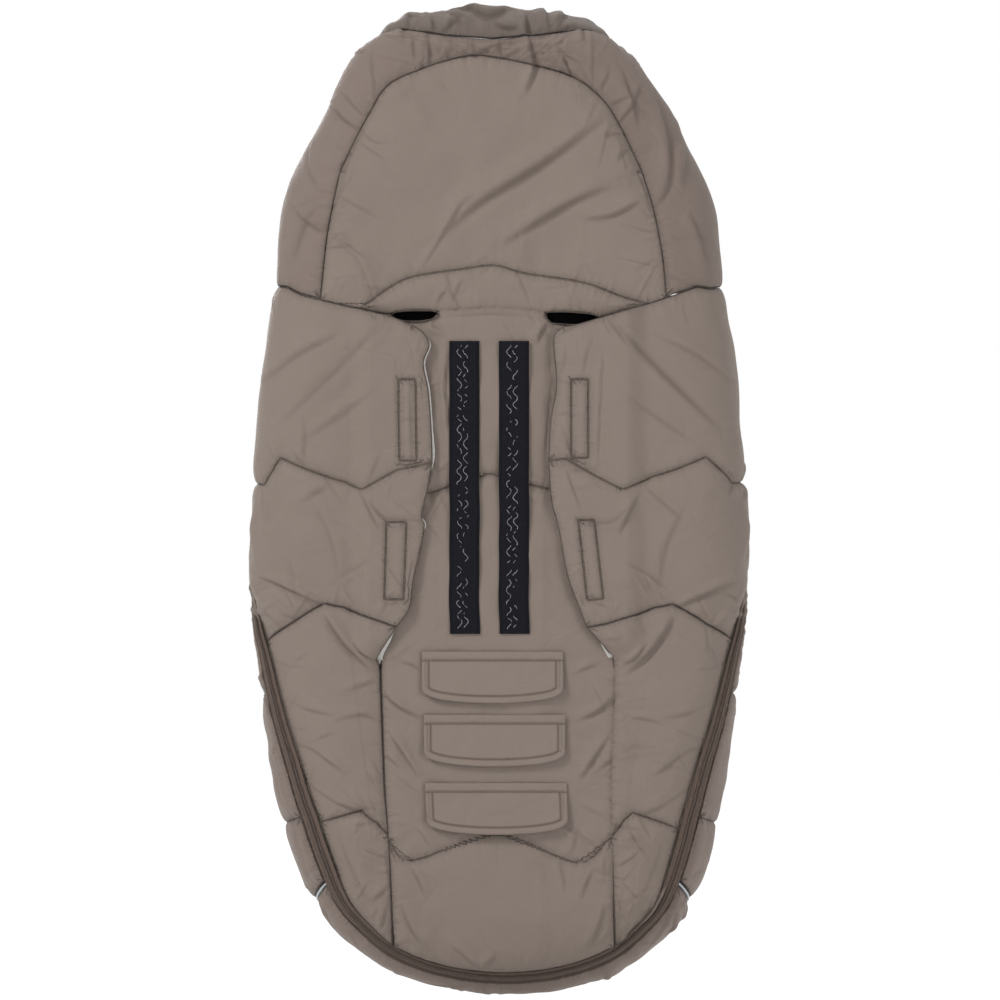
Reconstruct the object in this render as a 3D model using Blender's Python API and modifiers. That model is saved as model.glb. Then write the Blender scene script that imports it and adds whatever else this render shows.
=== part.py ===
"""Stroller footmuff: a quilted bag with a hood, a zipped front cover and harness openings in its back.

The bag stands upright with its head at +Z. Its back, which lies on the pram seat, faces -Y, and its
front cover faces +Y. The origin is on the seat side, in the plane of the two grip tapes.

The whole bag is one pillow. An outline in the XZ plane gives its silhouette, and a rounded rim joins
the flat back to the front. A place on the pillow is an arc length along the outline and a distance
over the rim from its widest line, which is negative on the back and positive on the front.
"""
import math

import bmesh
import bpy
import numpy as np

# Driving dimensions, in metres
LENGTH = 1.0
LOFT = 0.010
BACK_LOFT = 0.0088
LINING_THICK = 0.0018
PIECE_GAP = 0.0003
CAP_LINING_GAP = 0.0030
SEAM_GAP = 0.0005
BACK_BASE_Y = 0.0105
RIM_DEPTH = 0.0475
RIM_REACH = 0.085
HOOD_RIM_DEPTH = 0.028
HOOD_RIM_REACH = 0.045
HOOD_RIM_BLEND_SHARE = 0.13
RIM_ROUNDNESS = 2.4
EDGE_LOFT_SHARE = 0.34

# Silhouette from the top of the hood to the toe, as shares of LENGTH: half width, height
OUTLINE_SHARES = (
    (0.000, 0.4845), (0.048, 0.4820), (0.092, 0.4740), (0.121, 0.4540), (0.147, 0.4265),
    (0.170, 0.3865), (0.190, 0.3465), (0.209, 0.3065), (0.220, 0.2665), (0.228, 0.2015),
    (0.238, 0.1265), (0.246, 0.0465), (0.2515, -0.0335), (0.2535, -0.0935), (0.2445, -0.1735),
    (0.2350, -0.2535), (0.2220, -0.3335), (0.2060, -0.3865), (0.1850, -0.4280), (0.1570, -0.4590),
    (0.1180, -0.4870), (0.0650, -0.5050), (0.000, -0.5120),
)

# Seams of the back, as shares of LENGTH: distance from the middle, height
ARCH_SHARES = (
    (0.000, 0.4295), (0.035, 0.4250), (0.073, 0.4135), (0.101, 0.3960), (0.127, 0.3600),
    (0.1485, 0.3145), (0.1655, 0.2500), (0.1720, 0.1870),
)
YOKE_SHARES = ((0.000, 0.1740), (0.055, 0.1738), (0.104, 0.1735), (0.134, 0.1775), (0.172, 0.1870))
YOKE_RIM_SHARE = 0.2015
YOKE_SIDE_SHARE = 0.1775
HEAD_SEAM_SHARES = ((0.000, 0.2200), (0.045, 0.2160), (0.085, 0.2075), (0.127, 0.1905), (0.172, 0.1890))

# Harness slots: the centre panel stops short of the side panels under the harness flaps
SLOT_EDGE_SHARE = 0.1185
SLOT_WIDTH = 0.0150
SLOT_TOP_SHARE = 0.1660
SLOT_MOUTH_IN_SHARE = 0.0560
SLOT_FOOT_SHARE = -0.1720
SLOT_TAPER_SHARE = 0.0120
TOE_EDGE_SHARE = 0.1100
TOE_HEIGHT_SHARE = -0.4610

# Cross seams of the centre panel, as shares of LENGTH: distance from the middle, height
CENTRE_SEAM_A_SHARES = (
    (-0.1185, -0.0090), (-0.047, 0.0005), (-0.010, 0.0125), (0.029, 0.0025),
    (0.1185, -0.0090),
)
CENTRE_SEAM_B_SHARES = (
    (-0.1185, -0.1500), (-0.060, -0.1540), (0.000, -0.1560), (0.060, -0.1540),
    (0.1185, -0.1500),
)
CENTRE_SEAM_C_SHARES = (
    (-0.1130, -0.3530), (-0.086, -0.3730), (-0.004, -0.3465), (0.074, -0.3755),
    (0.1130, -0.3500),
)

# Cross seams of a side panel on the back: distance from the middle, height
SIDE_SEAM_A_SHARES = ((0.1340, -0.0035), (0.2050, 0.0285), (0.2400, 0.0040))
SIDE_SEAM_B_SHARES = ((0.1340, -0.1385), (0.1740, -0.1165), (0.2200, -0.1480))
SIDE_SEAM_C_SHARES = ((0.1140, -0.3480), (0.1380, -0.3235), (0.1700, -0.3330))

# Zip: upright on the front beside the chest panel, then round the side and along the toe on the back
ZIP_X_SHARE = 0.138
ZIP_TOP_SHARE = 0.150
FOLD_SHARE = 0.030
ZIP_HALF_WIDTH = 0.0070
ZIP_EDGE_GAP = 0.0008
ZIP_TAPE_THICK = 0.0008
ZIP_TAPE_LIFT = 0.0018
COIL_WIDTH = 0.0024
COIL_HEIGHT = 0.0015
COIL_GAP = 0.0008
ZIP_UPPER_SHARES = (0.150, 0.120, 0.090, 0.060, 0.030)
# Below the fold: height of the silhouette, and distance in from it, plus on the front, minus on the back
ZIP_SIDE_SHARES = (
    (0.017, 0.0920), (0.005, 0.0800), (-0.008, 0.0660), (-0.030, 0.0440), (-0.052, 0.0240),
    (-0.076, 0.0080), (-0.100, 0.0005), (-0.128, -0.0015), (-0.1465, -0.0030), (-0.1605, -0.0045),
    (-0.1745, -0.0060), (-0.205, -0.0090), (-0.240, -0.0130), (-0.275, -0.0180), (-0.305, -0.0215),
    (-0.322, -0.0230), (-0.3355, -0.0245), (-0.349, -0.0250), (-0.365, -0.0250), (-0.385, -0.0245),
    (-0.4065, -0.0230), (-0.425, -0.0210), (-0.442, -0.0190), (-0.459, -0.0175), (-0.472, -0.0160),
)
# Along the toe: distance of the silhouette from the middle, and distance in from it
ZIP_TOE_SHARES = (
    (0.118, -0.0145), (0.098, -0.0138), (0.076, -0.0132), (0.058, -0.0128), (0.050, -0.0126),
    (0.025, -0.0125), (0.000, -0.0125),
)
SEAM_A_ROW = 6
SEAM_B_ROW = 14
SEAM_C_ROW = 21
PIPING_ROW = 25
CORNER_ROW = 30

# Front cover seams and the foot cap
CAP_SEAM_SHARES = (
    (0.1830, -0.4240), (0.1600, -0.4130), (0.1310, -0.4050), (0.0900, -0.3950),
    (0.0450, -0.3890), (0.0, -0.3870),
)
CAP_CORNER_SHARE = -0.4050
PIPING_RADIUS = 0.0015
PIPING_ROOM = 0.0031
FRONT_SEAM_A_SHARES = ((-0.131, -0.075), (-0.060, -0.060), (0.0, -0.085), (0.060, -0.060), (0.131, -0.075))
FRONT_SEAM_B_SHARES = ((-0.131, -0.215), (-0.060, -0.200), (0.0, -0.225), (0.060, -0.200), (0.131, -0.215))
FRONT_SEAM_C_SHARES = ((-0.131, -0.325), (-0.060, -0.310), (0.0, -0.335), (0.060, -0.310), (0.131, -0.325))
CHEST_SEAM_SHARES = ((-0.131, 0.088), (-0.060, 0.098), (0.0, 0.080), (0.060, 0.098), (0.131, 0.088))
HEM_HEIGHT = 0.010
HEM_THICK = 0.008
HEM_GAP = 0.0005

# Face opening: rim angle of the hood's edge seam at a station height, then the rim strip beyond it
RIM_SEAM_SHARES = (
    (0.4845, -54.0), (0.4820, -52.0), (0.4740, -38.0), (0.4540, -8.0), (0.4265, 16.0),
    (0.3865, 36.0), (0.3465, 52.0), (0.3065, 64.0), (0.2665, 76.0), (0.2015, 88.0),
)
RIM_X_SHARE = 0.145
RIM_STRIP_WIDTH = 0.036
RIM_STRIP_THICK = 0.0035
ELASTIC_THICK = 0.0012
FACING_THICK = 0.0012

# Grip tapes and the crotch flaps on the centre panel
TAPE_WIDTH = 0.030
TAPE_LENGTH = 0.292
TAPE_THICK = 0.0014
TAPE_TOP_SHARE = 0.1450
TAPE_MID_SHARES = (-0.0345, 0.0150)
FLAP_WIDTH = 0.141
FLAP_HEIGHT = 0.0515
FLAP_CORNER_DROP = 0.018
FLAP_BOW_POWER = 0.62
FLAP_THICK = 0.0020
FLAP_TOP_SHARES = (-0.1645, -0.2275, -0.2955)
FLAP_MID_SHARES = (-0.0065, -0.0045, -0.0030)
SLIT_WIDTH = 0.118
SLIT_HEIGHT = 0.0085
SLIT_DROP = 0.018
BINDING_BORDER = 0.006
BINDING_THICK = 0.0016
BINDING_SINK = 0.0018

# Harness flaps: free edge of each, as shares of LENGTH: distance from the hinge line, height
HINGE_SHARE = 0.1335
LEFT_FLAP_SHARES = (
    (0.0280, 0.1640), (0.0560, 0.1500), (0.0645, 0.1400), (0.0600, 0.1200), (0.0650, 0.0900),
    (0.0680, 0.0300), (0.0570, -0.0300), (0.0490, -0.0950), (0.0440, -0.1220), (0.0300, -0.1450),
    (0.0150, -0.1680),
)
RIGHT_FLAP_SHARES = (
    (0.0345, 0.1640), (0.0690, 0.1550), (0.0790, 0.1430), (0.0770, 0.1150), (0.0800, 0.0800),
    (0.0840, 0.0250), (0.0770, -0.0350), (0.0640, -0.0950), (0.0530, -0.1220), (0.0340, -0.1500),
    (0.0150, -0.1700),
)
HARNESS_FLAP_LOFT = 0.0050
PAD_THICK = 0.0015
PAD_WIDTH = 0.018
PAD_UPPER_LENGTH = 0.080
PAD_LOWER_LENGTH = 0.077
PAD_UPPER_MID_SHARE = 0.0660
PAD_LOWER_MID_SHARE = -0.0740
# Loft of the centre panel where each side's closure pads are sewn on
LEFT_PAD_SEAT_LOFT = 0.0073
RIGHT_PAD_SEAT_LOFT = 0.0080
LEFT_PAD_SHARES = (-0.0915, -0.1035)
RIGHT_PAD_SHARES = (0.0805, 0.0905)

# Sliders of the two-way zip, each with a pull
SLIDER_LENGTH = 0.0210
SLIDER_WIDTH = 0.0090
SLIDER_PLATE = 0.0014
SLIDER_FLANGE = 0.0009
SLIDER_TOP_GAP = 0.0020
LUG_WIDTH = 0.0030
LUG_LENGTH = 0.0060
LUG_HEIGHT = 0.0040
PIN_RADIUS = 0.0007
PIN_CLEARANCE = 0.0003
PULL_LENGTH = 0.0300
PULL_WIDTH = 0.0074
PULL_THICK = 0.0020

# Shares across and along the pieces where their cages have vertices
SIDE_COLUMN_SHARES = (0.0, 0.10, 0.30, 0.50, 0.70, 0.88, 1.0)
ARCH_COLUMN_SHARES = (0.0, 0.10, 0.22, 0.35, 0.48, 0.61, 0.74, 0.87, 1.0)
BAND_ROW_SHARES = (0.0, 0.10, 0.34, 0.62, 0.88, 1.0)
STRIP_ROW_SHARES = (0.0, 0.333, 0.667, 1.0)
FACING_ROW_SHARES = (0.06, 0.333, 0.667, 1.0)
RIM_FOOT_SHARES = (0.1665, 0.1805)
BAND_ROWS = (5, 10, 16, 21, 25)
BAND_TOP_SHARE = 0.010
BAND_COLUMN_SHARES = (0.0, 0.12, 0.32, 0.52, 0.72, 0.90, 1.0)
LINING_MIDDLE_SHARES = (-0.68, -0.23, 0.23, 0.68)
FRONT_COLUMN_SHARES = (-1.0, -0.9, -0.68, -0.458, -0.23, 0.0, 0.23, 0.458, 0.68, 0.9, 1.0)
CAP_ROW_SHARES = (0.0, 0.12, 0.32, 0.54, 0.76, 0.91, 1.0)
FLAP_COLUMN_SHARES = (0.0, 0.12, 0.38, 0.64, 0.88, 1.0)
LOFT_KNOT_SHARES = {
    3: (0.0, 0.22, 0.78, 1.0),
    4: (0.0, 0.16, 0.50, 0.84, 1.0),
    5: (0.0, 0.12, 0.36, 0.64, 0.88, 1.0),
}
OUTLINE_STEPS = 24
RIGHT_ANGLE = 90.0
CHART_STEPS = 600
WELD_DISTANCE = 0.00005
CUT_OVERRUN = 0.004

FABRIC = (0.255, 0.205, 0.172, 1.0)
FABRIC_DARK = (0.080, 0.062, 0.050, 1.0)
LINING_WHITE = (0.700, 0.690, 0.670, 1.0)
TAPE_BLACK = (0.018, 0.018, 0.022, 1.0)
SILVER = (0.600, 0.610, 0.620, 1.0)
FABRIC_ROUGHNESS = 0.8
TRIM_ROUGHNESS = 0.6
SILVER_ROUGHNESS = 0.35


def smooth_curve(points, steps):
    """Catmull-Rom curve through plan points, whose first and last spans lie level."""
    points = np.asarray(points, float)
    before = points[1] * (-1.0, 1.0)
    after = points[-2] * (-1.0, 1.0)
    chain = np.vstack([before, points, after])
    share = np.linspace(0.0, 1.0, steps, endpoint=False)[:, None]
    spans = []
    for index in range(1, len(chain) - 2):
        p0, p1, p2, p3 = chain[index - 1:index + 3]
        spans.append(0.5 * (2 * p1 + (p2 - p0) * share + (2 * p0 - 5 * p1 + 4 * p2 - p3) * share ** 2
                            + (3 * p1 - p0 - 3 * p2 + p3) * share ** 3))
    spans.append(points[-1:])
    return np.vstack(spans)


def arc_lengths(points):
    """Running length along a chain of points."""
    steps = np.linalg.norm(np.diff(points, axis=0), axis=1)
    return np.concatenate([[0.0], np.cumsum(steps)])


def half_outline():
    """Left half of the base outline, drawn in by the loft: places, outward normals and arc lengths."""
    outer = smooth_curve(OUTLINE_SHARES, OUTLINE_STEPS) * (-LENGTH, LENGTH)
    slope = np.gradient(outer, axis=0)
    normal = np.stack([slope[:, 1], -slope[:, 0]], axis=1)
    normal /= np.linalg.norm(normal, axis=1)[:, None]
    base = outer - normal * LOFT
    length = arc_lengths(base)
    even = np.linspace(0.0, length[-1], CHART_STEPS)
    place = np.stack([np.interp(even, length, base[:, axis]) for axis in (0, 1)], axis=1)
    slope = np.gradient(place, axis=0)
    normal = np.stack([slope[:, 1], -slope[:, 0]], axis=1)
    normal /= np.linalg.norm(normal, axis=1)[:, None]
    normal[0] = (0.0, 1.0)
    normal[-1] = (0.0, -1.0)
    return place, normal, even


PLACE, NORMAL, STATION = half_outline()


def rim_sizes(station):
    """Depth and reach of the rounded rim at an arc length: shallower round the top of the hood."""
    height = np.interp(station, STATION, PLACE[:, 1])
    share = np.clip((PLACE[0, 1] - height) / (HOOD_RIM_BLEND_SHARE * LENGTH), 0.0, 1.0)
    share = share * share * (3.0 - 2.0 * share)
    depth = HOOD_RIM_DEPTH + (RIM_DEPTH - HOOD_RIM_DEPTH) * share
    reach = HOOD_RIM_REACH + (RIM_REACH - HOOD_RIM_REACH) * share
    return depth, reach


def rim_length(depth, reach):
    """Length of a quarter of the rim, from the widest line to where the face lies flat."""
    return 0.5 * math.pi * np.sqrt(0.5 * (depth ** 2 + reach ** 2))


def chart_point(chart):
    """Base surface places of an array of side, station and distance over the rim."""
    chart = np.asarray(chart, float)
    side, station, over = chart[..., 0], chart[..., 1], chart[..., 2]
    depth, reach = rim_sizes(station)
    quarter = rim_length(depth, reach)
    angle = np.clip(np.abs(over) / quarter, 0.0, 1.0) * 0.5 * math.pi
    power = 2.0 / RIM_ROUNDNESS
    inward = reach * (1.0 - np.cos(angle) ** power) + np.maximum(np.abs(over) - quarter, 0.0)
    rise = depth * np.sin(angle) ** power
    x = np.interp(station, STATION, PLACE[:, 0]) - inward * np.interp(station, STATION, NORMAL[:, 0])
    z = np.interp(station, STATION, PLACE[:, 1]) - inward * np.interp(station, STATION, NORMAL[:, 1])
    y = BACK_BASE_Y + depth + np.sign(over) * rise
    return np.stack([side * x, y, z], axis=-1)


def nearest_station(x, z):
    """Closest place of the outline to plan points: its arc length and the distance to it."""
    plan = np.stack([-np.abs(x), z], axis=-1)
    gap = plan[..., None, :] - PLACE
    reach = np.linalg.norm(gap, axis=-1)
    index = np.clip(np.argmin(reach, axis=-1), 1, CHART_STEPS - 2)
    best = np.full(index.shape, np.inf)
    station = np.zeros(index.shape)
    for first in (index - 1, index):
        start = PLACE[first]
        run = PLACE[first + 1] - start
        share = np.sum((plan - start) * run, axis=-1) / np.sum(run * run, axis=-1)
        share = np.clip(share, 0.0, 1.0)
        away = np.linalg.norm(plan - start - run * share[..., None], axis=-1)
        closer = away < best
        best = np.where(closer, away, best)
        station = np.where(closer, STATION[first] + share * (STATION[1] - STATION[0]), station)
    return station, best


def plan_chart(x, z, face):
    """Chart values of plan points on the back, with face -1, or on the front, with face 1."""
    x, z = np.asarray(x, float), np.asarray(z, float)
    station, inward = nearest_station(x, z)
    depth, reach = rim_sizes(station)
    angle = np.arccos(np.clip(1.0 - inward / reach, 0.0, 1.0) ** (0.5 * RIM_ROUNDNESS))
    over = angle / (0.5 * math.pi) * rim_length(depth, reach) + np.maximum(inward - reach, 0.0)
    side = np.where(x > 0.0, -1.0, 1.0)
    return np.stack([side, station, face * over], axis=-1)


def plan_point(plan, face):
    """Base surface places over plan points: the height over the rim follows the nearest outline."""
    plan = np.asarray(plan, float)
    station, inward = nearest_station(plan[..., 0], plan[..., 1])
    depth, reach = rim_sizes(station)
    cosine = np.clip(1.0 - inward / reach, 0.0, 1.0) ** (0.5 * RIM_ROUNDNESS)
    rise = depth * np.sqrt(1.0 - cosine ** 2) ** (2.0 / RIM_ROUNDNESS)
    y = BACK_BASE_Y + depth + face * rise
    return np.stack([plan[..., 0], y, plan[..., 1]], axis=-1)


def station_at(height_share):
    """Arc length where the silhouette stands at a height."""
    outer = smooth_curve(OUTLINE_SHARES, OUTLINE_STEPS) * (-LENGTH, LENGTH)
    slope = np.gradient(outer, axis=0)
    normal = np.stack([slope[:, 1], -slope[:, 0]], axis=1)
    normal /= np.linalg.norm(normal, axis=1)[:, None]
    base = outer - normal * LOFT
    order = np.argsort(outer[:, 1])
    return np.interp(np.asarray(height_share) * LENGTH, outer[order, 1], arc_lengths(base)[order])


def spread(points, count_or_shares):
    """Points at equal steps, or at given shares, along a chain of chart or plan points."""
    points = np.asarray(points, float)
    length = arc_lengths(points)
    shares = np.linspace(0.0, 1.0, count_or_shares) if np.isscalar(count_or_shares) else count_or_shares
    at = np.asarray(shares) * length[-1]
    return np.stack([np.interp(at, length, points[:, axis]) for axis in range(points.shape[1])], axis=1)


def knots(cells):
    """Row shares of one quilted strip: close together beside its seams."""
    return LOFT_KNOT_SHARES.get(cells, np.linspace(0.0, 1.0, cells + 1))


def pillow(share):
    """Loft of a quilted strip: none at its two seams and full between them."""
    return 1.0 - np.abs(2.0 * np.asarray(share) - 1.0) ** 4


def rows_between(lines, cells):
    """Rows of points between sewn lines, and the loft share of each row."""
    rows, lofts = [np.asarray(lines[0], float)], [0.0]
    for first, last, count in zip(lines[:-1], lines[1:], cells):
        for share in knots(count)[1:]:
            rows.append(np.asarray(first) * (1.0 - share) + np.asarray(last) * share)
            lofts.append(float(pillow(share)))
    return np.array(rows), np.array(lofts)


def seam_loft(row_lofts, column_lofts, edge=EDGE_LOFT_SHARE):
    """Loft shares over a grid, drawn in at every seam."""
    product = np.outer(row_lofts, column_lofts)
    return edge + (1.0 - edge) * product


def new_material(name, color, roughness, metallic=0.0):
    """A plain Principled material."""
    material = bpy.data.materials.get(name) or bpy.data.materials.new(name)
    material.use_nodes = True
    shader = material.node_tree.nodes["Principled BSDF"]
    shader.inputs["Base Color"].default_value = color
    shader.inputs["Roughness"].default_value = roughness
    shader.inputs["Metallic"].default_value = metallic
    material.diffuse_color = color
    return material


def add_object(name, mesh, look, parent=None):
    """Put a mesh into the object's collection with its own material."""
    target = bpy.data.objects.new(name, mesh)
    bpy.data.collections["stroller_footmuff"].objects.link(target)
    mesh.materials.clear()
    mesh.materials.append(new_material(name + "_material", *look))
    if parent is not None:
        target.parent = parent
        target.matrix_parent_inverse = parent.matrix_world.inverted()
    return target


def outward(places):
    """Unit normals of a grid of places, away from the inside of the bag."""
    across = np.gradient(places, axis=1)
    along = np.gradient(places, axis=0)
    normal = np.cross(along, across)
    normal /= np.maximum(np.linalg.norm(normal, axis=2), 1e-12)[..., None]
    middle = np.array([0.0, BACK_BASE_Y + RIM_DEPTH, 0.0])
    away = places - middle
    away[..., 2] = 0.0
    turn = np.sign(np.sum(normal * away))
    flat = np.linalg.norm(normal, axis=2) < 0.5
    for column, beside in ((0, 1), (-1, -2)):
        normal[:, column] = np.where(flat[:, column, None], normal[:, beside], normal[:, column])
    return normal * turn, turn


def quilt(name, places, lofts, thick, look, lift=0.0, parent=None, inside=False):
    """A padded panel: an open grid of base places given its loft by Solidify.

    The loft goes outwards, or inwards for a lining, and each vertex carries its share of it.
    """
    normal, turn = outward(places)
    places = places + normal * lift
    rows, columns = places.shape[:2]
    index = np.arange(rows * columns).reshape(rows, columns)
    quads = np.stack([index[:-1, :-1], index[1:, :-1], index[1:, 1:], index[:-1, 1:]], axis=-1).reshape(-1, 4)
    if turn < 0:
        quads = quads[:, ::-1]
    mesh = bpy.data.meshes.new(name)
    mesh.from_pydata(places.reshape(-1, 3).tolist(), [], quads.tolist())
    target = add_object(name, mesh, look, parent)
    group = target.vertex_groups.new(name="loft")
    for vertex, share in enumerate(np.broadcast_to(lofts, (rows, columns)).reshape(-1)):
        group.add([vertex], float(share), "REPLACE")
    work = bmesh.new()
    work.from_mesh(mesh)
    bmesh.ops.remove_doubles(work, verts=work.verts, dist=WELD_DISTANCE)
    bmesh.ops.dissolve_degenerate(work, edges=work.edges, dist=WELD_DISTANCE)
    work.to_mesh(mesh)
    work.free()
    wall = target.modifiers.new("loft", "SOLIDIFY")
    wall.thickness = thick
    wall.offset = -1.0 if inside else 1.0
    wall.vertex_group = "loft"
    mesh.shade_smooth()
    return target


def box(name, low, high, look, parent=None, bevel=0.0):
    """An upright box between two corners."""
    low, high = np.asarray(low, float), np.asarray(high, float)
    mesh = bpy.data.meshes.new(name)
    work = bmesh.new()
    bmesh.ops.create_cube(work, size=1.0)
    for vertex in work.verts:
        vertex.co = [low[axis] + (vertex.co[axis] + 0.5) * (high[axis] - low[axis]) for axis in range(3)]
    if bevel:
        bmesh.ops.bevel(work, geom=work.edges[:], offset=bevel, segments=1, affect="EDGES")
    work.to_mesh(mesh)
    work.free()
    return add_object(name, mesh, look, parent)


def slab(name, outline, low_y, high_y, look, parent=None):
    """A flat piece: a closed plan outline between two depths."""
    mesh = bpy.data.meshes.new(name)
    work = bmesh.new()
    verts = [work.verts.new((x, low_y, z)) for x, z in outline]
    face = work.faces.new(verts)
    moved = bmesh.ops.extrude_face_region(work, geom=[face])["geom"]
    for item in moved:
        if isinstance(item, bmesh.types.BMVert):
            item.co.y = high_y
    bmesh.ops.recalc_face_normals(work, faces=work.faces)
    work.to_mesh(mesh)
    work.free()
    return add_object(name, mesh, look, parent)


def cutter(name, low, high):
    """A box that cuts openings, kept out of the model."""
    target = box(name, low, high, (FABRIC, FABRIC_ROUGHNESS))
    bpy.data.collections["stroller_footmuff"].objects.unlink(target)
    bpy.data.collections["cutters"].objects.link(target)
    target.hide_render = True
    target.display_type = "WIRE"
    return target


def cut(target, tool):
    """Cut a tool's volume out of a piece."""
    step = target.modifiers.new(tool.name, "BOOLEAN")
    step.operation = "DIFFERENCE"
    step.object = tool


def tube(name, points, radius, look, parent=None, steps=1):
    """A round cord along a chain of places."""
    curve = bpy.data.curves.new(name, "CURVE")
    curve.dimensions = "3D"
    curve.bevel_depth = radius
    curve.bevel_resolution = steps
    curve.use_fill_caps = True
    spline = curve.splines.new("POLY")
    spline.points.add(len(points) - 1)
    for point, place in zip(spline.points, points):
        point.co = (*[float(value) for value in place], 1.0)
    target = bpy.data.objects.new(name, curve)
    bpy.data.collections["stroller_footmuff"].objects.link(target)
    curve.materials.append(new_material(name + "_material", *look))
    if parent is not None:
        target.parent = parent
        target.matrix_parent_inverse = parent.matrix_world.inverted()
    return target


def pivot(name, place, parent=None):
    """An empty on a joint's axis."""
    target = bpy.data.objects.new(name, None)
    bpy.data.collections["stroller_footmuff"].objects.link(target)
    target.location = place
    if parent is not None:
        target.parent = parent
        target.matrix_parent_inverse = parent.matrix_world.inverted()
    bpy.context.view_layer.update()
    return target


def inward_to_over(station, inward):
    """Distance over the rim for a plan distance in from the outline, with its sign kept."""
    depth, reach = rim_sizes(station)
    size = np.abs(inward)
    angle = np.arccos(np.clip(1.0 - size / reach, 0.0, 1.0) ** (0.5 * RIM_ROUNDNESS))
    over = angle / (0.5 * math.pi) * rim_length(depth, reach) + np.maximum(size - reach, 0.0)
    return np.sign(inward) * over


def station_beside(x_share):
    """Arc length where the toe of the outline is a distance from the middle."""
    toe = slice(CHART_STEPS * 3 // 4, CHART_STEPS)
    return np.interp(-np.asarray(x_share) * LENGTH, PLACE[toe, 0], STATION[toe])


def zip_path(offset):
    """Left half of a line beside the zip, from the chest to the middle of the toe, in chart values.

    The offset runs across the zip, plus towards the cover.
    """
    upper_z = np.array(ZIP_UPPER_SHARES) * LENGTH
    upper = plan_chart(np.full(len(upper_z), -ZIP_X_SHARE * LENGTH + offset), upper_z, 1.0)
    side = np.array(ZIP_SIDE_SHARES) * LENGTH
    toe = np.array(ZIP_TOE_SHARES) * LENGTH
    station = np.concatenate([station_at(side[:, 0] / LENGTH), station_beside(toe[:, 0] / LENGTH)])
    over = inward_to_over(station, np.concatenate([side[:, 1], toe[:, 1]]))
    whole_station = np.concatenate([upper[:, 1], station])
    whole_over = np.concatenate([upper[:, 2], over])
    slope = np.gradient(whole_over, whole_station)
    stretch = np.sqrt(1.0 + slope ** 2)
    count = len(upper)
    lower = np.stack([np.ones(len(station)), station, over + offset * stretch[count:]], axis=1)
    return np.vstack([upper, lower])


def mirrored(chart):
    """The same chart values on the other side of the bag."""
    return np.asarray(chart) * (-1.0, 1.0, 1.0)


def seam_chart(shares, side_edge, face=-1.0):
    """Chart values of a side panel's cross seam: plan points and the end at the zip."""
    plan = np.array(shares) * LENGTH
    inner = plan_chart(-plan[:, 0], plan[:, 1], face)
    return np.vstack([inner, side_edge[None, :]])


def inner_edge(height):
    """Distance of a side panel's inner edge from the middle at a height."""
    foot = SLOT_FOOT_SHARE * LENGTH
    heights = (TOE_HEIGHT_SHARE * LENGTH, foot - SLOT_TAPER_SHARE * LENGTH, foot, YOKE_SIDE_SHARE * LENGTH)
    edge = (TOE_EDGE_SHARE * LENGTH + SEAM_GAP, SLOT_EDGE_SHARE * LENGTH + SEAM_GAP,
            SLOT_EDGE_SHARE * LENGTH + SLOT_WIDTH, SLOT_EDGE_SHARE * LENGTH + SLOT_WIDTH)
    return np.interp(height, heights, edge)


def strip_rows(lines, marks, edge, inner, columns):
    """Rows of a side piece: sewn lines at given rows, and between them rows that end on both edges.

    Each row is a blend of the sewn lines around it, and its two ends are then moved onto the edges.
    """
    share = np.asarray(columns)[:, None]
    rows = []
    lofts = []
    run = arc_lengths(edge[:, 1:])
    for first, last, low, high in zip(marks[:-1], marks[1:], lines[:-1], lines[1:]):
        for row in range(first, last + 1):
            if rows and row == first:
                continue
            blend = (run[row] - run[first]) / (run[last] - run[first])
            line = low * (1.0 - blend) + high * blend
            line = line + (edge[row] - line[-1]) * share ** 2
            if inner is not None:
                line = line + (inner[row] - line[0]) * (1.0 - share) ** 2
            rows.append(line)
            lofts.append(float(pillow(blend)))
    return np.array(rows), np.array(lofts)


def side_edge():
    """Left side panel's outer edge: beside the hood's rim strip, then beside the zip."""
    beside = zip_path(-ZIP_HALF_WIDTH - ZIP_EDGE_GAP)[:CORNER_ROW + 1]
    top_x = -RIM_X_SHARE * LENGTH - ZIP_EDGE_GAP
    top = plan_chart(np.array([top_x]), np.array([RIM_FOOT_SHARES[1] * LENGTH]), 1.0)
    yoke = rim_corner() + (0.0, SEAM_GAP, 0.0)
    return np.vstack([yoke[None, :], top, beside])


def rim_corner():
    """Where the yoke seam meets the hood's rim strip, on the front."""
    station = float(station_at(YOKE_RIM_SHARE))
    depth, reach = rim_sizes(station)
    width = -np.interp(station, STATION, PLACE[:, 0]) - RIM_X_SHARE * LENGTH
    over = inward_to_over(np.array([station]), np.array([width]))[0]
    return np.array([1.0, station, over])


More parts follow.
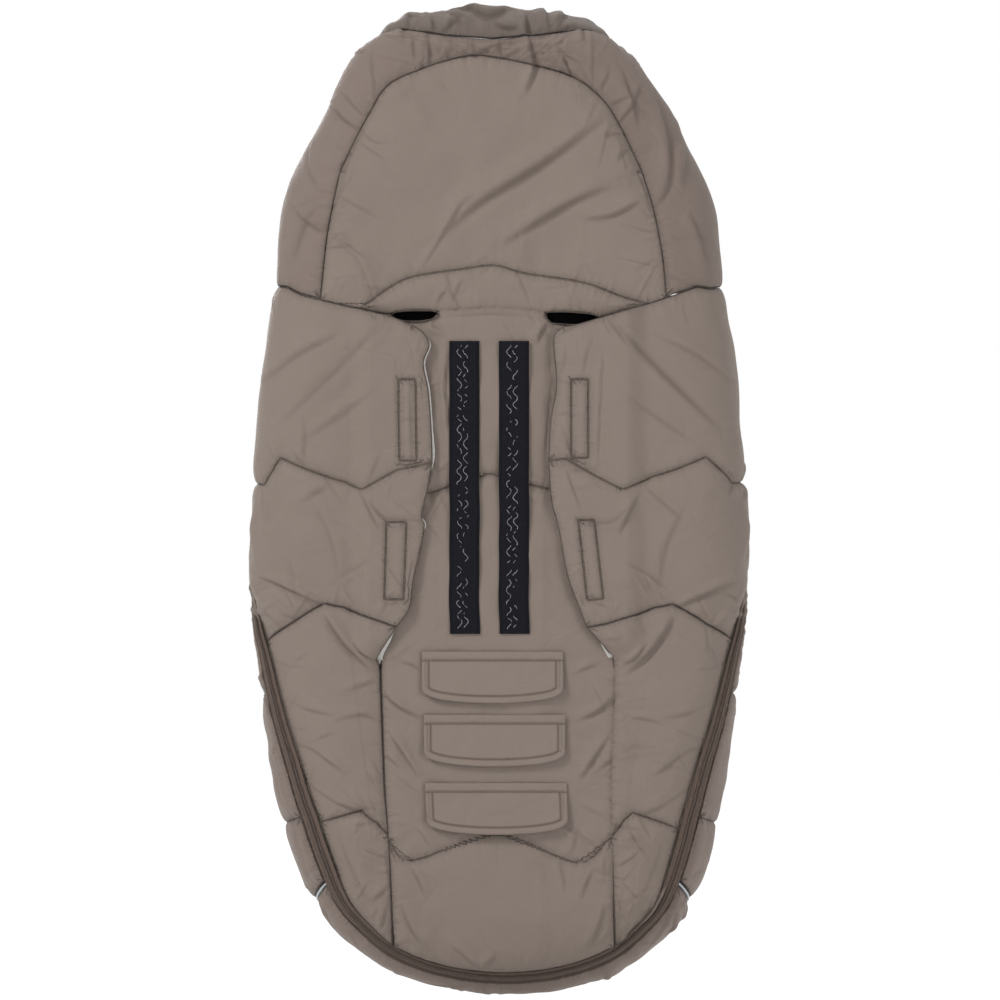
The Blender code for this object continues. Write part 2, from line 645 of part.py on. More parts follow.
def side_rows(columns):
    """Chart rows and lofts of the left side panel, from the yoke to the toe."""
    edge = side_edge()
    shift = len(edge) - CORNER_ROW - 1
    marks = [0, SEAM_A_ROW + shift, SEAM_B_ROW + shift, SEAM_C_ROW + shift, CORNER_ROW + shift]
    yoke = [(SLOT_EDGE_SHARE + SLOT_WIDTH / LENGTH, YOKE_SIDE_SHARE), YOKE_SHARES[-1]]
    yoke_plan = np.array(yoke) * LENGTH
    yoke_line = plan_chart(-yoke_plan[:, 0], yoke_plan[:, 1] - SEAM_GAP, -1.0)
    toe_z = TOE_HEIGHT_SHARE * LENGTH
    toe = plan_chart(np.array([-inner_edge(toe_z)]), np.array([toe_z]), -1.0)
    paths = [
        np.vstack([yoke_line, edge[:1]]),
        seam_chart(SIDE_SEAM_A_SHARES, edge[marks[1]]),
        seam_chart(SIDE_SEAM_B_SHARES, edge[marks[2]]),
        seam_chart(SIDE_SEAM_C_SHARES, edge[marks[3]]),
        np.vstack([toe, edge[-1:]]),
    ]
    lines = [spread(path, columns) for path in paths]
    run = arc_lengths(edge[:, 1:])
    ends = [YOKE_SIDE_SHARE * LENGTH, SIDE_SEAM_A_SHARES[0][1] * LENGTH, SIDE_SEAM_B_SHARES[0][1] * LENGTH,
            SIDE_SEAM_C_SHARES[0][1] * LENGTH, toe_z]
    heights = np.interp(run, run[marks], ends)
    inner = plan_chart(-inner_edge(heights), heights, -1.0)
    inner[0] = yoke_line[0]
    return strip_rows(lines, marks, edge, inner, columns)


def side_panel(side, name, look):
    """One side panel of the back, which wraps round the side to the zip on the front."""
    rows, row_lofts = side_rows(SIDE_COLUMN_SHARES)
    if side > 0:
        rows = mirrored(rows)
    column_lofts = pillow(np.array(SIDE_COLUMN_SHARES))
    lofts = seam_loft(row_lofts, column_lofts)
    beside_slot = rows[:, 0, 1] < station_at(SLOT_FOOT_SHARE)
    open_lofts = seam_loft(row_lofts, np.where(np.array(SIDE_COLUMN_SHARES) < 0.5, 1.0, column_lofts))
    lofts[beside_slot] = open_lofts[beside_slot]
    quilt(name, chart_point(rows), lofts, LOFT, look)


def side_lining(side, name, look):
    """The lining behind one side panel, which stops short of the toe corner."""
    rows, _ = side_rows(SIDE_COLUMN_SHARES)
    rows = rows[:-1]
    if side > 0:
        rows = mirrored(rows)
    quilt(name, chart_point(rows), 1.0, LINING_THICK, look, lift=-PIECE_GAP, inside=True)


def toe_line(offset):
    """Plan places of the centre panel's toe edge, from the left corner to the right one."""
    left = chart_point(zip_path(offset)[CORNER_ROW:])[:, (0, 2)]
    right = left[-2::-1] * (-1.0, 1.0)
    return np.vstack([left, right])


def centre_rows(cells):
    """Plan rows and lofts of the centre panel, from the slots down to the toe."""
    toe = toe_line(-ZIP_HALF_WIDTH - ZIP_EDGE_GAP)
    share = toe[:, 0] / -toe[0, 0]
    half = SLOT_EDGE_SHARE * LENGTH
    closed = np.abs(share) * half < SLOT_MOUTH_IN_SHARE * LENGTH
    yoke = np.interp(np.abs(share) * half, *np.array(YOKE_SHARES).T * LENGTH) - 2.0 * SEAM_GAP
    top = np.stack([share * half, np.where(closed, yoke, SLOT_TOP_SHARE * LENGTH)], axis=1)
    lines = [top]
    for seam in (CENTRE_SEAM_A_SHARES, CENTRE_SEAM_B_SHARES, CENTRE_SEAM_C_SHARES):
        seam = np.array(seam) * LENGTH
        edge = centre_edge(seam[0, 1])
        x = share * edge
        lines.append(np.stack([x, np.interp(x, seam[:, 0], seam[:, 1])], axis=1))
    toe[0, 0] = -centre_edge(toe[0, 1])
    toe[-1, 0] = centre_edge(toe[-1, 1])
    lines.append(toe)
    return *rows_between(lines, cells), share


def centre_edge(height):
    """Distance of the centre panel's side edge from the middle."""
    foot = (SLOT_FOOT_SHARE - SLOT_TAPER_SHARE) * LENGTH
    heights = (TOE_HEIGHT_SHARE * LENGTH, foot)
    edges = (TOE_EDGE_SHARE * LENGTH - SEAM_GAP, SLOT_EDGE_SHARE * LENGTH - SEAM_GAP)
    return np.interp(height, heights, edges)


def centre_panel(look, slits):
    """The quilted centre panel of the back, with its three crotch slits."""
    rows, row_lofts, share = centre_rows((5, 5, 5, 4))
    lofts = seam_loft(row_lofts, pillow(0.5 + 0.5 * share))
    target = quilt("back_centre_panel", plan_point(rows, -1.0), lofts, BACK_LOFT, look)
    for tool in slits:
        cut(target, tool)


def centre_lining(look, slits):
    """The lining behind the centre panel, slit like it."""
    rows, _, _ = centre_rows((2, 2, 2, 2))
    places = plan_point(rows, -1.0)
    target = quilt("centre_lining", places, 1.0, LINING_THICK, look, lift=-PIECE_GAP, inside=True)
    for tool in slits:
        cut(target, tool)


def arch_line(gap):
    """Left half of the hood's arch seam, from its foot to the top, in plan."""
    arch = np.array(ARCH_SHARES)[::-1] * (-LENGTH, LENGTH)
    line = spread(arch, ARCH_COLUMN_SHARES)
    centre = np.array([0.0, ARCH_SHARES[-1][1] * LENGTH])
    away = line - centre
    away /= np.linalg.norm(away, axis=1)[:, None]
    return line + away * gap


def crown_rows(gap):
    """Plan rows and lofts of the hood's crown: yoke seam, head seam and arch."""
    arch = arch_line(-gap)
    x = arch[0, 0] * (1.0 - np.array(ARCH_COLUMN_SHARES))
    yoke = np.array(YOKE_SHARES) * LENGTH
    head = np.array(HEAD_SEAM_SHARES) * LENGTH
    low = np.stack([x, np.interp(-x, yoke[:, 0], yoke[:, 1]) + gap], axis=1)
    seam = np.stack([x, np.interp(-x, head[:, 0], head[:, 1]) + gap], axis=1)
    seam[0] = low[0]
    arch[0] = low[0]
    halves = [np.vstack([line, line[-2::-1] * (-1.0, 1.0)]) for line in (low, seam, arch)]
    return rows_between(halves, (3, 5))


def crown_panel(look):
    """The hood's quilted crown inside the arch seam."""
    rows, row_lofts = crown_rows(SEAM_GAP)
    across = np.concatenate([ARCH_COLUMN_SHARES, 2.0 - np.array(ARCH_COLUMN_SHARES)[-2::-1]]) * 0.5
    quilt("hood_crown_panel", plan_point(rows, -1.0), seam_loft(row_lofts, pillow(across)), BACK_LOFT, look)


def rim_seam(shift):
    """Left half of the hood's rim seam, from the yoke to the top, in chart values."""
    table = np.array(RIM_SEAM_SHARES)[::-1]
    station = station_at(table[:, 0])
    depth, reach = rim_sizes(station)
    over = table[:, 1] / RIGHT_ANGLE * rim_length(depth, reach)
    line = np.stack([np.ones(len(station)), station, over], axis=1)
    line[0] = rim_corner()
    return line + (0.0, 0.0, shift)


def hood_lines():
    """Arch seam and rim seam of the hood band, each from the left yoke over the top to the right."""
    rim = spread(rim_seam(-SEAM_GAP), ARCH_COLUMN_SHARES)
    arch = arch_line(SEAM_GAP)
    arch[0] = np.array(YOKE_SHARES[-1]) * (-LENGTH, LENGTH) + (0.0, SEAM_GAP)
    inner = plan_chart(arch[:, 0], arch[:, 1], -1.0)
    rim[0, 1] -= SEAM_GAP
    return [np.vstack([line, mirrored(line[-2::-1])]) for line in (inner, rim)]


def hood_band(look):
    """The quilted band round the crown, which wraps forward to the face opening."""
    inner, rim = hood_lines()
    share = np.array(BAND_ROW_SHARES)[:, None, None]
    rows = inner * (1.0 - share) + rim * share
    around = np.concatenate([ARCH_COLUMN_SHARES, 2.0 - np.array(ARCH_COLUMN_SHARES)[-2::-1]]) * 0.5
    lofts = seam_loft(pillow(np.array(BAND_ROW_SHARES)), pillow(around))
    quilt("hood_band", chart_point(rows), lofts, LOFT, look)


def hood_lining(look):
    """One lining for the whole hood, from the yoke to the rim."""
    crown, _ = crown_rows(SEAM_GAP)
    inner, rim = hood_lines()
    share = np.array(BAND_ROW_SHARES)[1:, None, None]
    band = inner * (1.0 - share) + rim * share
    places = np.concatenate([plan_point(crown, -1.0), chart_point(band)])
    quilt("hood_lining", places, 1.0, LINING_THICK, look, lift=-PIECE_GAP, inside=True)


def rim_strip(shares):
    """Grid of a strip round the face opening, at shares of the channel's width past the rim seam."""
    foot_z = np.array(RIM_FOOT_SHARES) * LENGTH
    foot = plan_chart(np.full(len(foot_z), -RIM_X_SHARE * LENGTH), foot_z, 1.0)
    seam = np.vstack([foot, spread(rim_seam(0.0), ARCH_COLUMN_SHARES)])
    width = RIM_STRIP_WIDTH - SEAM_GAP
    rows = np.array([seam + (0.0, 0.0, SEAM_GAP + width * share) for share in shares])
    return chart_point(np.concatenate([rows, mirrored(rows[:, -2::-1])], axis=1))


def hood_rim(look, elastic_look, lining_look):
    """The rim channel: outer strip, elastic and facing."""
    quilt("hood_rim_strip", rim_strip(STRIP_ROW_SHARES), 1.0, RIM_STRIP_THICK, look)
    quilt("hood_elastic", rim_strip(STRIP_ROW_SHARES[1:3]), 1.0, ELASTIC_THICK, elastic_look,
          lift=-PIECE_GAP, inside=True)
    quilt("hood_rim_facing", rim_strip(FACING_ROW_SHARES), 1.0, FACING_THICK, lining_look,
          lift=-3.0 * PIECE_GAP - ELASTIC_THICK, inside=True)


def zip_strip(low, high, first, last, both):
    """Grid of a strip along the zip between two offsets: one side, or both sides round the toe."""
    rows = np.array([zip_path(offset)[first:last] for offset in (low, high)])
    if both:
        rows = np.concatenate([rows, mirrored(rows[:, -2::-1])], axis=1)
    return rows


def zip_half(name, direction, first, last, both, side, tape_look, coil_look, parent=None):
    """One half of the zip over a stretch: its tape, and the coil of teeth on its inner edge."""
    inner = 0.5 * PIECE_GAP * direction
    coil_lift = ZIP_TAPE_LIFT + ZIP_TAPE_THICK + COIL_GAP
    strips = (
        ("zip_tape_", ZIP_HALF_WIDTH, ZIP_TAPE_THICK, ZIP_TAPE_LIFT, tape_look),
        ("zip_coil_", COIL_WIDTH, COIL_HEIGHT, coil_lift, coil_look),
    )
    for prefix, width, thick, lift, look in strips:
        ends = sorted((inner, width * direction))
        rows = zip_strip(ends[0], ends[1], first, last, both)
        if side > 0:
            rows = mirrored(rows)
        quilt(prefix + name, chart_point(rows), 1.0, thick, look, lift=lift, parent=parent)


def front_edge():
    """Distance of the chest and front panels' edges from the middle."""
    return ZIP_X_SHARE * LENGTH - ZIP_HALF_WIDTH - ZIP_EDGE_GAP


def front_rows(lines, cells):
    """Plan rows of a front panel between seams, given as shares over the panel's own width."""
    columns = np.array(FRONT_COLUMN_SHARES)
    x = columns * front_edge()
    plans = []
    for shares in lines:
        seam = np.array(shares) * LENGTH
        plans.append(np.stack([x, np.interp(x, seam[:, 0], seam[:, 1])], axis=1))
    rows, lofts = rows_between(plans, cells)
    return rows, seam_loft(lofts, pillow(0.5 + 0.5 * columns))


def level(height):
    """A straight cross seam at a height, as a table of shares like the others."""
    return ((-1.0, height), (1.0, height))


def chest_panel(parent, look, lining_look):
    """The upper cover panel, which folds down, with its lining."""
    gap = SEAM_GAP / LENGTH
    hem = ZIP_TOP_SHARE - HEM_GAP / LENGTH
    rows, lofts = front_rows([level(FOLD_SHARE + gap), CHEST_SEAM_SHARES, level(hem)], (5, 5))
    quilt("chest_panel", plan_point(rows, 1.0), lofts, LOFT, look, parent=parent)
    rows = rows[::5]
    quilt("chest_lining", plan_point(rows, 1.0), 1.0, LINING_THICK, lining_look, -PIECE_GAP, parent, True)


def chest_hem(parent, look):
    """The bound top edge of the chest panel."""
    y = BACK_BASE_Y + 2.0 * RIM_DEPTH
    low = ZIP_TOP_SHARE * LENGTH
    half = front_edge()
    box("chest_hem", (-half, y - LINING_THICK, low), (half, y - LINING_THICK + HEM_THICK, low + HEM_HEIGHT),
        look, parent, bevel=0.25 * HEM_THICK)


def cap_seam(shift):
    """Left half of the foot cap's seam on the front, in plan, moved along Z."""
    seam = np.array(CAP_SEAM_SHARES) * (-LENGTH, LENGTH)
    return seam + (0.0, shift)


def cap_chart(shift):
    """Left half of the cap seam in chart values: the end at the zip, round the side, to the middle.

    The shift is along the bag, plus towards the chest.
    """
    end = zip_path(ZIP_HALF_WIDTH + ZIP_EDGE_GAP)[PIPING_ROW:PIPING_ROW + 1]
    round_side = cap_seam(0.0)[:2]
    turned = plan_chart(round_side[:, 0], round_side[:, 1], 1.0)
    flat = cap_seam(shift)[2:]
    return np.vstack([np.vstack([end, turned]) - (0.0, shift, 0.0), plan_chart(flat[:, 0], flat[:, 1], 1.0)])


def front_panel(parent, look):
    """The lower cover's centre panel, quilted down to the foot cap."""
    gap = SEAM_GAP / LENGTH
    cap = cap_seam(PIPING_ROOM)
    cap = np.vstack([cap, cap[-2::-1] * (-1.0, 1.0)]) / LENGTH
    lines = [level(FOLD_SHARE - gap), FRONT_SEAM_A_SHARES, FRONT_SEAM_B_SHARES, FRONT_SEAM_C_SHARES, cap]
    rows, lofts = front_rows(lines, (5, 5, 5, 4))
    quilt("front_panel", plan_point(rows, 1.0), lofts, LOFT, look, parent=parent)


def band_rows(columns):
    """Chart rows of the left cover band, from where the zip leaves the fold to the piping."""
    edge = zip_path(ZIP_HALF_WIDTH + ZIP_EDGE_GAP)[:PIPING_ROW + 1]
    run = arc_lengths(edge[:, 1:])
    marks = list(BAND_ROWS)
    ends = [BAND_TOP_SHARE * LENGTH, FRONT_SEAM_A_SHARES[0][1] * LENGTH, FRONT_SEAM_B_SHARES[0][1] * LENGTH,
            FRONT_SEAM_C_SHARES[0][1] * LENGTH, CAP_CORNER_SHARE * LENGTH + PIPING_ROOM]
    heights = np.interp(run, run[marks], ends)
    x = np.full(len(heights), -front_edge() - 2.0 * SEAM_GAP)
    inner = plan_chart(x, heights, 1.0)
    seam = cap_chart(PIPING_ROOM)
    edge[-1] = seam[0]
    lines = [spread(np.vstack([inner[[mark]], edge[[mark]]]), columns) for mark in marks[:-1]]
    turn = seam[3::-1]
    turn[0] = inner[-1]
    lines.append(spread(turn, columns))
    return strip_rows(lines, marks, edge, inner, columns)


def cover_band(side, name, look, parent):
    """One side band of the lower cover, from the front seam round the side to the zip on the back."""
    columns = np.array(BAND_COLUMN_SHARES)
    rows, row_lofts = band_rows(columns)
    if side > 0:
        rows = mirrored(rows)
    quilt(name, chart_point(rows), seam_loft(row_lofts, pillow(columns)), LOFT, look, parent=parent)


def cap_grid(shares, gap):
    """Chart grid of the foot cap: from the zip on the back, round the toe, to its seam on the front."""
    edge = zip_path(ZIP_HALF_WIDTH + gap)[PIPING_ROW:]
    seam = cap_chart(-PIPING_ROOM)
    inner = spread(seam[1:], len(edge))
    edge[0] = seam[0]
    share = np.asarray(shares)[:, None, None]
    rows = edge * (1.0 - share) + inner * share
    return np.concatenate([rows, mirrored(rows[:, -2::-1])], axis=1)


def foot_cap(parent, look, lining_look):
    """The padded foot end below the reflective piping, with its lining."""
    rows = cap_grid(CAP_ROW_SHARES, ZIP_EDGE_GAP)
    around = np.linspace(0.0, 1.0, rows.shape[1])
    lofts = seam_loft(pillow(np.array(CAP_ROW_SHARES)), np.maximum(pillow(around), 0.0) ** 0.5, 0.5)
    quilt("foot_cap", chart_point(rows), lofts, LOFT, look, parent=parent)
    quilt("foot_cap_lining", chart_point(rows), 1.0, LINING_THICK, lining_look, -CAP_LINING_GAP, parent, True)


def reflective_piping(parent, look):
    """The silver piping in the seam between the foot cap and the cover."""
    seam = cap_chart(0.0)
    chart = np.vstack([spread(seam[:2], 5)[:-1], spread(seam[1:], 13)])
    chart = np.vstack([chart, mirrored(chart[-2::-1])])
    lifted = chart_point(chart)
    depth = chart_point(chart + (0.0, 0.0, PIPING_RADIUS))
    along = np.gradient(lifted, axis=0)
    normal = np.cross(along, depth - lifted)
    normal /= np.linalg.norm(normal, axis=1)[:, None]
    inside = (0.0, BACK_BASE_Y + RIM_DEPTH, FRONT_SEAM_C_SHARES[0][1] * LENGTH)
    normal *= np.sign(np.sum(normal * (lifted - inside), axis=1))[:, None]
    tube("reflective_piping", lifted + normal * 2.0 * PIPING_RADIUS, PIPING_RADIUS, look, parent)


def cover_lining(parent, look):
    """The lining of the lower cover, from zip to zip across the front."""
    rows, _ = band_rows(np.array(BAND_COLUMN_SHARES))
    middle = np.array(LINING_MIDDLE_SHARES)
    cap = np.array(CAP_SEAM_SHARES) * LENGTH
    corner = CAP_CORNER_SHARE * LENGTH
    turn = FRONT_SEAM_C_SHARES[0][1] * LENGTH
    places = []
    for row in chart_point(rows[:, ::-1]):
        inner = row[-1]
        x = -middle * inner[0]
        blend = np.clip((turn - inner[2]) / (turn - corner), 0.0, 1.0)
        z = inner[2] + blend * (np.interp(np.abs(x), cap[::-1, 0], cap[::-1, 1]) - corner)
        across = plan_point(np.stack([x, z], axis=1), 1.0)
        places.append(np.vstack([row, across, row[::-1] * (-1.0, 1.0, 1.0)]))
    quilt("cover_lining", np.array(places), 1.0, LINING_THICK, look, -2.0 * PIECE_GAP, parent, True)


def grip_tape(name, mid_share, look):
    """A flat rubber-backed tape sewn to the centre panel."""
    x = mid_share * LENGTH
    top = TAPE_TOP_SHARE * LENGTH
    box(name, (x - 0.5 * TAPE_WIDTH, 0.0, top - TAPE_LENGTH), (x + 0.5 * TAPE_WIDTH, TAPE_THICK, top), look)


def flap_outline(mid, top):
    """Plan outline of a crotch flap: square at the top, with a bowed bottom and rounded corners."""
    half = 0.5 * FLAP_WIDTH
    steps = np.linspace(0.0, math.pi, 13)
    drop = FLAP_HEIGHT - FLAP_CORNER_DROP
    bow = np.sin(steps) ** FLAP_BOW_POWER
    bottom = np.stack([mid - half * np.cos(steps), top - drop - FLAP_CORNER_DROP * bow], axis=1)
    return [(mid + half, top), (mid - half, top), *[tuple(point) for point in bottom]]


def crotch_flap(number, mid_share, top_share, look):
    """A flap that hangs over one crotch slit, on its pivot along its top edge."""
    mid = mid_share * LENGTH
    top = top_share * LENGTH
    face = BACK_BASE_Y - BACK_LOFT - PIECE_GAP
    parent = pivot(f"crotch_flap_{number}_pivot", (mid, face - FLAP_THICK, top))
    slab(f"crotch_flap_{number}", flap_outline(mid, top), face - FLAP_THICK, face, look, parent)


def slit_tools(number, mid_share, top_share):
    """Cutters of one crotch slit: the seat of its binding, and the slit itself."""
    mid = mid_share * LENGTH
    high = top_share * LENGTH - SLIT_DROP + 0.5 * SLIT_HEIGHT
    low = high - SLIT_HEIGHT
    half = 0.5 * SLIT_WIDTH
    room = BINDING_BORDER + PIECE_GAP
    outer = BACK_BASE_Y - BACK_LOFT
    floor = outer + BINDING_SINK + BINDING_THICK + PIECE_GAP
    seat = cutter(f"slit_seat_{number}", (mid - half - room, outer - CUT_OVERRUN, low - room),
                  (mid + half + room, floor, high + room))
    inner = BACK_BASE_Y + LINING_THICK + PIECE_GAP + CUT_OVERRUN
    slit = cutter(f"slit_{number}", (mid - half, outer - CUT_OVERRUN, low), (mid + half, inner, high))
    return seat, slit


def slit_binding(number, mid_share, top_share, slit, look):
    """The bound edge round one crotch slit."""
    mid = mid_share * LENGTH
    high = top_share * LENGTH - SLIT_DROP + 0.5 * SLIT_HEIGHT + BINDING_BORDER
    low = high - SLIT_HEIGHT - 2.0 * BINDING_BORDER
    half = 0.5 * SLIT_WIDTH + BINDING_BORDER
    outer = BACK_BASE_Y - BACK_LOFT + BINDING_SINK
    target = box(f"slit_binding_{number}", (mid - half, outer, low),
                 (mid + half, outer + BINDING_THICK, high), look)
    cut(target, slit)


def harness_flap(side, name, shares, look, pad_shares, seat_loft, pad_look, loop_look):
    """A flap over one harness slot, with its two closure pads and their partners on the centre panel."""
    word = name.rsplit("_", 1)[1]
    hinge = side * (HINGE_SHARE * LENGTH - SEAM_GAP)
    face = BACK_BASE_Y - seat_loft
    flap_y = face - 3.0 * PIECE_GAP - 2.0 * PAD_THICK
    parent = pivot(f"{name}_pivot", (hinge, flap_y - HARNESS_FLAP_LOFT, 0.0))
    table = np.array(shares) * LENGTH
    columns = np.array(FLAP_COLUMN_SHARES)
    x = hinge - side * table[:, :1] * columns
    z = np.repeat(table[:, 1:], len(columns), axis=1)
    places = np.stack([x, np.full_like(x, flap_y), z], axis=-1)
    rows = np.linspace(0.0, 1.0, len(table))
    quilt(name, places, seam_loft(pillow(rows), pillow(columns)), HARNESS_FLAP_LOFT, look, parent=parent)
    places = (("upper", pad_shares[0], PAD_UPPER_MID_SHARE, PAD_UPPER_LENGTH),
              ("lower", pad_shares[1], PAD_LOWER_MID_SHARE, PAD_LOWER_LENGTH))
    for place, mid_x, mid_z, length in places:
        pads = (("flap_pad", flap_y + PIECE_GAP, pad_look, parent),
                ("base_pad", face - PIECE_GAP - PAD_THICK, loop_look, None))
        for prefix, low_y, pad_material, holder in pads:
            box(f"{prefix}_{word}_{place}",
                (mid_x * LENGTH - 0.5 * PAD_WIDTH, low_y, mid_z * LENGTH - 0.5 * length),
                (mid_x * LENGTH + 0.5 * PAD_WIDTH, low_y + PAD_THICK, mid_z * LENGTH + 0.5 * length),
                pad_material, holder)


def zip_slider(side, word, parent, look, pull_look):
    """A slider that caps the coils on the upright stretch, and its pull on a cross pin."""
    x = side * ZIP_X_SHARE * LENGTH
    base = BACK_BASE_Y + 2.0 * RIM_DEPTH + ZIP_TAPE_LIFT + ZIP_TAPE_THICK + PIECE_GAP
    under = base - PIECE_GAP + COIL_GAP + COIL_HEIGHT + PIECE_GAP
    top = ZIP_TOP_SHARE * LENGTH - SLIDER_TOP_GAP
    low = top - SLIDER_LENGTH
    middle = 0.5 * (top + low)
    half = 0.5 * SLIDER_WIDTH
    groove = half - SLIDER_FLANGE
    holder = pivot(f"zip_slider_{word}_slide", (x, under, middle), parent)
    body = box(f"zip_slider_{word}", (x - half, base, low),
               (x + half, under + SLIDER_PLATE + LUG_HEIGHT, top), look, holder)
    plate = under + SLIDER_PLATE
    axis_y = plate + 0.5 * LUG_HEIGHT
    hole = PIN_RADIUS + PIN_CLEARANCE
    tools = [
        cutter(f"slider_groove_{word}", (x - groove, base - CUT_OVERRUN, low - CUT_OVERRUN),
               (x + groove, under, top + CUT_OVERRUN)),
        cutter(f"slider_left_{word}", (x - half - CUT_OVERRUN, plate, low - CUT_OVERRUN),
               (x - 0.5 * LUG_WIDTH, plate + LUG_HEIGHT + CUT_OVERRUN, top + CUT_OVERRUN)),
        cutter(f"slider_right_{word}", (x + 0.5 * LUG_WIDTH, plate, low - CUT_OVERRUN),
               (x + half + CUT_OVERRUN, plate + LUG_HEIGHT + CUT_OVERRUN, top + CUT_OVERRUN)),
        cutter(f"slider_low_{word}", (x - LUG_WIDTH, plate, low - CUT_OVERRUN),
               (x + LUG_WIDTH, plate + LUG_HEIGHT + CUT_OVERRUN, middle - 0.5 * LUG_LENGTH)),
        cutter(f"slider_high_{word}", (x - LUG_WIDTH, plate, middle + 0.5 * LUG_LENGTH),
               (x + LUG_WIDTH, plate + LUG_HEIGHT + CUT_OVERRUN, top + CUT_OVERRUN)),
        pin_mesh(f"slider_eye_{word}", (x, axis_y, middle), hole, LUG_WIDTH + 2.0 * CUT_OVERRUN),
    ]
    for tool in tools:
        cut(body, tool)
    turn = pivot(f"zip_pull_{word}_pivot", (x, axis_y, middle), holder)
    zip_pull(word, x, axis_y, middle, turn, pull_look)


def pin_mesh(name, centre, radius, length):
    """A short round bar along X."""
    mesh = bpy.data.meshes.new(name)
    work = bmesh.new()
    bmesh.ops.create_cone(work, cap_ends=True, segments=12, radius1=radius, radius2=radius, depth=length)
    for vertex in work.verts:
        vertex.co = (centre[0] + vertex.co.z, centre[1] + vertex.co.x, centre[2] + vertex.co.y)
    bmesh.ops.recalc_face_normals(work, faces=work.faces)
    work.to_mesh(mesh)
    work.free()
    target = bpy.data.objects.new(name, mesh)
    bpy.data.collections["cutters"].objects.link(target)
    target.hide_render = True
    target.display_type = "WIRE"
    return target


def zip_pull(word, x, axis_y, axis_z, parent, look):
    """A pull tab whose fork straddles the slider's lug, with the cross pin between its prongs."""
    half = 0.5 * PULL_WIDTH
    rise = 0.5 * PULL_THICK
    top = axis_z + rise + PIN_CLEARANCE
    pull = box(f"zip_pull_{word}", (x - half, axis_y - rise, axis_z - PULL_LENGTH),
               (x + half, axis_y + rise, top), look, parent)
    room = 0.5 * LUG_WIDTH + PIN_CLEARANCE
    foot = axis_z - 0.5 * LUG_LENGTH - PULL_THICK
    fork = cutter(f"pull_fork_{word}", (x - room, axis_y - LUG_HEIGHT, foot),
                  (x + room, axis_y + LUG_HEIGHT, top + CUT_OVERRUN))
    cut(pull, fork)
    join = pull.modifiers.new("pin", "BOOLEAN")
    join.operation = "UNION"
    width = PULL_WIDTH - PIN_CLEARANCE
    join.object = pin_mesh(f"pull_pin_{word}", (x, axis_y, axis_z), PIN_RADIUS, width)


def build():
    """Make every piece of the footmuff."""
    for existing in list(bpy.data.objects):
        bpy.data.objects.remove(existing, do_unlink=True)
    for name in ("stroller_footmuff", "cutters"):
        collection = bpy.data.collections.new(name)
        bpy.context.scene.collection.children.link(collection)
    fabric = (FABRIC, FABRIC_ROUGHNESS)
    dark = (FABRIC_DARK, TRIM_ROUGHNESS)
    white = (LINING_WHITE, FABRIC_ROUGHNESS)
    black = (TAPE_BLACK, TRIM_ROUGHNESS)
    tools = []
    for number, (mid, top) in enumerate(zip(FLAP_MID_SHARES, FLAP_TOP_SHARES), start=1):
        seat, slit = slit_tools(number, mid, top)
        tools += [seat, slit]
        slit_binding(number, mid, top, slit, fabric)
        crotch_flap(number, mid, top, fabric)
    centre_panel(fabric, tools)
    centre_lining(white, tools[1::2])
    for side, word in ((-1.0, "left"), (1.0, "right")):
        side_panel(side, f"side_panel_{word}", fabric)
        side_lining(side, f"side_lining_{word}", white)
    crown_panel(fabric)
    hood_band(fabric)
    hood_lining(white)
    hood_rim(fabric, black, fabric)
    for word, mid in zip(("left", "right"), TAPE_MID_SHARES):
        grip_tape(f"grip_tape_{word}", mid, black)
    harness_flap(-1.0, "harness_flap_left", LEFT_FLAP_SHARES, fabric, LEFT_PAD_SHARES, LEFT_PAD_SEAT_LOFT,
                 black, white)
    harness_flap(1.0, "harness_flap_right", RIGHT_FLAP_SHARES, fabric, RIGHT_PAD_SHARES, RIGHT_PAD_SEAT_LOFT,
                 black, white)
    zip_half("body", -1.0, 0, None, True, -1.0, dark, dark)
    front_y = BACK_BASE_Y + 2.0 * RIM_DEPTH + LOFT + 2.0 * SEAM_GAP
    toe_y = float(chart_point(zip_path(0.0)[-1])[1]) - LOFT
    toe_z = float(chart_point(zip_path(0.0)[-1])[2])
    lower = pivot("cover_lower_pivot", (0.0, toe_y, toe_z))
    upper = pivot("cover_upper_pivot", (0.0, front_y, FOLD_SHARE * LENGTH), lower)
    fold_row = len(ZIP_UPPER_SHARES)
    zip_half("cover", 1.0, fold_row - 1, None, True, -1.0, dark, dark, lower)
    for side, word in ((-1.0, "left"), (1.0, "right")):
        zip_half(f"chest_{word}", 1.0, 0, fold_row, False, side, dark, dark, upper)
        cover_band(side, f"cover_band_{word}", fabric, lower)
        zip_slider(side, word, upper, dark, dark)
    front_panel(lower, fabric)
    foot_cap(lower, fabric, white)
    reflective_piping(lower, (SILVER, SILVER_ROUGHNESS))
    cover_lining(lower, white)
    chest_panel(upper, fabric, white)
    chest_hem(upper, fabric)


build()
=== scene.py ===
"""Dresses the CAD frame of a stroller footmuff with quilted fabric, linings, stitching, zips and trim.

Run it as a script. Every fabric piece is a closed quilt: a dense grid of places on the bag's base
surface, lifted along its normals by a height that is worked out from the sewn seams. Distances are
in metres. Tables whose names end in PIXELS hold places read off the photograph of the bag's back,
one pixel to the millimetre, and plan() turns them into the frame's X and Z.
"""

import math

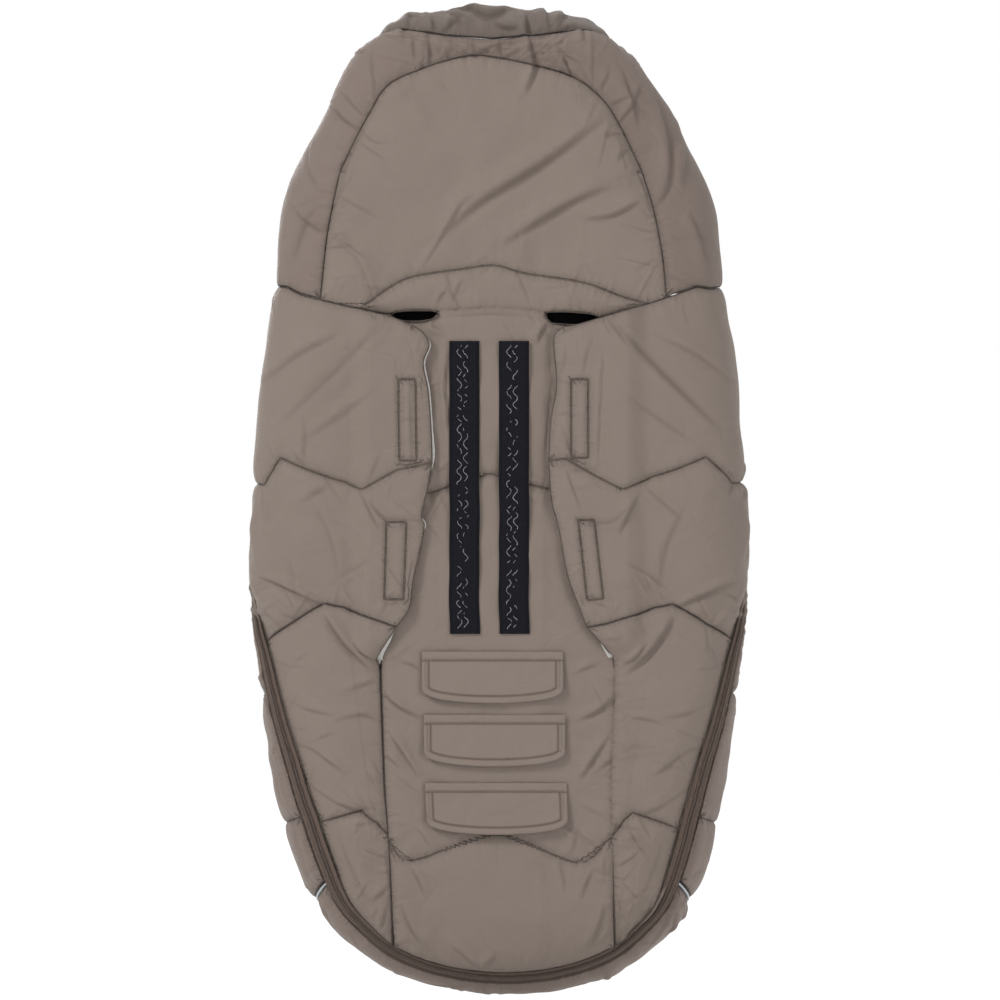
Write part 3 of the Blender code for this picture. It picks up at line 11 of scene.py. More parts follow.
import bpy
import numpy as np
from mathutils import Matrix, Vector


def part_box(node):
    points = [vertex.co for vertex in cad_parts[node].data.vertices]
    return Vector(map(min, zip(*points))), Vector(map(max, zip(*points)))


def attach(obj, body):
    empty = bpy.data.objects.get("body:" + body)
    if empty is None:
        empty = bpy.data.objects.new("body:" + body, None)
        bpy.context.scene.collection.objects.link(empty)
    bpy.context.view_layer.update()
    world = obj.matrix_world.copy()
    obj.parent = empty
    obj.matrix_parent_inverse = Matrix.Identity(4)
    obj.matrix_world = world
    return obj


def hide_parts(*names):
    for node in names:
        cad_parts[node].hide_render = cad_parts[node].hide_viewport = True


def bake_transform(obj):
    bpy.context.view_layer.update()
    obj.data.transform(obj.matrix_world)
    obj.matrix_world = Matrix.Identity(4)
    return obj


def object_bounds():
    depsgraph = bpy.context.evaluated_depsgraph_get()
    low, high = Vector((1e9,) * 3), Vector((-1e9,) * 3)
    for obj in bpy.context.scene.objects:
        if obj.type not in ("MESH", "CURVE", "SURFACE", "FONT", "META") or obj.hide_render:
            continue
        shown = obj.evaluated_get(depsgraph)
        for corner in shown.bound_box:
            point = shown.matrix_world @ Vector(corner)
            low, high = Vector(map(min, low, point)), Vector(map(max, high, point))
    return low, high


bl_info = {
    "name": "Stroller footmuff",
    "version": (1, 0, 0),
    "blender": (4, 5, 0),
    "location": "View3D > Sidebar > Footmuff",
    "description": "Sewn fabric, zips and trim on the frame of a stroller footmuff",
    "category": "Object",
}

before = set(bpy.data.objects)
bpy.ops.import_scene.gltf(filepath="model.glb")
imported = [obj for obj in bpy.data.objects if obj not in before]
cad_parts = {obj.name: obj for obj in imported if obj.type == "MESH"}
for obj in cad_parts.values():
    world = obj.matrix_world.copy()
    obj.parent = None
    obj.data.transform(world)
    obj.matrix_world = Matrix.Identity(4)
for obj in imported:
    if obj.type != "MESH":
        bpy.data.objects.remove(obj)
CAD_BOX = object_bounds()

# The photograph's middle, and the size of its pixels
PHOTO_MIDDLE = (499.0, 486.5)
BACK, FRONT = -1.0, 1.0
SIDES = ("left", "right")
TURN = {"left": -1.0, "right": 1.0}
PIXEL = 0.001

# The bag's base surface, as in the CAD: a pillow with a rounded rim
LOFT = 0.010
BACK_BASE_Y = 0.0105
RIM_DEPTH = 0.0475
RIM_REACH = 0.085
HOOD_RIM_DEPTH = 0.028
HOOD_RIM_REACH = 0.045
HOOD_RIM_BLEND = 0.13
RIM_ROUNDNESS = 2.4
CHART_STEPS = 1200
OUTLINE_STEPS = 48
ZIP_X = 0.138
ZIP_HALF_WIDTH = 0.0070
ZIP_EDGE_GAP = 0.0008
ZIP_LIFT = 0.0018
RIM_X = 0.145
RIM_FOOT_Z = 0.1805
RIM_TUCK_Z = 0.1665
RIM_STRIP_WIDTH = 0.036
CHEST_EDGE = 0.1302
# Least height of a quilt on its base, and the step of central differences on it
LEAST_HEIGHT = 0.0012
DIFFERENCE_STEP = 0.0008
# Lean of the bag in the photograph: height, and shift to the right
SWAY = ((-0.510, 0.0085), (-0.480, 0.0055), (-0.440, 0.0045), (-0.380, 0.0030), (-0.300, 0.0), (0.300, 0.0),
        (0.380, -0.0012), (0.410, -0.0045), (0.440, -0.0070), (0.486, -0.0060))

# Silhouette from the top of the hood to the toe: half width and height
OUTLINE = (
    (0.000, 0.4845), (0.048, 0.4820), (0.092, 0.4740), (0.121, 0.4540), (0.147, 0.4265),
    (0.170, 0.3865), (0.190, 0.3465), (0.209, 0.3065), (0.220, 0.2665), (0.228, 0.2015),
    (0.238, 0.1265), (0.246, 0.0465), (0.2515, -0.0335), (0.2535, -0.0935), (0.2445, -0.1735),
    (0.2350, -0.2535), (0.2220, -0.3335), (0.2060, -0.3865), (0.1850, -0.4280), (0.1570, -0.4590),
    (0.1180, -0.4870), (0.0650, -0.5050), (0.000, -0.5120),
)
# The zip below the fold: height of the silhouette and distance in from it, plus on the front
ZIP_UPPER_Z = (0.150, 0.120, 0.090, 0.060, 0.030)
ZIP_SIDE = (
    (0.017, 0.0920), (0.005, 0.0800), (-0.008, 0.0660), (-0.030, 0.0440), (-0.052, 0.0240),
    (-0.076, 0.0080), (-0.100, 0.0005), (-0.128, -0.0015), (-0.1465, -0.0030), (-0.1605, -0.0045),
    (-0.1745, -0.0060), (-0.205, -0.0090), (-0.240, -0.0130), (-0.275, -0.0180), (-0.305, -0.0215),
    (-0.322, -0.0230), (-0.3355, -0.0245), (-0.349, -0.0250), (-0.365, -0.0250), (-0.385, -0.0245),
    (-0.4065, -0.0230), (-0.425, -0.0210), (-0.442, -0.0190), (-0.459, -0.0175), (-0.472, -0.0160),
)
ZIP_TOE = ((0.118, -0.0145), (0.098, -0.0138), (0.076, -0.0132), (0.058, -0.0128), (0.050, -0.0126),
           (0.025, -0.0125), (0.000, -0.0125))
ZIP_STEPS = 12
SEAM_A_ROW, SEAM_B_ROW, SEAM_C_ROW, PIPING_ROW, CORNER_ROW = 6, 14, 21, 25, 30

# Rim angle in degrees of the hood's edge seam at a height
RIM_SEAM = (
    (0.4845, -54.0), (0.4820, -52.0), (0.4740, -38.0), (0.4540, -8.0), (0.4265, 16.0),
    (0.3865, 36.0), (0.3465, 52.0), (0.3065, 64.0), (0.2665, 76.0), (0.2015, 88.0),
)
# The same seam as it is sewn in the photograph, lower on the back at the top of the hood
RIM_SEAM_SEEN = (
    (0.4845, -73.0), (0.4820, -65.0), (0.4740, -45.0), (0.4540, -10.0), (0.4265, 16.0),
    (0.3865, 36.0), (0.3465, 52.0), (0.3065, 64.0), (0.2665, 76.0), (0.2015, 88.0),
)
YOKE_RIM_Z = 0.2015
CAP_SEAM = ((-0.1830, -0.4240), (-0.1600, -0.4130), (-0.1310, -0.4050), (-0.0900, -0.3950),
            (-0.0450, -0.3890), (0.0, -0.3870))


def plan(pixels):
    """X and Z in metres of places on the photograph: x = px - 499, z = 486.5 - py, a millimetre each."""
    return (np.asarray(pixels, float) - PHOTO_MIDDLE) * (PIXEL, -PIXEL)


def arc_lengths(points):
    """Running length along a chain of points."""
    steps = np.linalg.norm(np.diff(points, axis=0), axis=1)
    return np.concatenate([[0.0], np.cumsum(steps)])


def unit(vectors):
    """Vectors divided by their lengths."""
    return vectors / np.maximum(np.linalg.norm(vectors, axis=-1), 1e-12)[..., None]


def read_at(places, run, values):
    """Rows of values given along a run, read between them at places on it."""
    return np.stack([np.interp(places, run, values[:, k]) for k in range(values.shape[1])], axis=1)


def both_sides(line):
    """A line that ends on the middle, carried on mirrored to the other side."""
    return np.vstack([line, line[-2::-1] * (-1.0, 1.0)])


def smooth(points, steps, before=None, after=None):
    """Catmull-Rom curve through points, with steps points on each span.

    p = (2 p1 + (p2 - p0) t + (2 p0 - 5 p1 + 4 p2 - p3) t^2 + (3 p1 - p0 - 3 p2 + p3) t^3) / 2
    """
    points = np.asarray(points, float)
    before = 2.0 * points[0] - points[1] if before is None else before
    after = 2.0 * points[-1] - points[-2] if after is None else after
    chain = np.vstack([before, points, after])
    share = np.linspace(0.0, 1.0, steps, endpoint=False)[:, None]
    spans = []
    for p0, p1, p2, p3 in zip(chain[:-3], chain[1:-2], chain[2:-1], chain[3:]):
        spans.append(0.5 * (2 * p1 + (p2 - p0) * share + (2 * p0 - 5 * p1 + 4 * p2 - p3) * share ** 2
                            + (3 * p1 - p0 - 3 * p2 + p3) * share ** 3))
    spans.append(points[-1:])
    return np.vstack(spans)


def spread(points, count):
    """A chain of points read again at even steps of its length, or at given shares of it."""
    points = np.asarray(points, float)
    run = arc_lengths(points)
    shares = np.linspace(0.0, 1.0, count) if np.isscalar(count) else np.asarray(count)
    return read_at(shares * run[-1], run, points)


def outward(points):
    """Unit normals of a chain in plan: (dz, -dx) over its length."""
    slope = np.gradient(points, axis=0)
    return unit(np.stack([slope[:, 1], -slope[:, 0]], axis=1))


def half_outline():
    """Left half of the base outline, drawn in by the loft: places, outward normals and arc lengths."""
    points = np.array(OUTLINE)
    outer = smooth(points, OUTLINE_STEPS, points[1] * (-1, 1), points[-2] * (-1, 1)) * (-1.0, 1.0)
    base = outer - outward(outer) * LOFT
    place = spread(base, CHART_STEPS)
    normal = outward(place)
    normal[0] = (0.0, 1.0)
    normal[-1] = (0.0, -1.0)
    return place, normal, np.linspace(0.0, arc_lengths(base)[-1], CHART_STEPS)


PLACE, NORMAL, STATION = half_outline()


def rim_sizes(station):
    """Depth and reach of the rounded rim at an arc length: shallower round the top of the hood."""
    height = np.interp(station, STATION, PLACE[:, 1])
    share = np.clip((PLACE[0, 1] - height) / HOOD_RIM_BLEND, 0.0, 1.0)
    share = share * share * (3.0 - 2.0 * share)
    depth = HOOD_RIM_DEPTH + (RIM_DEPTH - HOOD_RIM_DEPTH) * share
    return depth, HOOD_RIM_REACH + (RIM_REACH - HOOD_RIM_REACH) * share


def rim_length(depth, reach):
    """Length of a quarter of the rim: pi / 2 times the mean radius."""
    return 0.5 * math.pi * np.sqrt(0.5 * (depth ** 2 + reach ** 2))


def chart_point(chart):
    """Base places of (side, station, over): |inward / reach - 1|^n + |rise / depth|^n = 1 over the rim."""
    chart = np.asarray(chart, float)
    side, station, over = chart[..., 0], chart[..., 1], chart[..., 2]
    depth, reach = rim_sizes(station)
    quarter = rim_length(depth, reach)
    angle = np.clip(np.abs(over) / quarter, 0.0, 1.0) * 0.5 * math.pi
    power = 2.0 / RIM_ROUNDNESS
    inward = reach * (1.0 - np.cos(angle) ** power) + np.maximum(np.abs(over) - quarter, 0.0)
    rise = depth * np.sin(angle) ** power
    x = np.interp(station, STATION, PLACE[:, 0]) - inward * np.interp(station, STATION, NORMAL[:, 0])
    z = np.interp(station, STATION, PLACE[:, 1]) - inward * np.interp(station, STATION, NORMAL[:, 1])
    return np.stack([side * x, BACK_BASE_Y + depth + np.sign(over) * rise, z], axis=-1)


def nearest_station(x, z):
    """Closest place of the outline to plan points: its arc length and the distance to it."""
    flat = np.stack([-np.abs(np.ravel(x)), np.ravel(z)], axis=1)
    index = np.empty(len(flat), int)
    for first in range(0, len(flat), 4000):
        gap = flat[first:first + 4000, None, :] - PLACE
        index[first:first + 4000] = np.argmin(np.einsum("ijk,ijk->ij", gap, gap), axis=1)
    index = np.clip(index, 1, CHART_STEPS - 2)
    best = np.full(len(flat), np.inf)
    station = np.zeros(len(flat))
    for first in (index - 1, index):
        run = PLACE[first + 1] - PLACE[first]
        share = np.sum((flat - PLACE[first]) * run, axis=1) / np.sum(run * run, axis=1)
        share = np.clip(share, 0.0, 1.0)
        away = np.linalg.norm(flat - PLACE[first] - run * share[:, None], axis=1)
        station = np.where(away < best, STATION[first] + share * STATION[1], station)
        best = np.minimum(best, away)
    return station.reshape(np.shape(x)), best.reshape(np.shape(x))


def inward_to_over(station, inward):
    """Distance over the rim for a plan distance in from the outline, with its sign kept."""
    depth, reach = rim_sizes(station)
    size = np.abs(inward)
    angle = np.arccos(np.clip(1.0 - size / reach, 0.0, 1.0) ** (0.5 * RIM_ROUNDNESS))
    over = angle / (0.5 * math.pi) * rim_length(depth, reach) + np.maximum(size - reach, 0.0)
    return np.sign(inward) * over


def plan_chart(points, face):
    """Chart values of plan points on the back, with face -1, or on the front, with face 1."""
    points = np.atleast_2d(points)
    station, inward = nearest_station(points[:, 0], points[:, 1])
    side = np.where(points[:, 0] > 0.0, -1.0, 1.0)
    return np.stack([side, station, face * inward_to_over(station, inward)], axis=-1)


def plan_point(points, face):
    """Base places over plan points: the height over the rim follows the nearest outline."""
    points = np.asarray(points, float)
    station, inward = nearest_station(points[..., 0], points[..., 1])
    depth, reach = rim_sizes(station)
    cosine = np.clip(1.0 - inward / reach, 0.0, 1.0) ** (0.5 * RIM_ROUNDNESS)
    rise = depth * np.sqrt(1.0 - cosine ** 2) ** (2.0 / RIM_ROUNDNESS)
    return np.stack([points[..., 0], BACK_BASE_Y + depth + face * rise, points[..., 1]], axis=-1)


def station_at(height):
    """Arc length where the silhouette, a loft outside the base outline, stands at a height."""
    silhouette = PLACE + NORMAL * LOFT
    order = np.argsort(silhouette[:, 1])
    return np.interp(np.asarray(height, float), silhouette[order, 1], STATION[order])


def station_beside(x):
    """Arc length where the toe of the outline is a distance from the middle."""
    toe = slice(CHART_STEPS * 3 // 4, CHART_STEPS)
    return np.interp(-np.asarray(x), PLACE[toe, 0], STATION[toe])


def mirrored(chart):
    """The same chart values on the other side of the bag."""
    return np.asarray(chart) * (-1.0, 1.0, 1.0)


def zip_path(offset):
    """Left half of a line beside the zip, from the chest to the toe's middle, in chart values.

    ZIP_STEPS steps lie between two rows of the tables. The offset runs across the zip, plus towards
    the cover.
    """
    upper = plan_chart(np.stack([np.full(len(ZIP_UPPER_Z), offset - ZIP_X), ZIP_UPPER_Z], axis=1), FRONT)
    side, toe = np.array(ZIP_SIDE), np.array(ZIP_TOE)
    station = np.concatenate([station_at(side[:, 0]), station_beside(toe[:, 0])])
    over = inward_to_over(station, np.concatenate([side[:, 1], toe[:, 1]]))
    slope = np.gradient(np.concatenate([upper[:, 2], over]), np.concatenate([upper[:, 1], station]))
    stretch = np.sqrt(1.0 + slope[len(upper):] ** 2)
    lower = np.stack([np.ones(len(station)), station, over + offset * stretch], axis=1)
    return smooth(np.vstack([upper, lower]), ZIP_STEPS)


def sway(places):
    """The bag's slight lean in the photograph: x + shift(z), with the shift read between heights."""
    heights, shifts = np.array(SWAY).T
    moved = np.array(places, float)
    moved[..., 0] += np.interp(moved[..., 2], heights, shifts)
    return moved


def wave(run, periods, seed):
    """Uneven ripple of a length: mean of sin(2 pi s / period + phase), swelled by a slower one."""
    rng = np.random.default_rng(seed)
    total = np.zeros_like(run)
    for period in periods:
        total += np.sin(2.0 * math.pi * run / period + rng.uniform(0.0, 6.28))
    swell = 0.6 + 0.4 * np.sin(2.0 * math.pi * run / (5.3 * max(periods)) + rng.uniform(0.0, 6.28))
    return total / len(periods) * swell


def undulation(places, size, seed, count=14):
    """Soft unevenness in space: the sum of count plane waves of about one length, each sin(k.p + phase)."""
    rng = np.random.default_rng(seed)
    total = np.zeros(places.shape[:-1])
    for _ in range(count):
        way = rng.normal(size=3)
        way *= 2.0 * math.pi / (np.linalg.norm(way) * size * rng.uniform(0.7, 1.6))
        total += np.sin(places @ way + rng.uniform(0.0, 6.28))
    return total / math.sqrt(count)


def nearest_line(places, lines, spacing=0.003):
    """Distance from each place to the closest of some chains, and the running length there.

    The chains are read again at even steps. The step whose middle is nearest is found first, and then
    the closest point on it and on its two neighbours.
    """
    lows, steps, begins = [], [], []
    start = 0.0
    for line in lines:
        length = arc_lengths(np.asarray(line, float))[-1]
        line = spread(line, int(length / spacing) + 3)
        lows.append(line[:-1])
        steps.append(np.diff(line, axis=0))
        begins.append(start + arc_lengths(line)[:-1])
        start += length + 0.1
    low, step, begin = np.concatenate(lows), np.concatenate(steps), np.concatenate(begins)
    size = np.maximum(np.linalg.norm(step, axis=1), 1e-9)
    middle = low + 0.5 * step
    square = np.sum(middle ** 2, axis=1)
    flat = places.reshape(-1, 3)
    index = np.empty(len(flat), int)
    for first in range(0, len(flat), 8000):
        part = slice(first, first + 8000)
        index[part] = np.argmin(square - 2.0 * flat[part] @ middle.T, axis=1)
    best = np.full(len(flat), np.inf)
    run = np.zeros(len(flat))
    for shift in (-1, 0, 1):
        near = np.clip(index + shift, 0, len(low) - 1)
        share = np.clip(np.sum((flat - low[near]) * step[near], axis=1) / size[near] ** 2, 0.0, 1.0)
        away = np.linalg.norm(flat - low[near] - share[:, None] * step[near], axis=1)
        run = np.where(away < best, begin[near] + share * size[near], run)
        best = np.minimum(best, away)
    return best.reshape(places.shape[:-1]), run.reshape(places.shape[:-1])


def puff(away, edge, quick, slow):
    """Loft share at a distance from a seam: edge + (1 - edge) (0.62 round(d / quick) + 0.38 (1 - e^(-d / slow)))."""
    share = np.clip(away / quick, 0.0, 1.0)
    quarter = np.sqrt(1.0 - (1.0 - share) ** 2) ** 1.1
    return edge + (1.0 - edge) * (0.62 * quarter + 0.38 * (1.0 - np.exp(-away / slow)))


def chart_frame(chart):
    """Base places and outward unit normals of chart values, by central differences."""
    chart = np.asarray(chart, float)
    place = chart_point(chart)
    step = DIFFERENCE_STEP
    along = chart_point(chart + (0.0, step, 0.0)) - chart_point(chart - (0.0, step, 0.0))
    over = chart_point(chart + (0.0, 0.0, step)) - chart_point(chart - (0.0, 0.0, step))
    normal = unit(np.cross(along, over))
    depth, reach = rim_sizes(chart[..., 1])
    turn = np.clip(np.abs(chart[..., 2]) / rim_length(depth, reach), 0.0, 1.0)
    away = np.stack([chart[..., 0] * np.interp(chart[..., 1], STATION, NORMAL[:, 0]) * (1.0 - turn),
                     np.sign(chart[..., 2]) * turn,
                     np.interp(chart[..., 1], STATION, NORMAL[:, 1]) * (1.0 - turn)], axis=-1)
    sign = np.sign(np.sum(normal * away, axis=-1))
    return place, normal * np.where(sign == 0.0, 1.0, sign)[..., None]


def plan_frame(points, face):
    """Base places and outward unit normals over plan points, by central differences."""
    points = np.asarray(points, float)
    place = plan_point(points, face)
    step = DIFFERENCE_STEP
    across = plan_point(points + (step, 0.0), face) - plan_point(points - (step, 0.0), face)
    up = plan_point(points + (0.0, step), face) - plan_point(points - (0.0, step), face)
    normal = unit(np.cross(across, up))
    sign = np.sign(normal[..., 1]) * face
    return place, normal * np.where(sign == 0.0, 1.0, sign)[..., None]


def patch(lines, inner, outer, columns, rows):
    """A grid between sewn lines: each strip is (1 - v) low(u) + v high(u), its ends moved onto the edges.

    The lines run from the inner edge to the outer one. inner and outer hold one chain for each strip.
    """
    share = np.linspace(0.0, 1.0, columns)[:, None]
    read = [spread(line, columns) for line in lines]
    grid = []
    for low, high, inside, outside, count in zip(read[:-1], read[1:], inner, outer, rows):
        inside, outside = spread(inside, count), spread(outside, count)
        for row, blend in enumerate(np.linspace(0.0, 1.0, count)):
            if grid and row == 0:
                continue
            line = low * (1.0 - blend) + high * blend
            line = line + (outside[row] - line[-1]) * share ** 2 + (inside[row] - line[0]) * (1.0 - share) ** 2
            grid.append(line)
    return np.array(grid)


def rectangle(low, high, columns, rows):
    """A grid between two sewn lines only, with straight sides."""
    sides = [np.array([low[0], high[0]]), np.array([low[-1], high[-1]])]
    return patch([low, high], [sides[0]], [sides[1]], columns, [rows])


def border(places):
    """The four sides of a grid of places as chains, every third place."""
    sides = [places[0], places[-1], places[:, 0], places[:, -1]]
    return [np.vstack([side[::3], side[-1:]]) for side in sides]


def shell_mesh(name, outer, inner, groove=None, keep=None, seam=None):
    """A closed cloth: an outer and an inner grid, joined by walls along the border and round holes.

    keep marks the cells that stay. The cloth's own running lengths go in the map named cloth, the painted shade of
    its creases, seams and dips in the attribute named groove, and the distance from a seam and the place along it in
    the ones named away and along.
    """
    rows, columns = outer.shape[:2]
    keep = np.ones((rows - 1, columns - 1), bool) if keep is None else keep
    number = np.arange(rows * columns).reshape(rows, columns)
    quads = np.stack([number[:-1, :-1], number[1:, :-1], number[1:, 1:], number[:-1, 1:]], axis=-1)[keep]
    other = quads[:, ::-1] + rows * columns
    edges = np.concatenate([quads[:, [k, (k + 1) % 4]] for k in range(4)])
    key = edges[:, 0] * rows * columns + edges[:, 1]
    back = edges[:, 1] * rows * columns + edges[:, 0]
    rim = edges[~np.isin(key, back)]
    walls = np.stack([rim[:, 1], rim[:, 0], rim[:, 0] + rows * columns, rim[:, 1] + rows * columns], axis=1)
    faces = np.concatenate([quads, other, walls])
    middle = len(quads) // 2
    points = np.concatenate([outer.reshape(-1, 3), inner.reshape(-1, 3)])
    corner = points[quads[middle]]
    facing = np.cross(corner[1] - corner[0], corner[3] - corner[0])
    lift = points[quads[middle][0]] - points[quads[middle][0] + rows * columns]
    if facing @ lift < 0.0:
        faces = faces[:, ::-1]
    used = np.unique(faces)
    renumber = np.zeros(len(points), int)
    renumber[used] = np.arange(len(used))
    faces = renumber[faces]
    mesh = bpy.data.meshes.new(name)
    mesh.vertices.add(len(used))
    mesh.vertices.foreach_set("co", sway(points[used]).reshape(-1).astype(np.float32))
    mesh.loops.add(faces.size)
    mesh.loops.foreach_set("vertex_index", faces.reshape(-1).astype(np.int32))
    mesh.polygons.add(len(faces))
    mesh.polygons.foreach_set("loop_start", np.arange(0, faces.size, 4, dtype=np.int32))
    run = np.cumsum(np.linalg.norm(np.diff(outer, axis=1, prepend=outer[:, :1]), axis=2), axis=1)
    down = np.cumsum(np.linalg.norm(np.diff(outer, axis=0, prepend=outer[:1]), axis=2), axis=0)
    flat = np.stack([run, down], axis=-1).reshape(-1, 2)
    flat = np.concatenate([flat, flat])[used]
    layer = mesh.uv_layers.new(name="cloth")
    layer.uv.foreach_set("vector", flat[faces.reshape(-1)].reshape(-1).astype(np.float32))
    nothing = np.zeros(outer.shape[:2])
    away, along = (nothing + 1.0, nothing) if seam is None else seam
    # The groove values are painted shade, which the finishes mix into the base colour; the inner grid gets none.
    for word, value in (("groove", nothing if groove is None else groove), ("away", away), ("along", along)):
        value = np.concatenate([value.reshape(-1), value.reshape(-1) if word != "groove" else nothing.reshape(-1)])
        mesh.attributes.new(word, "FLOAT", "POINT").data.foreach_set("value", value[used].astype(np.float32))
    mesh.update(calc_edges=True)
    mesh.validate()
    mesh.shade_smooth()
    return mesh


def add_piece(name, mesh, finish, body=None, nodes=()):
    """Put a mesh into the scene with its material, on its body, in place of its CAD nodes."""
    piece = bpy.data.objects.new(name, mesh)
    bpy.context.scene.collection.objects.link(piece)
    piece.data.materials.append(finish)
    if nodes:
        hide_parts(*nodes)
    if body is not None:
        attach(piece, body)
    return piece


def cut_sheet(piece):
    """Give back the piece as it is.
    """
    return piece


# Places on the photograph, in its pixels: the seams of the head panel and of the yokes
HEM = ((322, 301.6), (365, 311.6), (388, 315.6), (397, 313.6), (415, 312), (433, 312.4), (440, 313.4), (495, 310.4),
       (543, 314.2), (550, 313.6), (575, 313.8), (590, 315.4), (603, 318.4), (646, 306), (665, 299.6))
HEAD_SEAM = ((368, 304), (390, 288), (414, 277), (460, 270), (495, 266), (525, 274), (583, 283), (621, 297),
             (646, 304))
ARCH_LEFT = ((322, 300), (330, 230), (343, 172))
ARCH_TOP = ((343, 172), (366, 126), (391, 88), (430, 69), (468, 58), (491, 57), (533, 65), (575, 77), (602, 99),
            (621, 130), (640, 172))
ARCH_RIGHT = ((665, 298), (661, 256), (652, 210), (640, 172))
YOKE = {"left": ((322, 300), (303, 295), (271, 285)), "right": ((665, 298), (694, 287), (729, 286))}
# The harness flaps: their top, their free edge and their lining's edge, each from the top down
FLAP_TOP = {"left": ((414, 326), (405, 322.5), (391, 317), (365, 310.4)),
            "right": ((563, 327), (576, 325), (600, 318), (646, 304.3))}
FREE_EDGE = {
    "left": (((414, 326), (424, 333), (430, 346), (424, 364), (429, 391), (432, 431), (433, 463)),
             ((433, 463), (427, 495), (422, 517), (425, 528), (414, 581), (410, 608), (397, 627))),
    "right": (((563, 327), (555, 334), (553, 346), (556, 386), (550, 421), (548, 461)),
              ((548, 461), (551, 501), (558, 528), (567, 576), (579, 608), (586, 627))),
}
LINING_EDGE = {
    "left": ((413, 327), (422, 334), (431.2, 345), (425.6, 364), (430.4, 391), (433.4, 431), (435.0, 455), (432, 470),
             (423, 495), (421, 514), (426.4, 525), (419, 540), (407, 575), (411.6, 592), (410, 606), (397, 625),
             (391, 640), (383.5, 655), (383, 664)),
    "right": ((564, 329), (559, 335), (557, 346), (560, 386), (554, 421), (552, 445), (553, 461), (556, 485),
              (559, 505), (563, 528), (573, 576), (585, 600), (592, 620), (599, 640), (605, 652), (612, 663)),
}
# Cross seams of the sides from the flaps outwards, the long seams below the flaps, and the middle's cross seams
SEAM_A = {"left": ((433, 463), (398, 470), (362, 490), (320, 474), (283, 458), (251, 484)),
          "right": ((548, 461), (565, 459), (595, 476), (622, 490), (662, 474), (704, 457), (748, 482))}
SEAM_B = {"left": ((397, 627), (360, 614), (325, 603), (295, 622), (266, 647)),
          "right": ((586, 627), (604, 624), (640, 613), (672, 604), (705, 624), (734, 646))}
SEAM_C = {"left": ((387, 835), (361, 810), (319, 822)), "right": ((609, 837), (631, 812), (682, 831))}
LONG_SEAM = {
    "left": (((397, 627), (377, 659), (380, 669), (384, 772), (387, 835)), ((387, 835), (388, 880), (389, 949))),
    "right": (((586, 627), (607, 651), (613, 669), (609, 791), (609, 837)), ((609, 837), (609, 880), (609, 949))),
}
CENTRE_SEAM_A = ((380, 505), (428, 493), (452, 486), (489, 474), (528, 484), (548, 489), (618, 505))
CENTRE_SEAM_C = ((387, 841), (410, 860), (495, 833), (573, 862), (609, 837))
# The stitched rectangles over the hook pads
STITCH_BOXES = {
    "left": (((399, 380), (416, 380), (417, 461), (400, 461)), ((387, 522), (407, 522), (404, 599), (385, 599))),
    "right": (((571, 380), (588, 380), (588, 458), (571, 458)), ((578, 520), (594, 520), (603, 598), (587, 600))),
}
# Creases: chain, width and height in metres; the steep side, where the crease's shade is painted, is on the right of
# the chain's way
SIDE_FOLDS = (
    (((391, 322), (362, 352), (318, 398), (286, 430)), 0.011, 0.0034),
    (((394, 318), (384, 330), (371, 347)), 0.005, 0.0024),
    (((300, 440), (340, 412), (376, 384)), 0.008, 0.0018),
    (((362, 491), (371, 508), (382, 531)), 0.0050, 0.0042),
    (((552.6, 345), (553.6, 366), (555.4, 384), (553.4, 398), (551.6, 420), (549.6, 440), (548.6, 461)),
     0.0034, 0.0036),
    (((434, 466), (428, 484), (419, 506)), 0.0036, 0.0026),
    (((397.6, 368), (399.4, 392), (401, 424), (402.2, 460)), 0.0030, 0.0026),
    (((589.6, 372), (589, 400), (588.4, 430), (587.6, 462)), 0.0030, 0.0026),
    (((556, 379), (572, 382), (588, 381)), 0.0030, 0.0016),
    (((557, 463), (566, 457), (586, 459)), 0.0034, 0.0022),
    (((551, 459), (559, 466), (567, 461)), 0.0034, 0.0020),
    (((398, 461), (412, 465), (432, 466)), 0.0036, 0.0020),
    (((425, 523), (404, 522), (384, 520), (366, 503)), 0.0050, 0.0036),
    (((436, 468), (416, 464), (398, 470)), 0.0034, 0.0016),
    (((408, 334), (414, 352), (418, 376)), 0.0045, 0.0018),
    (((397, 352), (398, 368), (401, 384)), 0.0034, 0.0018),
    (((325, 608), (346, 641), (373, 668)), 0.0066, 0.0050),
    (((352, 637), (364, 652), (377, 661)), 0.0045, 0.0034),
    (((264, 573), (297, 589), (325, 603)), 0.0052, 0.0036),
    (((257, 614), (273, 612), (285, 625)), 0.0042, 0.0024),
    (((293, 740), (316, 747), (346, 770)), 0.0052, 0.0034),
    (((303, 776), (337, 798), (360, 810)), 0.0060, 0.0026),
    (((310, 792), (324, 806)), 0.0042, 0.0022),
    (((289, 696), (312, 707), (338, 713)), 0.0052, 0.0018),
    (((334, 719), (352, 714), (372, 711)), 0.0045, 0.0016),
    (((342, 832), (352, 862), (371, 900)), 0.0080, 0.0018),
    (((267, 653), (284, 661), (304, 665)), 0.0042, 0.0020),
    (((262, 500), (258, 530), (262, 560)), 0.0075, 0.0020),
    (((318, 500), (336, 540), (344, 585)), 0.0090, 0.0018),
    (((270, 380), (300, 352), (340, 330)), 0.0080, 0.0022),
    (((378, 560), (352, 574), (330, 592)), 0.0060, 0.0020),
    (((386, 604), (398, 600), (410, 597)), 0.0034, 0.0020),
    (((383, 690), (401, 705), (421, 715)), 0.0055, 0.0034),
    (((391, 731), (404, 750), (421, 776)), 0.0052, 0.0032),
    (((386, 752), (402, 766)), 0.0042, 0.0022),
    (((399, 659), (411, 662), (424, 669)), 0.0042, 0.0022),
    (((410, 864), (418, 880), (424, 896)), 0.0050, 0.0024),
    (((400, 900), (408, 922), (422, 944)), 0.0060, 0.0026),
)
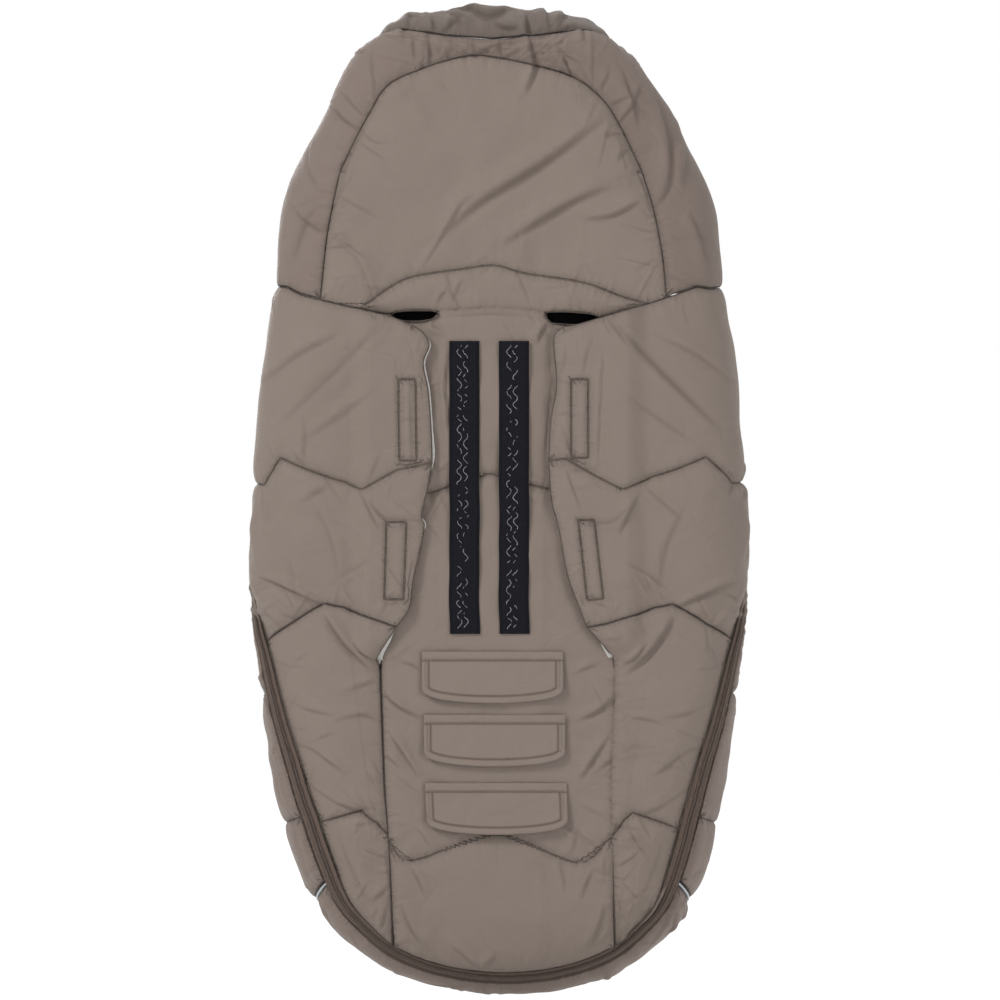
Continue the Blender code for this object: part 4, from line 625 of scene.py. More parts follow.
FOLDS = SIDE_FOLDS + tuple((tuple((998 - x, y + 3) for x, y in reversed(chain)), width, height)
                           for chain, width, height in SIDE_FOLDS) + (
    (((436, 233), (478, 198), (520, 172), (560, 146), (606, 110)), 0.0130, 0.0048),
    (((497, 243), (540, 216), (575, 196), (614, 181)), 0.0110, 0.0040),
    (((583, 217), (612, 213), (642, 197)), 0.0075, 0.0030),
    (((446, 226), (456, 206), (474, 190)), 0.0075, 0.0014),
    (((335, 230), (352, 246), (374, 262)), 0.0034, 0.0014),
    (((364, 127), (374, 140), (390, 144)), 0.0034, 0.0014),
    (((602, 136), (614, 133), (628, 134)), 0.0040, 0.0018),
    (((438, 315.5), (470, 314), (495, 312.8), (520, 314), (546, 316)), 0.0030, 0.0018),
    (((446, 334), (431, 328), (432, 320)), 0.0040, 0.0024),
    (((535, 343), (539, 332), (545, 323)), 0.0050, 0.0036),
    (((452, 300), (456, 288), (462, 278)), 0.0040, 0.0016),
    (((436, 306), (438, 298), (446, 288)), 0.0040, 0.0020),
    (((604, 319), (607, 326), (611, 334)), 0.0038, 0.0026),
)
BAND_FOLDS = (
    (((524, 96), (533, 79), (537, 66), (533, 40), (529, 20)), 0.0062, 0.0050),
    (((432, 66), (434, 52), (433, 38)), 0.0046, 0.0034),
    (((574, 79), (570, 68), (566, 60)), 0.0042, 0.0028),
    (((411, 44), (408, 32), (403, 24)), 0.0050, 0.0028),
    (((587, 45), (585, 34), (583, 28)), 0.0050, 0.0026),
    (((650, 208), (662, 184), (660, 140), (645, 90)), 0.0085, 0.0042),
    (((634, 128), (628, 104), (620, 72)), 0.0070, 0.0030),
    (((616, 124), (628, 106), (638, 86)), 0.0046, 0.0026),
    (((676, 190), (676, 150), (668, 118)), 0.0080, 0.0026),
    (((338, 100), (350, 118), (365, 130)), 0.0065, 0.0032),
    (((300, 203), (314, 222), (329, 232)), 0.0060, 0.0030),
    (((352, 92), (362, 108), (372, 116)), 0.0050, 0.0020),
    (((322, 134), (318, 170), (326, 190)), 0.0080, 0.0024),
    (((296, 262), (304, 232), (316, 206)), 0.0080, 0.0022),
    (((700, 268), (690, 232), (682, 214)), 0.0070, 0.0026),
    (((452, 62), (451, 54), (452, 48)), 0.0034, 0.0014),
    (((478, 58), (479, 50), (478, 44)), 0.0034, 0.0012),
    (((506, 58), (505, 50), (507, 44)), 0.0034, 0.0014),
)
RIM_FOLDS = (
    (((449, 9), (462, 8), (474, 10), (486, 15), (497, 17), (507, 15), (518, 8)), 0.0080, 0.0052),
    (((456, 16), (466, 20), (474, 28)), 0.0070, 0.0030),
    (((446, 34), (458, 24), (470, 18)), 0.0065, 0.0030),
    (((500, 22), (512, 28), (526, 28)), 0.0060, 0.0032),
    (((533, 44), (531, 30), (529, 18)), 0.0060, 0.0046),
    (((552, 34), (550, 22), (546, 10)), 0.0070, 0.0034),
    (((440, 36), (437, 26), (435, 18)), 0.0055, 0.0034),
    (((412, 33), (414, 22), (420, 14)), 0.0070, 0.0032),
    (((560, 30), (566, 20), (568, 10)), 0.0080, 0.0028),
)
# Thickness of a harness flap, and how far it lies off the base; it leaves the side between the two X and Z values
FLAP_THICK = 0.0058
FLAP_LIFT = {"left": 0.0124, "right": 0.0131}
LIFT_START, LIFT_END = 0.1500, 0.1260
LIFT_LOW_Z, LIFT_HIGH_Z = -0.186, -0.150


def creases(places, normals, folds):
    """Height of creases, and the shade in them.

    At t = d / width across a crease, with t plus on the right of its way as seen from outside, the height
    is h (e^(-t^2) for t < 0, e^(-(t / 0.4)^2) for t > 0, less 0.45 e^(-((t - 0.75) / 0.35)^2)), and it fades
    along the crease with sin(pi s)^0.7.
    """
    flat, up = places.reshape(-1, 3), normals.reshape(-1, 3)
    total, shade = np.zeros(len(flat)), np.zeros(len(flat))
    for chain, width, height in folds:
        reach = 2.4 * width
        near = np.flatnonzero(np.all((flat > chain.min(axis=0) - reach) & (flat < chain.max(axis=0) + reach), axis=1))
        low, step = chain[:-1], np.diff(chain, axis=0)
        size = np.maximum(np.linalg.norm(step, axis=1), 1e-9)
        offset = flat[near][:, None] - low
        share = np.clip(np.sum(offset * step, axis=2) / size ** 2, 0.0, 1.0)
        offset = offset - share[..., None] * step
        away = np.linalg.norm(offset, axis=2)
        pick = np.argmin(away, axis=1)
        row = np.arange(len(near))
        side = np.sign(np.sum(np.cross(step[pick], up[near]) * offset[row, pick], axis=1))
        along = (np.cumsum(size)[pick] - size[pick] * (1.0 - share[row, pick])) / size.sum()
        across = away[row, pick] * side / width
        ends = np.sin(math.pi * np.clip(along, 0.015, 0.985)) ** 0.7
        soft = np.exp(-(across / np.where(across > 0.0, 0.4, 1.0)) ** 2)
        total[near] += height * ends * (soft - 0.45 * np.exp(-((across - 0.75) / 0.35) ** 2))
        dark = np.exp(-((across - 0.50) / 0.26) ** 2) * ends * min(1.0, abs(height) / 0.0035)
        shade[near] = np.maximum(shade[near], dark)
    return total.reshape(places.shape[:-1]), shade.reshape(places.shape[:-1])


def on_surface(folds, frame_of):
    """The chains of folds that are given in the photograph's pixels, laid on a surface."""
    return [(frame_of(smooth(plan(pixels), 5)), width, height) for pixels, width, height in folds]


def stray_creases(places, normals, away, seed, count, height=0.0014):
    """Creases that start beside a seam and run off it at a chance angle; their ends are set on the cloth."""
    rng = np.random.default_rng(seed)
    flat, up = places.reshape(-1, 3), normals.reshape(-1, 3)
    rows, columns = np.gradient(places, axis=0), np.gradient(places, axis=1)
    slope = [np.gradient(away, axis=k)[..., None] * step / np.maximum(np.sum(step ** 2, axis=-1), 1e-10)[..., None]
             for k, step in enumerate((rows, columns))]
    slope = (slope[0] + slope[1]).reshape(-1, 3)
    near = np.flatnonzero((away.reshape(-1) > 0.0012) & (away.reshape(-1) < 0.006))
    first = rng.choice(near, count)
    way = slope[first] / np.maximum(np.linalg.norm(slope[first], axis=1), 1e-9)[:, None]
    angle = rng.normal(0.0, 0.65, count)[:, None]
    way = way * np.cos(angle) + np.cross(up[first], way) * np.sin(angle)
    length = rng.gamma(3.0, 0.0075, count)[:, None] + 0.008
    bend = np.cross(up[first], way) * rng.normal(0.0, 0.10, count)[:, None]
    made = []
    ends = [flat[first]]
    for share in (0.35, 0.7, 1.0):
        goal = flat[first] + length * (way * share + bend * share * (1.0 - 0.4 * share))
        ends.append(np.array([flat[np.argmin(np.sum((flat - place) ** 2, axis=1))] for place in goal]))
    for index in range(count):
        chain = np.array([end[index] for end in ends])
        chain = chain[::-1] if rng.random() < 0.5 else chain
        steps = np.linalg.norm(np.diff(chain, axis=0), axis=1)
        if np.all(steps > 0.001):
            width = rng.uniform(0.0026, 0.0058)
            made.append((smooth(chain, 3), width, height * rng.uniform(0.45, 1.15) * width / 0.0045))
    return made


def back_places(points):
    """Base places on the back under plan points."""
    return plan_point(points, BACK)


def above(points, chain):
    """1 for plan points above a seam that crosses a panel, and -1 below it."""
    chain = chain[np.argsort(chain[:, 0])]
    return np.where(points[..., 1] > np.interp(points[..., 0], chain[:, 0], chain[:, 1]), 1.0, -1.0)


# Puckers beside the seams: height, periods along the seam, how far they reach, and where they start
FINE_PUCKERS = (0.0017, (0.0075, 0.0120, 0.0190), 0.010, 0.0018)
BROAD_PUCKERS = (0.0019, (0.029, 0.043, 0.067), 0.030, 0.006)


def relief(places, normals, lines, loft, edge, seed, folds=(), stray=60, quick=0.016, slow=0.050, rough=1.0):
    """A quilted panel's height, the shade in its creases, and its distance from a seam and place along it.

    The height is the puff, puckers that run off the seams, creases, and a soft unevenness.
    """
    away, run = nearest_line(places, lines)
    height = loft * puff(away, edge, quick, slow)
    pucker = rough * bpy.context.scene.footmuff_sizes.pucker
    for shift, (size, periods, reach, start) in enumerate((FINE_PUCKERS, BROAD_PUCKERS)):
        fade = np.exp(-away / reach) * (1.0 - np.exp(-away / start))
        height += pucker * size * wave(run, periods, seed + shift) * fade
    inside = 1.0 - np.exp(-away / 0.014)
    height += rough * inside * (0.0009 * undulation(places, 0.085, seed + 2)
                                + 0.0005 * undulation(places, 0.036, seed + 3))
    chains = list(folds) + stray_creases(places, normals, away, seed + 4, stray, 0.0015 * pucker)
    crease, shade = creases(places, normals, chains)
    # The crease shade goes back as painted shade for the cloth's colour.
    return height + crease, 0.55 * shade, away, run


def quilt(name, places, normals, seams, turn, *how):
    """A closed quilt with relief's height on its grid; turn is the side of its seams that each place is on."""
    height, groove, away, run = relief(places, normals, border(places) + seams, *how)
    return shell_mesh(name, places + normals * np.maximum(height, LEAST_HEIGHT)[..., None], places, groove, None,
                      (away * turn, run))


def smoothstep(value, low, high):
    """Share from 0 at low to 1 at high: t t (3 - 2 t)."""
    share = np.clip((value - low) / (high - low), 0.0, 1.0)
    return share * share * (3.0 - 2.0 * share)


def flap_share(places):
    """How far the cloth has left the side for the harness flap, from 0 to 1."""
    across = smoothstep(-np.abs(places[..., 0]), -LIFT_START, -LIFT_END)
    return across * smoothstep(places[..., 2], LIFT_LOW_Z, LIFT_HIGH_Z)


def on_back(pixels):
    """Chart values of places on the photograph."""
    return plan_chart(plan(pixels), BACK)


def rim_corner():
    """Where the yoke seam meets the hood's rim strip, on the front."""
    station = float(station_at(YOKE_RIM_Z))
    width = -np.interp(station, STATION, PLACE[:, 0]) - RIM_X
    return np.array([1.0, station, inward_to_over(np.array([station]), np.array([width]))[0]])


def turned(chart, word):
    """Chart values of the left side moved to the named side."""
    return np.asarray(chart) if word == "left" else mirrored(chart)


def zip_edge(word):
    """The side panel's edge from the yoke down along the zip, and where the zip's first row is in it."""
    top = plan_chart([[-RIM_X - ZIP_EDGE_GAP, RIM_FOOT_Z]], FRONT)
    corner = rim_corner() + (0.0, 0.0005, 0.0)
    edge = np.vstack([corner[None, :], top, zip_path(-ZIP_HALF_WIDTH - ZIP_EDGE_GAP)])
    return turned(edge, word), 2


# Depths below the fold where the zip starts to stand up, and heights at the toe where it has sunk back
ZIP_SWELL_UPPER, ZIP_SWELL_LOWER = (0.080, 0.145), (-0.470, -0.380)
# Most height of a side beside the zip, with its rise away from it, and the dent of the stitched rectangles
ZIP_ROOM, ZIP_ROOM_SLOPE = 0.0026, 0.26
BOX_DENT, BOX_DENT_WIDTH = 0.0019, 0.0022


def zip_swell(places):
    """How far the zip's outer side stands up from the back, down the bag's sides: from 0 to 1."""
    return smoothstep(-places[..., 2], *ZIP_SWELL_UPPER) * smoothstep(places[..., 2], *ZIP_SWELL_LOWER)


def side_surface(word, lines, inner, outer, columns, rows, seams, name, seed):
    """One quilted panel of the side: its patch, its seams' grooves, and its lift onto the harness flap."""
    sizes = bpy.context.scene.footmuff_sizes
    grid = patch(lines, inner, outer, columns, rows)
    places, normals = chart_frame(grid)
    seam_places = [chart_point(spread(seam, 70)) for seam in seams]
    height, groove, away, run = relief(places, normals, border(places) + seam_places, sizes.loft, 0.34, seed,
                                       on_surface(FOLDS, back_places))
    beside, _ = nearest_line(places, [places[:, -1]])
    room = ZIP_ROOM + ZIP_ROOM_SLOPE * beside
    height = np.where(zip_swell(places) > 0.0, np.minimum(height, room + 0.02 * (1.0 - zip_swell(places))), height)
    share = flap_share(places)
    lift = FLAP_LIFT[word] * share
    height = height * (1.0 - share) + height * (FLAP_THICK / LOFT) * share
    boxes = [back_places(spread(np.vstack([plan(box), plan(box[:1])]), 160)) for box in STITCH_BOXES[word]]
    ring, course = nearest_line(places, boxes, 0.001)
    ring = np.where(share > 0.3, ring, 1.0)
    height -= share * BOX_DENT * np.exp(-(ring / BOX_DENT_WIDTH) ** 2)
    turn = np.where(np.arange(len(places)) < rows[0] - 1, 1.0, -1.0)[:, None] * np.ones_like(away)
    for box in STITCH_BOXES[word]:
        corner = plan(box)
        low, high = corner[:, 1].min(), corner[:, 1].max()
        middle = corner[:2, 0].mean() + (corner[3, 0] - corner[0, 0]) * (high - places[..., 2]) / (high - low)
        within = (np.abs(places[..., 0] - middle) < 0.5 * (corner[1, 0] - corner[0, 0])) & (share > 0.3)
        turn = turn * np.where(within & (places[..., 2] < high) & (places[..., 2] > low), -1.0, 1.0)
    # The lines of the stitched rectangles join the seams in the away values, so the dark line of painted shade is drawn
    # along them too.
    seam = np.minimum(away, ring) * turn, np.where(ring < away, course + 5.0, run)
    return shell_mesh(name, places + normals * (lift + np.maximum(height, LEAST_HEIGHT))[..., None],
                      places + normals * lift[..., None], groove, None, seam)


def cross_seam(table, word, edge, row):
    """A cross seam of a side, carried on to a row of the edge along the zip."""
    return np.vstack([on_back(table[word]), edge[row:row + 1]])


def side_upper(word, finish):
    """The side's cloth above the second cross seam, in one with the harness flap."""
    edge, shift = zip_edge(word)
    yoke = on_back(YOKE[word])
    top = np.vstack([on_back(smooth(FLAP_TOP[word], 6)), yoke, edge[:1]])
    a_row, b_row = shift + SEAM_A_ROW * ZIP_STEPS, shift + SEAM_B_ROW * ZIP_STEPS
    seam_a, seam_b = cross_seam(SEAM_A, word, edge, a_row), cross_seam(SEAM_B, word, edge, b_row)
    inner = [on_back(smooth(part, 6)) for part in FREE_EDGE[word]]
    outer = [edge[:a_row + 1], edge[a_row:b_row + 1]]
    mesh = side_surface(word, [top, seam_a, seam_b], inner, outer, 150, (78, 86), [seam_a], f"side_upper_{word}",
                        11 if word == "left" else 12)
    return add_piece(f"side_upper_{word}", mesh, finish, None,
                     (f"side_panel_{word}", f"harness_flap_{word}"))


def side_lower(word, finish):
    """The side's cloth from the second cross seam down to the toe."""
    edge, shift = zip_edge(word)
    b_row, c_row = shift + SEAM_B_ROW * ZIP_STEPS, shift + SEAM_C_ROW * ZIP_STEPS
    end = shift + CORNER_ROW * ZIP_STEPS
    seam_b, seam_c = cross_seam(SEAM_B, word, edge, b_row), cross_seam(SEAM_C, word, edge, c_row)
    inner = [on_back(smooth(part, 6)) for part in LONG_SEAM[word]]
    toe = np.vstack([inner[1][-1:], edge[end:end + 1]])
    outer = [edge[b_row:c_row + 1], edge[c_row:end + 1]]
    mesh = side_surface(word, [seam_b, seam_c, toe], inner, outer, 90, (112, 76), [seam_c], f"side_lower_{word}",
                        21 if word == "left" else 22)
    return add_piece(f"side_lower_{word}", mesh, finish, "bag")


# Half width of the centre panel at heights, its top edge, and the upper edges of the slots' mouths
CENTRE_EDGE = ((-0.461, 0.1095), (-0.184, 0.1180))
CENTRE_TOP = ((381, 313.3), (390, 314.4), (393, 316.5), (397, 319), (404, 320.8), (414, 321.2), (426, 320.4),
              (433, 318.4), (437, 314), (439.5, 308.6), (470, 306.2), (495, 305.0), (520, 306.6), (545, 308.8),
              (547, 317), (551, 322.3), (562, 324), (574, 324.4), (588, 323.2), (595, 320.8), (599, 317.5),
              (602, 316), (617, 312.2))
MOUTHS = {"left": (((391, 315.8), (396, 312.8), (408, 311.3), (424, 311.0), (434, 311.6), (439, 314.0)),
                   ((391, 315.8), (398, 320.4), (412, 321.8), (426, 320.8), (435, 318.0), (439, 314.0))),
          "right": (((544, 316.0), (548, 312.8), (560, 312.2), (575, 312.8), (590, 314.4), (600.5, 317.6)),
                    ((544, 316.0), (550, 322.8), (562, 324.6), (574, 325.2), (589, 324.0), (600.5, 317.6)))}
SLITS = ((-0.0065, -0.1645), (-0.0045, -0.2275), (-0.0030, -0.2955))
SLIT_HALF = (0.0590, 0.00425)
SLIT_DROP = 0.018
SLIT_ROOM = 0.0035
BINDING_LIFT = 0.0058
BINDING_REACH, BINDING_ROUND = 0.0018, 0.32
BINDING_WIDE, BINDING_THICK = 0.0030, 0.0012
RIM_SHAPE = ((0.0, 0.0), (0.0110, 0.0040), (0.0240, 0.0060), (0.0360, 0.0035))


def centre_outline():
    """The centre panel's top, middle seams and toe line in plan, and its two sides between them."""
    toe = chart_point(zip_path(-ZIP_HALF_WIDTH - ZIP_EDGE_GAP)[CORNER_ROW * ZIP_STEPS:])[:, (0, 2)]
    toe = both_sides(toe)
    x = np.linspace(-1.0, 1.0, 181) * CENTRE_EDGE[1][1]
    top = np.stack([x, np.interp(x, *plan(CENTRE_TOP).T)], axis=1)
    side = np.array([[top[0, 0], top[0, 1]], [-CENTRE_EDGE[1][1], CENTRE_EDGE[1][0]],
                     [-CENTRE_EDGE[0][1], CENTRE_EDGE[0][0]]])
    toe[0], toe[-1] = side[-1], side[-1] * (-1.0, 1.0)
    return top, toe, side


def centre_seams():
    """Places of the two cross seams of the back's middle."""
    return [back_places(smooth(plan(chain), 5)) for chain in (CENTRE_SEAM_A, CENTRE_SEAM_C)]


def round_slits(points, margin):
    """The cells of a plan grid that stay round the slits, which are cut a margin wider."""
    cell = 0.25 * (points[:-1, :-1] + points[1:, :-1] + points[1:, 1:] + points[:-1, 1:])
    keep = np.ones(cell.shape[:2], bool)
    for middle, upper in SLITS:
        keep &= ~np.all(np.abs(cell - (middle, upper - SLIT_DROP)) < np.array(SLIT_HALF) + margin, axis=-1)
    return keep


def centre_panel(finish):
    """The quilted middle of the back, with its slits left open."""
    top, toe, side = centre_outline()
    points = patch([top, toe], [side], [side * (-1.0, 1.0)], 104, [290])
    places, normals = plan_frame(points, BACK)
    height, groove, away, run = relief(places, normals, border(places) + centre_seams(),
                                       bpy.context.scene.footmuff_sizes.centre_loft, 0.36, 31,
                                       on_surface(FOLDS, back_places), 80)
    height = np.maximum(height, LEAST_HEIGHT)
    for middle, upper in SLITS:
        beyond = np.maximum(np.abs(points - (middle, upper - SLIT_DROP)) - np.array(SLIT_HALF), 0.0)
        near = np.exp(-(np.linalg.norm(beyond, axis=-1) / (2.0 * SLIT_ROOM)) ** 2)
        height = height * (1.0 - near) + BINDING_LIFT * near
    mesh = shell_mesh("centre_panel", places + normals * height[..., None], places, groove, round_slits(points, 0.001),
                      (away * above(points, plan(CENTRE_SEAM_A)) * above(points, plan(CENTRE_SEAM_C)), run))
    return add_piece("centre_panel", mesh, finish, "bag", ("back_centre_panel",))


def crown_grid(columns, rows):
    """Plan grid of the head panel, between the hem and the arch seam."""
    low = smooth(plan(HEM), 6) + (0.0, 0.0008)
    left, top, right = (smooth(plan(chain), 6) for chain in (ARCH_LEFT, ARCH_TOP, ARCH_RIGHT))
    return patch([low, top], [left], [right], columns, [rows])


def crown_panel(finish):
    """The quilted head panel inside the arch seam."""
    points = crown_grid(190, 134)
    points = points + 0.005 * (points - points.mean(axis=(0, 1)))
    places, normals = plan_frame(points, BACK)
    seam = smooth(plan(HEAD_SEAM), 6)
    mesh = quilt("crown_panel", places, normals, [back_places(seam)], above(points, seam),
                 bpy.context.scene.footmuff_sizes.centre_loft, 0.40, 41,
                 on_surface(FOLDS + BAND_FOLDS[:1], back_places), 50)
    return add_piece("crown_panel", mesh, finish, "bag", ("hood_crown_panel",))


def unfold(chart, end=0.0):
    """Two columns for a piece that crosses the middle: side times the length from the end, and over."""
    chart = np.asarray(chart, float)
    return np.stack([chart[..., 0] * (chart[..., 1] - end), chart[..., 2]], axis=-1)


def refold(flat, end=0.0):
    """Chart values of unfolded ones; end is the outline's whole length for a piece round the toe."""
    turn = -1.0 if end else 1.0
    side = np.where(turn * flat[..., 0] >= 0.0, 1.0, -1.0)
    return np.stack([side, end + turn * np.abs(flat[..., 0]), flat[..., 1]], axis=-1)


def rim_seam(shift, rows=RIM_SEAM_SEEN):
    """The hood's rim seam from the left yoke over the top to the right one, unfolded."""
    table = np.array(rows)[::-1]
    station = station_at(table[:, 0])
    over = table[:, 1] / 90.0 * rim_length(*rim_sizes(station))
    line = np.stack([np.ones(len(station)), station, over], axis=1)
    line[0] = rim_corner()
    line = smooth(line[:, 1:], 10)
    return both_sides(line) + (0.0, shift)


def hood_band(finish):
    """The quilted band round the crown, which wraps forward to the face opening."""
    flat = band_grid(400, 74)
    places, normals = chart_frame(refold(flat))
    mesh = quilt("hood_band_cloth", places, normals, [], 1.0, bpy.context.scene.footmuff_sizes.loft, 0.40, 51,
                 on_surface(FOLDS + BAND_FOLDS, back_places), 80, 0.018, 0.045, 1.1)
    return add_piece("hood_band_cloth", mesh, finish, "bag", ("hood_band",))


def rim_grid(low, high, rows, columns):
    """Chart values of a strip round the face opening, between two distances past the rim seam.

    A strip that starts on the seam starts where the photograph shows it.
    """
    foot = unfold(plan_chart([[-RIM_X, RIM_TUCK_Z], [-RIM_X, RIM_FOOT_Z]], FRONT))
    seen, sewn = (spread(np.vstack([foot, rim_seam(0.0005, table), foot[::-1] * (-1.0, 1.0)]), columns)
                  for table in (RIM_SEAM_SEEN if low == 0.0 else RIM_SEAM, RIM_SEAM))
    return np.array([(seen + (0.0, low)) * (1.0 - share) + (sewn + (0.0, high)) * share
                     for share in np.linspace(0.0, 1.0, rows)])


def rim_strip(finish):
    """The gathered strip round the face opening, whose elastic draws it in, and the facing inside it."""
    flat = rim_grid(0.0, RIM_STRIP_WIDTH, 38, 480)
    places, normals = chart_frame(refold(flat))
    run = flat[..., 0] - flat[..., :1, 0]
    share = np.linspace(0.0, 1.0, len(flat))[:, None]
    across = np.interp(share * RIM_STRIP_WIDTH, *np.array(RIM_SHAPE).T)
    gather = np.exp(-((share - 0.62) / 0.30) ** 2)
    height = 0.0030 + across * 0.55
    height = height + gather * 0.0011 * wave(run, (0.0165, 0.0270, 0.0410), 61)
    height = height + 0.0016 * wave(run + 0.004 * share, (0.044, 0.071), 62) * share
    away, course = nearest_line(places, [places[0]])
    height = height + 0.0012 * wave(course, (0.0085, 0.0140, 0.0230), 65) * np.exp(-away / 0.010) * away / 0.004
    height = height + 0.0010 * undulation(places, 0.030, 66) * smoothstep(away, 0.0, 0.012)
    folds = on_surface(RIM_FOLDS, back_places) + stray_creases(places, normals, away, 67, 26, 0.0012)
    crease, shade = creases(places, normals, folds)
    height = np.maximum(height + crease, LEAST_HEIGHT)
    # The crease shade of the rim is painted into its colour, through the groove attribute.
    mesh = shell_mesh("hood_rim", places + normals * height[..., None], places + normals * 0.0002, 0.6 * shade, None,
                      (away, course))
    strip = add_piece("hood_rim", mesh, finish, "bag", ("hood_rim_strip",))
    cut_sheet(strip)
    flat = rim_grid(0.0022, RIM_STRIP_WIDTH - 0.0005, 14, 420)
    places, normals = chart_frame(refold(flat))
    depth = 0.0022 + 0.0006 * wave(flat[..., 0], (0.014, 0.023), 63)
    mesh = shell_mesh("rim_facing", places - normals * depth[..., None], places - normals * (depth + 0.0011)[..., None])
    facing = add_piece("rim_facing", mesh, finish, "bag", ("hood_rim_facing",))
    cut_sheet(facing)


LINING_GAP = 0.0004
LINING_THICK = 0.0016
CAP_LINING_GAP = 0.0030
COVER_LINING_GAP = 0.0007
CENTRE_LINING_TOP = 0.1645
# Inner edge of a side lining: distance from the middle, and height
SIDE_LINING_EDGE = ((0.1345, 0.1765), (0.1345, -0.172), (0.1195, -0.184), (0.1115, -0.452))
# The near-black sheet behind a mouth, painted shade for the dark inside of the slot: distances from the middle, and
# heights
SHADE_SHEET_X, SHADE_SHEET_Z = (0.040, 0.1165), (0.1800, 0.1500)
FRONT_SEAMS = (
    ((-131, -75), (-60, -60), (0, -85), (60, -60), (131, -75)),
    ((-131, -215), (-60, -200), (0, -225), (60, -200), (131, -215)),
    ((-131, -325), (-60, -310), (0, -335), (60, -310), (131, -325)),
)
CHEST_SEAM = ((-131, 88), (-60, 98), (0, 80), (60, 98), (131, 88))
# Upper edge of the front panel and both edges of the chest panel, each over the width
FRONT_TOP = ((0.0, 0.0293), (1.0, 0.0293))
CHEST_LOW, CHEST_HIGH = ((0.0, 0.0307), (1.0, 0.0307)), ((0.0, 0.1494), (1.0, 0.1494))
PIPING_ROOM = 0.0031
PIPING_RADIUS = 0.0015
BAND_MARKS = (5, 10, 16, 21, 25)
BAND_HEIGHTS = (0.010, -0.075, -0.215, -0.325, -0.4019)
OUTLINE_END = float(STATION[-1])


def lining(name, places, normals, finish, body, nodes, seed, on, gap=LINING_GAP, seams=(), keep=None):
    """A soft lining inside a panel, lightly quilted on the side that faces into the bag."""
    away, run = nearest_line(places, border(places) + list(seams))
    swell = 0.0022 * puff(away, 0.0, 0.016, 0.030) + 0.0004 * undulation(places, 0.040, seed)
    swell += 0.0005 * wave(run, (0.011, 0.019), seed) * np.exp(-away / 0.010) * (1.0 - np.exp(-away / 0.002))
    depth = gap + LINING_THICK + np.maximum(swell, 0.0)
    # Painted shade: darker within a few millimetres of the lining's edges and seams.
    mesh = shell_mesh(name, places - normals * gap, places - normals * depth[..., None],
                      np.exp(-away / 0.004), keep)
    return cut_sheet(add_piece(name, mesh, finish, body, nodes))


def centre_lining(finish):
    """The lining behind the centre panel, slit like it."""
    top, toe, side = centre_outline()
    top[:, 1] = np.minimum(top[:, 1], CENTRE_LINING_TOP)
    points = patch([top, toe], [side], [side * (-1.0, 1.0)], 60, [170])
    places, normals = plan_frame(points, BACK)
    return lining("centre_lining_cloth", places, normals, finish, "bag", ("centre_lining",), 71,
                  ["centre_panel"], seams=centre_seams(), keep=round_slits(points, 0.0015))


def side_lining(word, finish):
    """The lining behind one side of the back."""
    edge, shift = zip_edge(word)
    turn = TURN[word]
    end = shift + (CORNER_ROW - 1) * ZIP_STEPS
    inner = plan_chart(np.array(SIDE_LINING_EDGE) * (turn, 1.0), BACK)
    top = np.vstack([inner[:1], on_back(YOKE[word]), edge[:1]]) + (0.0, 0.0045, 0.0)
    grid = patch([top, np.vstack([inner[-1:], edge[end:end + 1]])], [inner], [edge[:end + 1]], 48, [150])
    places, normals = chart_frame(grid)
    return lining(f"side_lining_cloth_{word}", places, normals, finish, "bag", (f"side_lining_{word}",), 72,
                  [f"side_upper_{word}", f"side_lower_{word}"])


def hood_lining(finish):
    """The hood's lining: the part behind the head panel, and the part behind the band."""
    grid = crown_grid(120, 86)
    places, normals = plan_frame(0.97 * grid + 0.03 * grid.mean(axis=(0, 1)), BACK)
    lining("crown_lining", places, normals, finish, "bag", ("hood_lining",), 73, ["crown_panel"])
    places, normals = (part[2:-1] for part in chart_frame(refold(band_grid(240, 48))))
    lining("band_lining", places, normals, finish, "bag", (), 74, ["hood_band_cloth"])


def band_grid(columns, rows):
    """Unfolded grid of the hood band, from the arch seam forward to the rim seam."""
    arch = np.vstack([smooth(ARCH_LEFT, 6)[:-1], smooth(ARCH_TOP, 6)[:-1], smooth(ARCH_RIGHT, 6)[::-1]])
    arch = unfold(on_back(arch))
    rim = rim_seam(-0.0005)
    sides = []
    for word, end in (("left", 0), ("right", -1)):
        yoke = unfold(on_back(YOKE[word]))
        sides.append(np.vstack([yoke, rim[end:][:1]]) + (0.0008 * (1 if end else -1), 0.0))
    arch[0], arch[-1] = sides[0][0], sides[1][0]
    rim[0], rim[-1] = sides[0][-1], sides[1][-1]
    return patch([arch, rim], [sides[0]], [sides[1]], columns, [rows])


def front_plan(low, high, seams, columns, rows):
    """Plan grid of a front panel between two lines over its width, and its seams' places."""
    x = np.linspace(-CHEST_EDGE, CHEST_EDGE, 61)
    lines = [np.stack([x, np.interp(np.abs(x), *np.array(line).T)], axis=1) for line in (low, high)]
    points = rectangle(lines[0], lines[1], columns, rows)
    chains = []
    for seam in seams:
        table = np.array(seam) * 0.001
        chains.append(plan_point(np.stack([x, np.interp(x, table[:, 0], table[:, 1])], axis=1), FRONT))
    places, normals = plan_frame(points, FRONT)
    side = np.ones(points.shape[:2])
    for chain in chains:
        side = side * above(points, chain[:, (0, 2)])
    return places, normals, chains, side


def cap_line():
    """The foot cap's seam on the front over the panel's width: distance from the middle, height."""
    return np.array(CAP_SEAM)[::-1] * (-1.0, 1.0)


def front_panel(finish):
    """The lower cover's middle panel."""
    low = cap_line() + (0.0, PIPING_ROOM)
    places, normals, chains, side = front_plan(low, FRONT_TOP, FRONT_SEAMS, 112, 186)
    mesh = quilt("front_cover", places, normals, chains, side, bpy.context.scene.footmuff_sizes.loft, 0.36, 81, (), 90)
    return add_piece("front_cover", mesh, finish, "cover_lower", ("front_panel",))


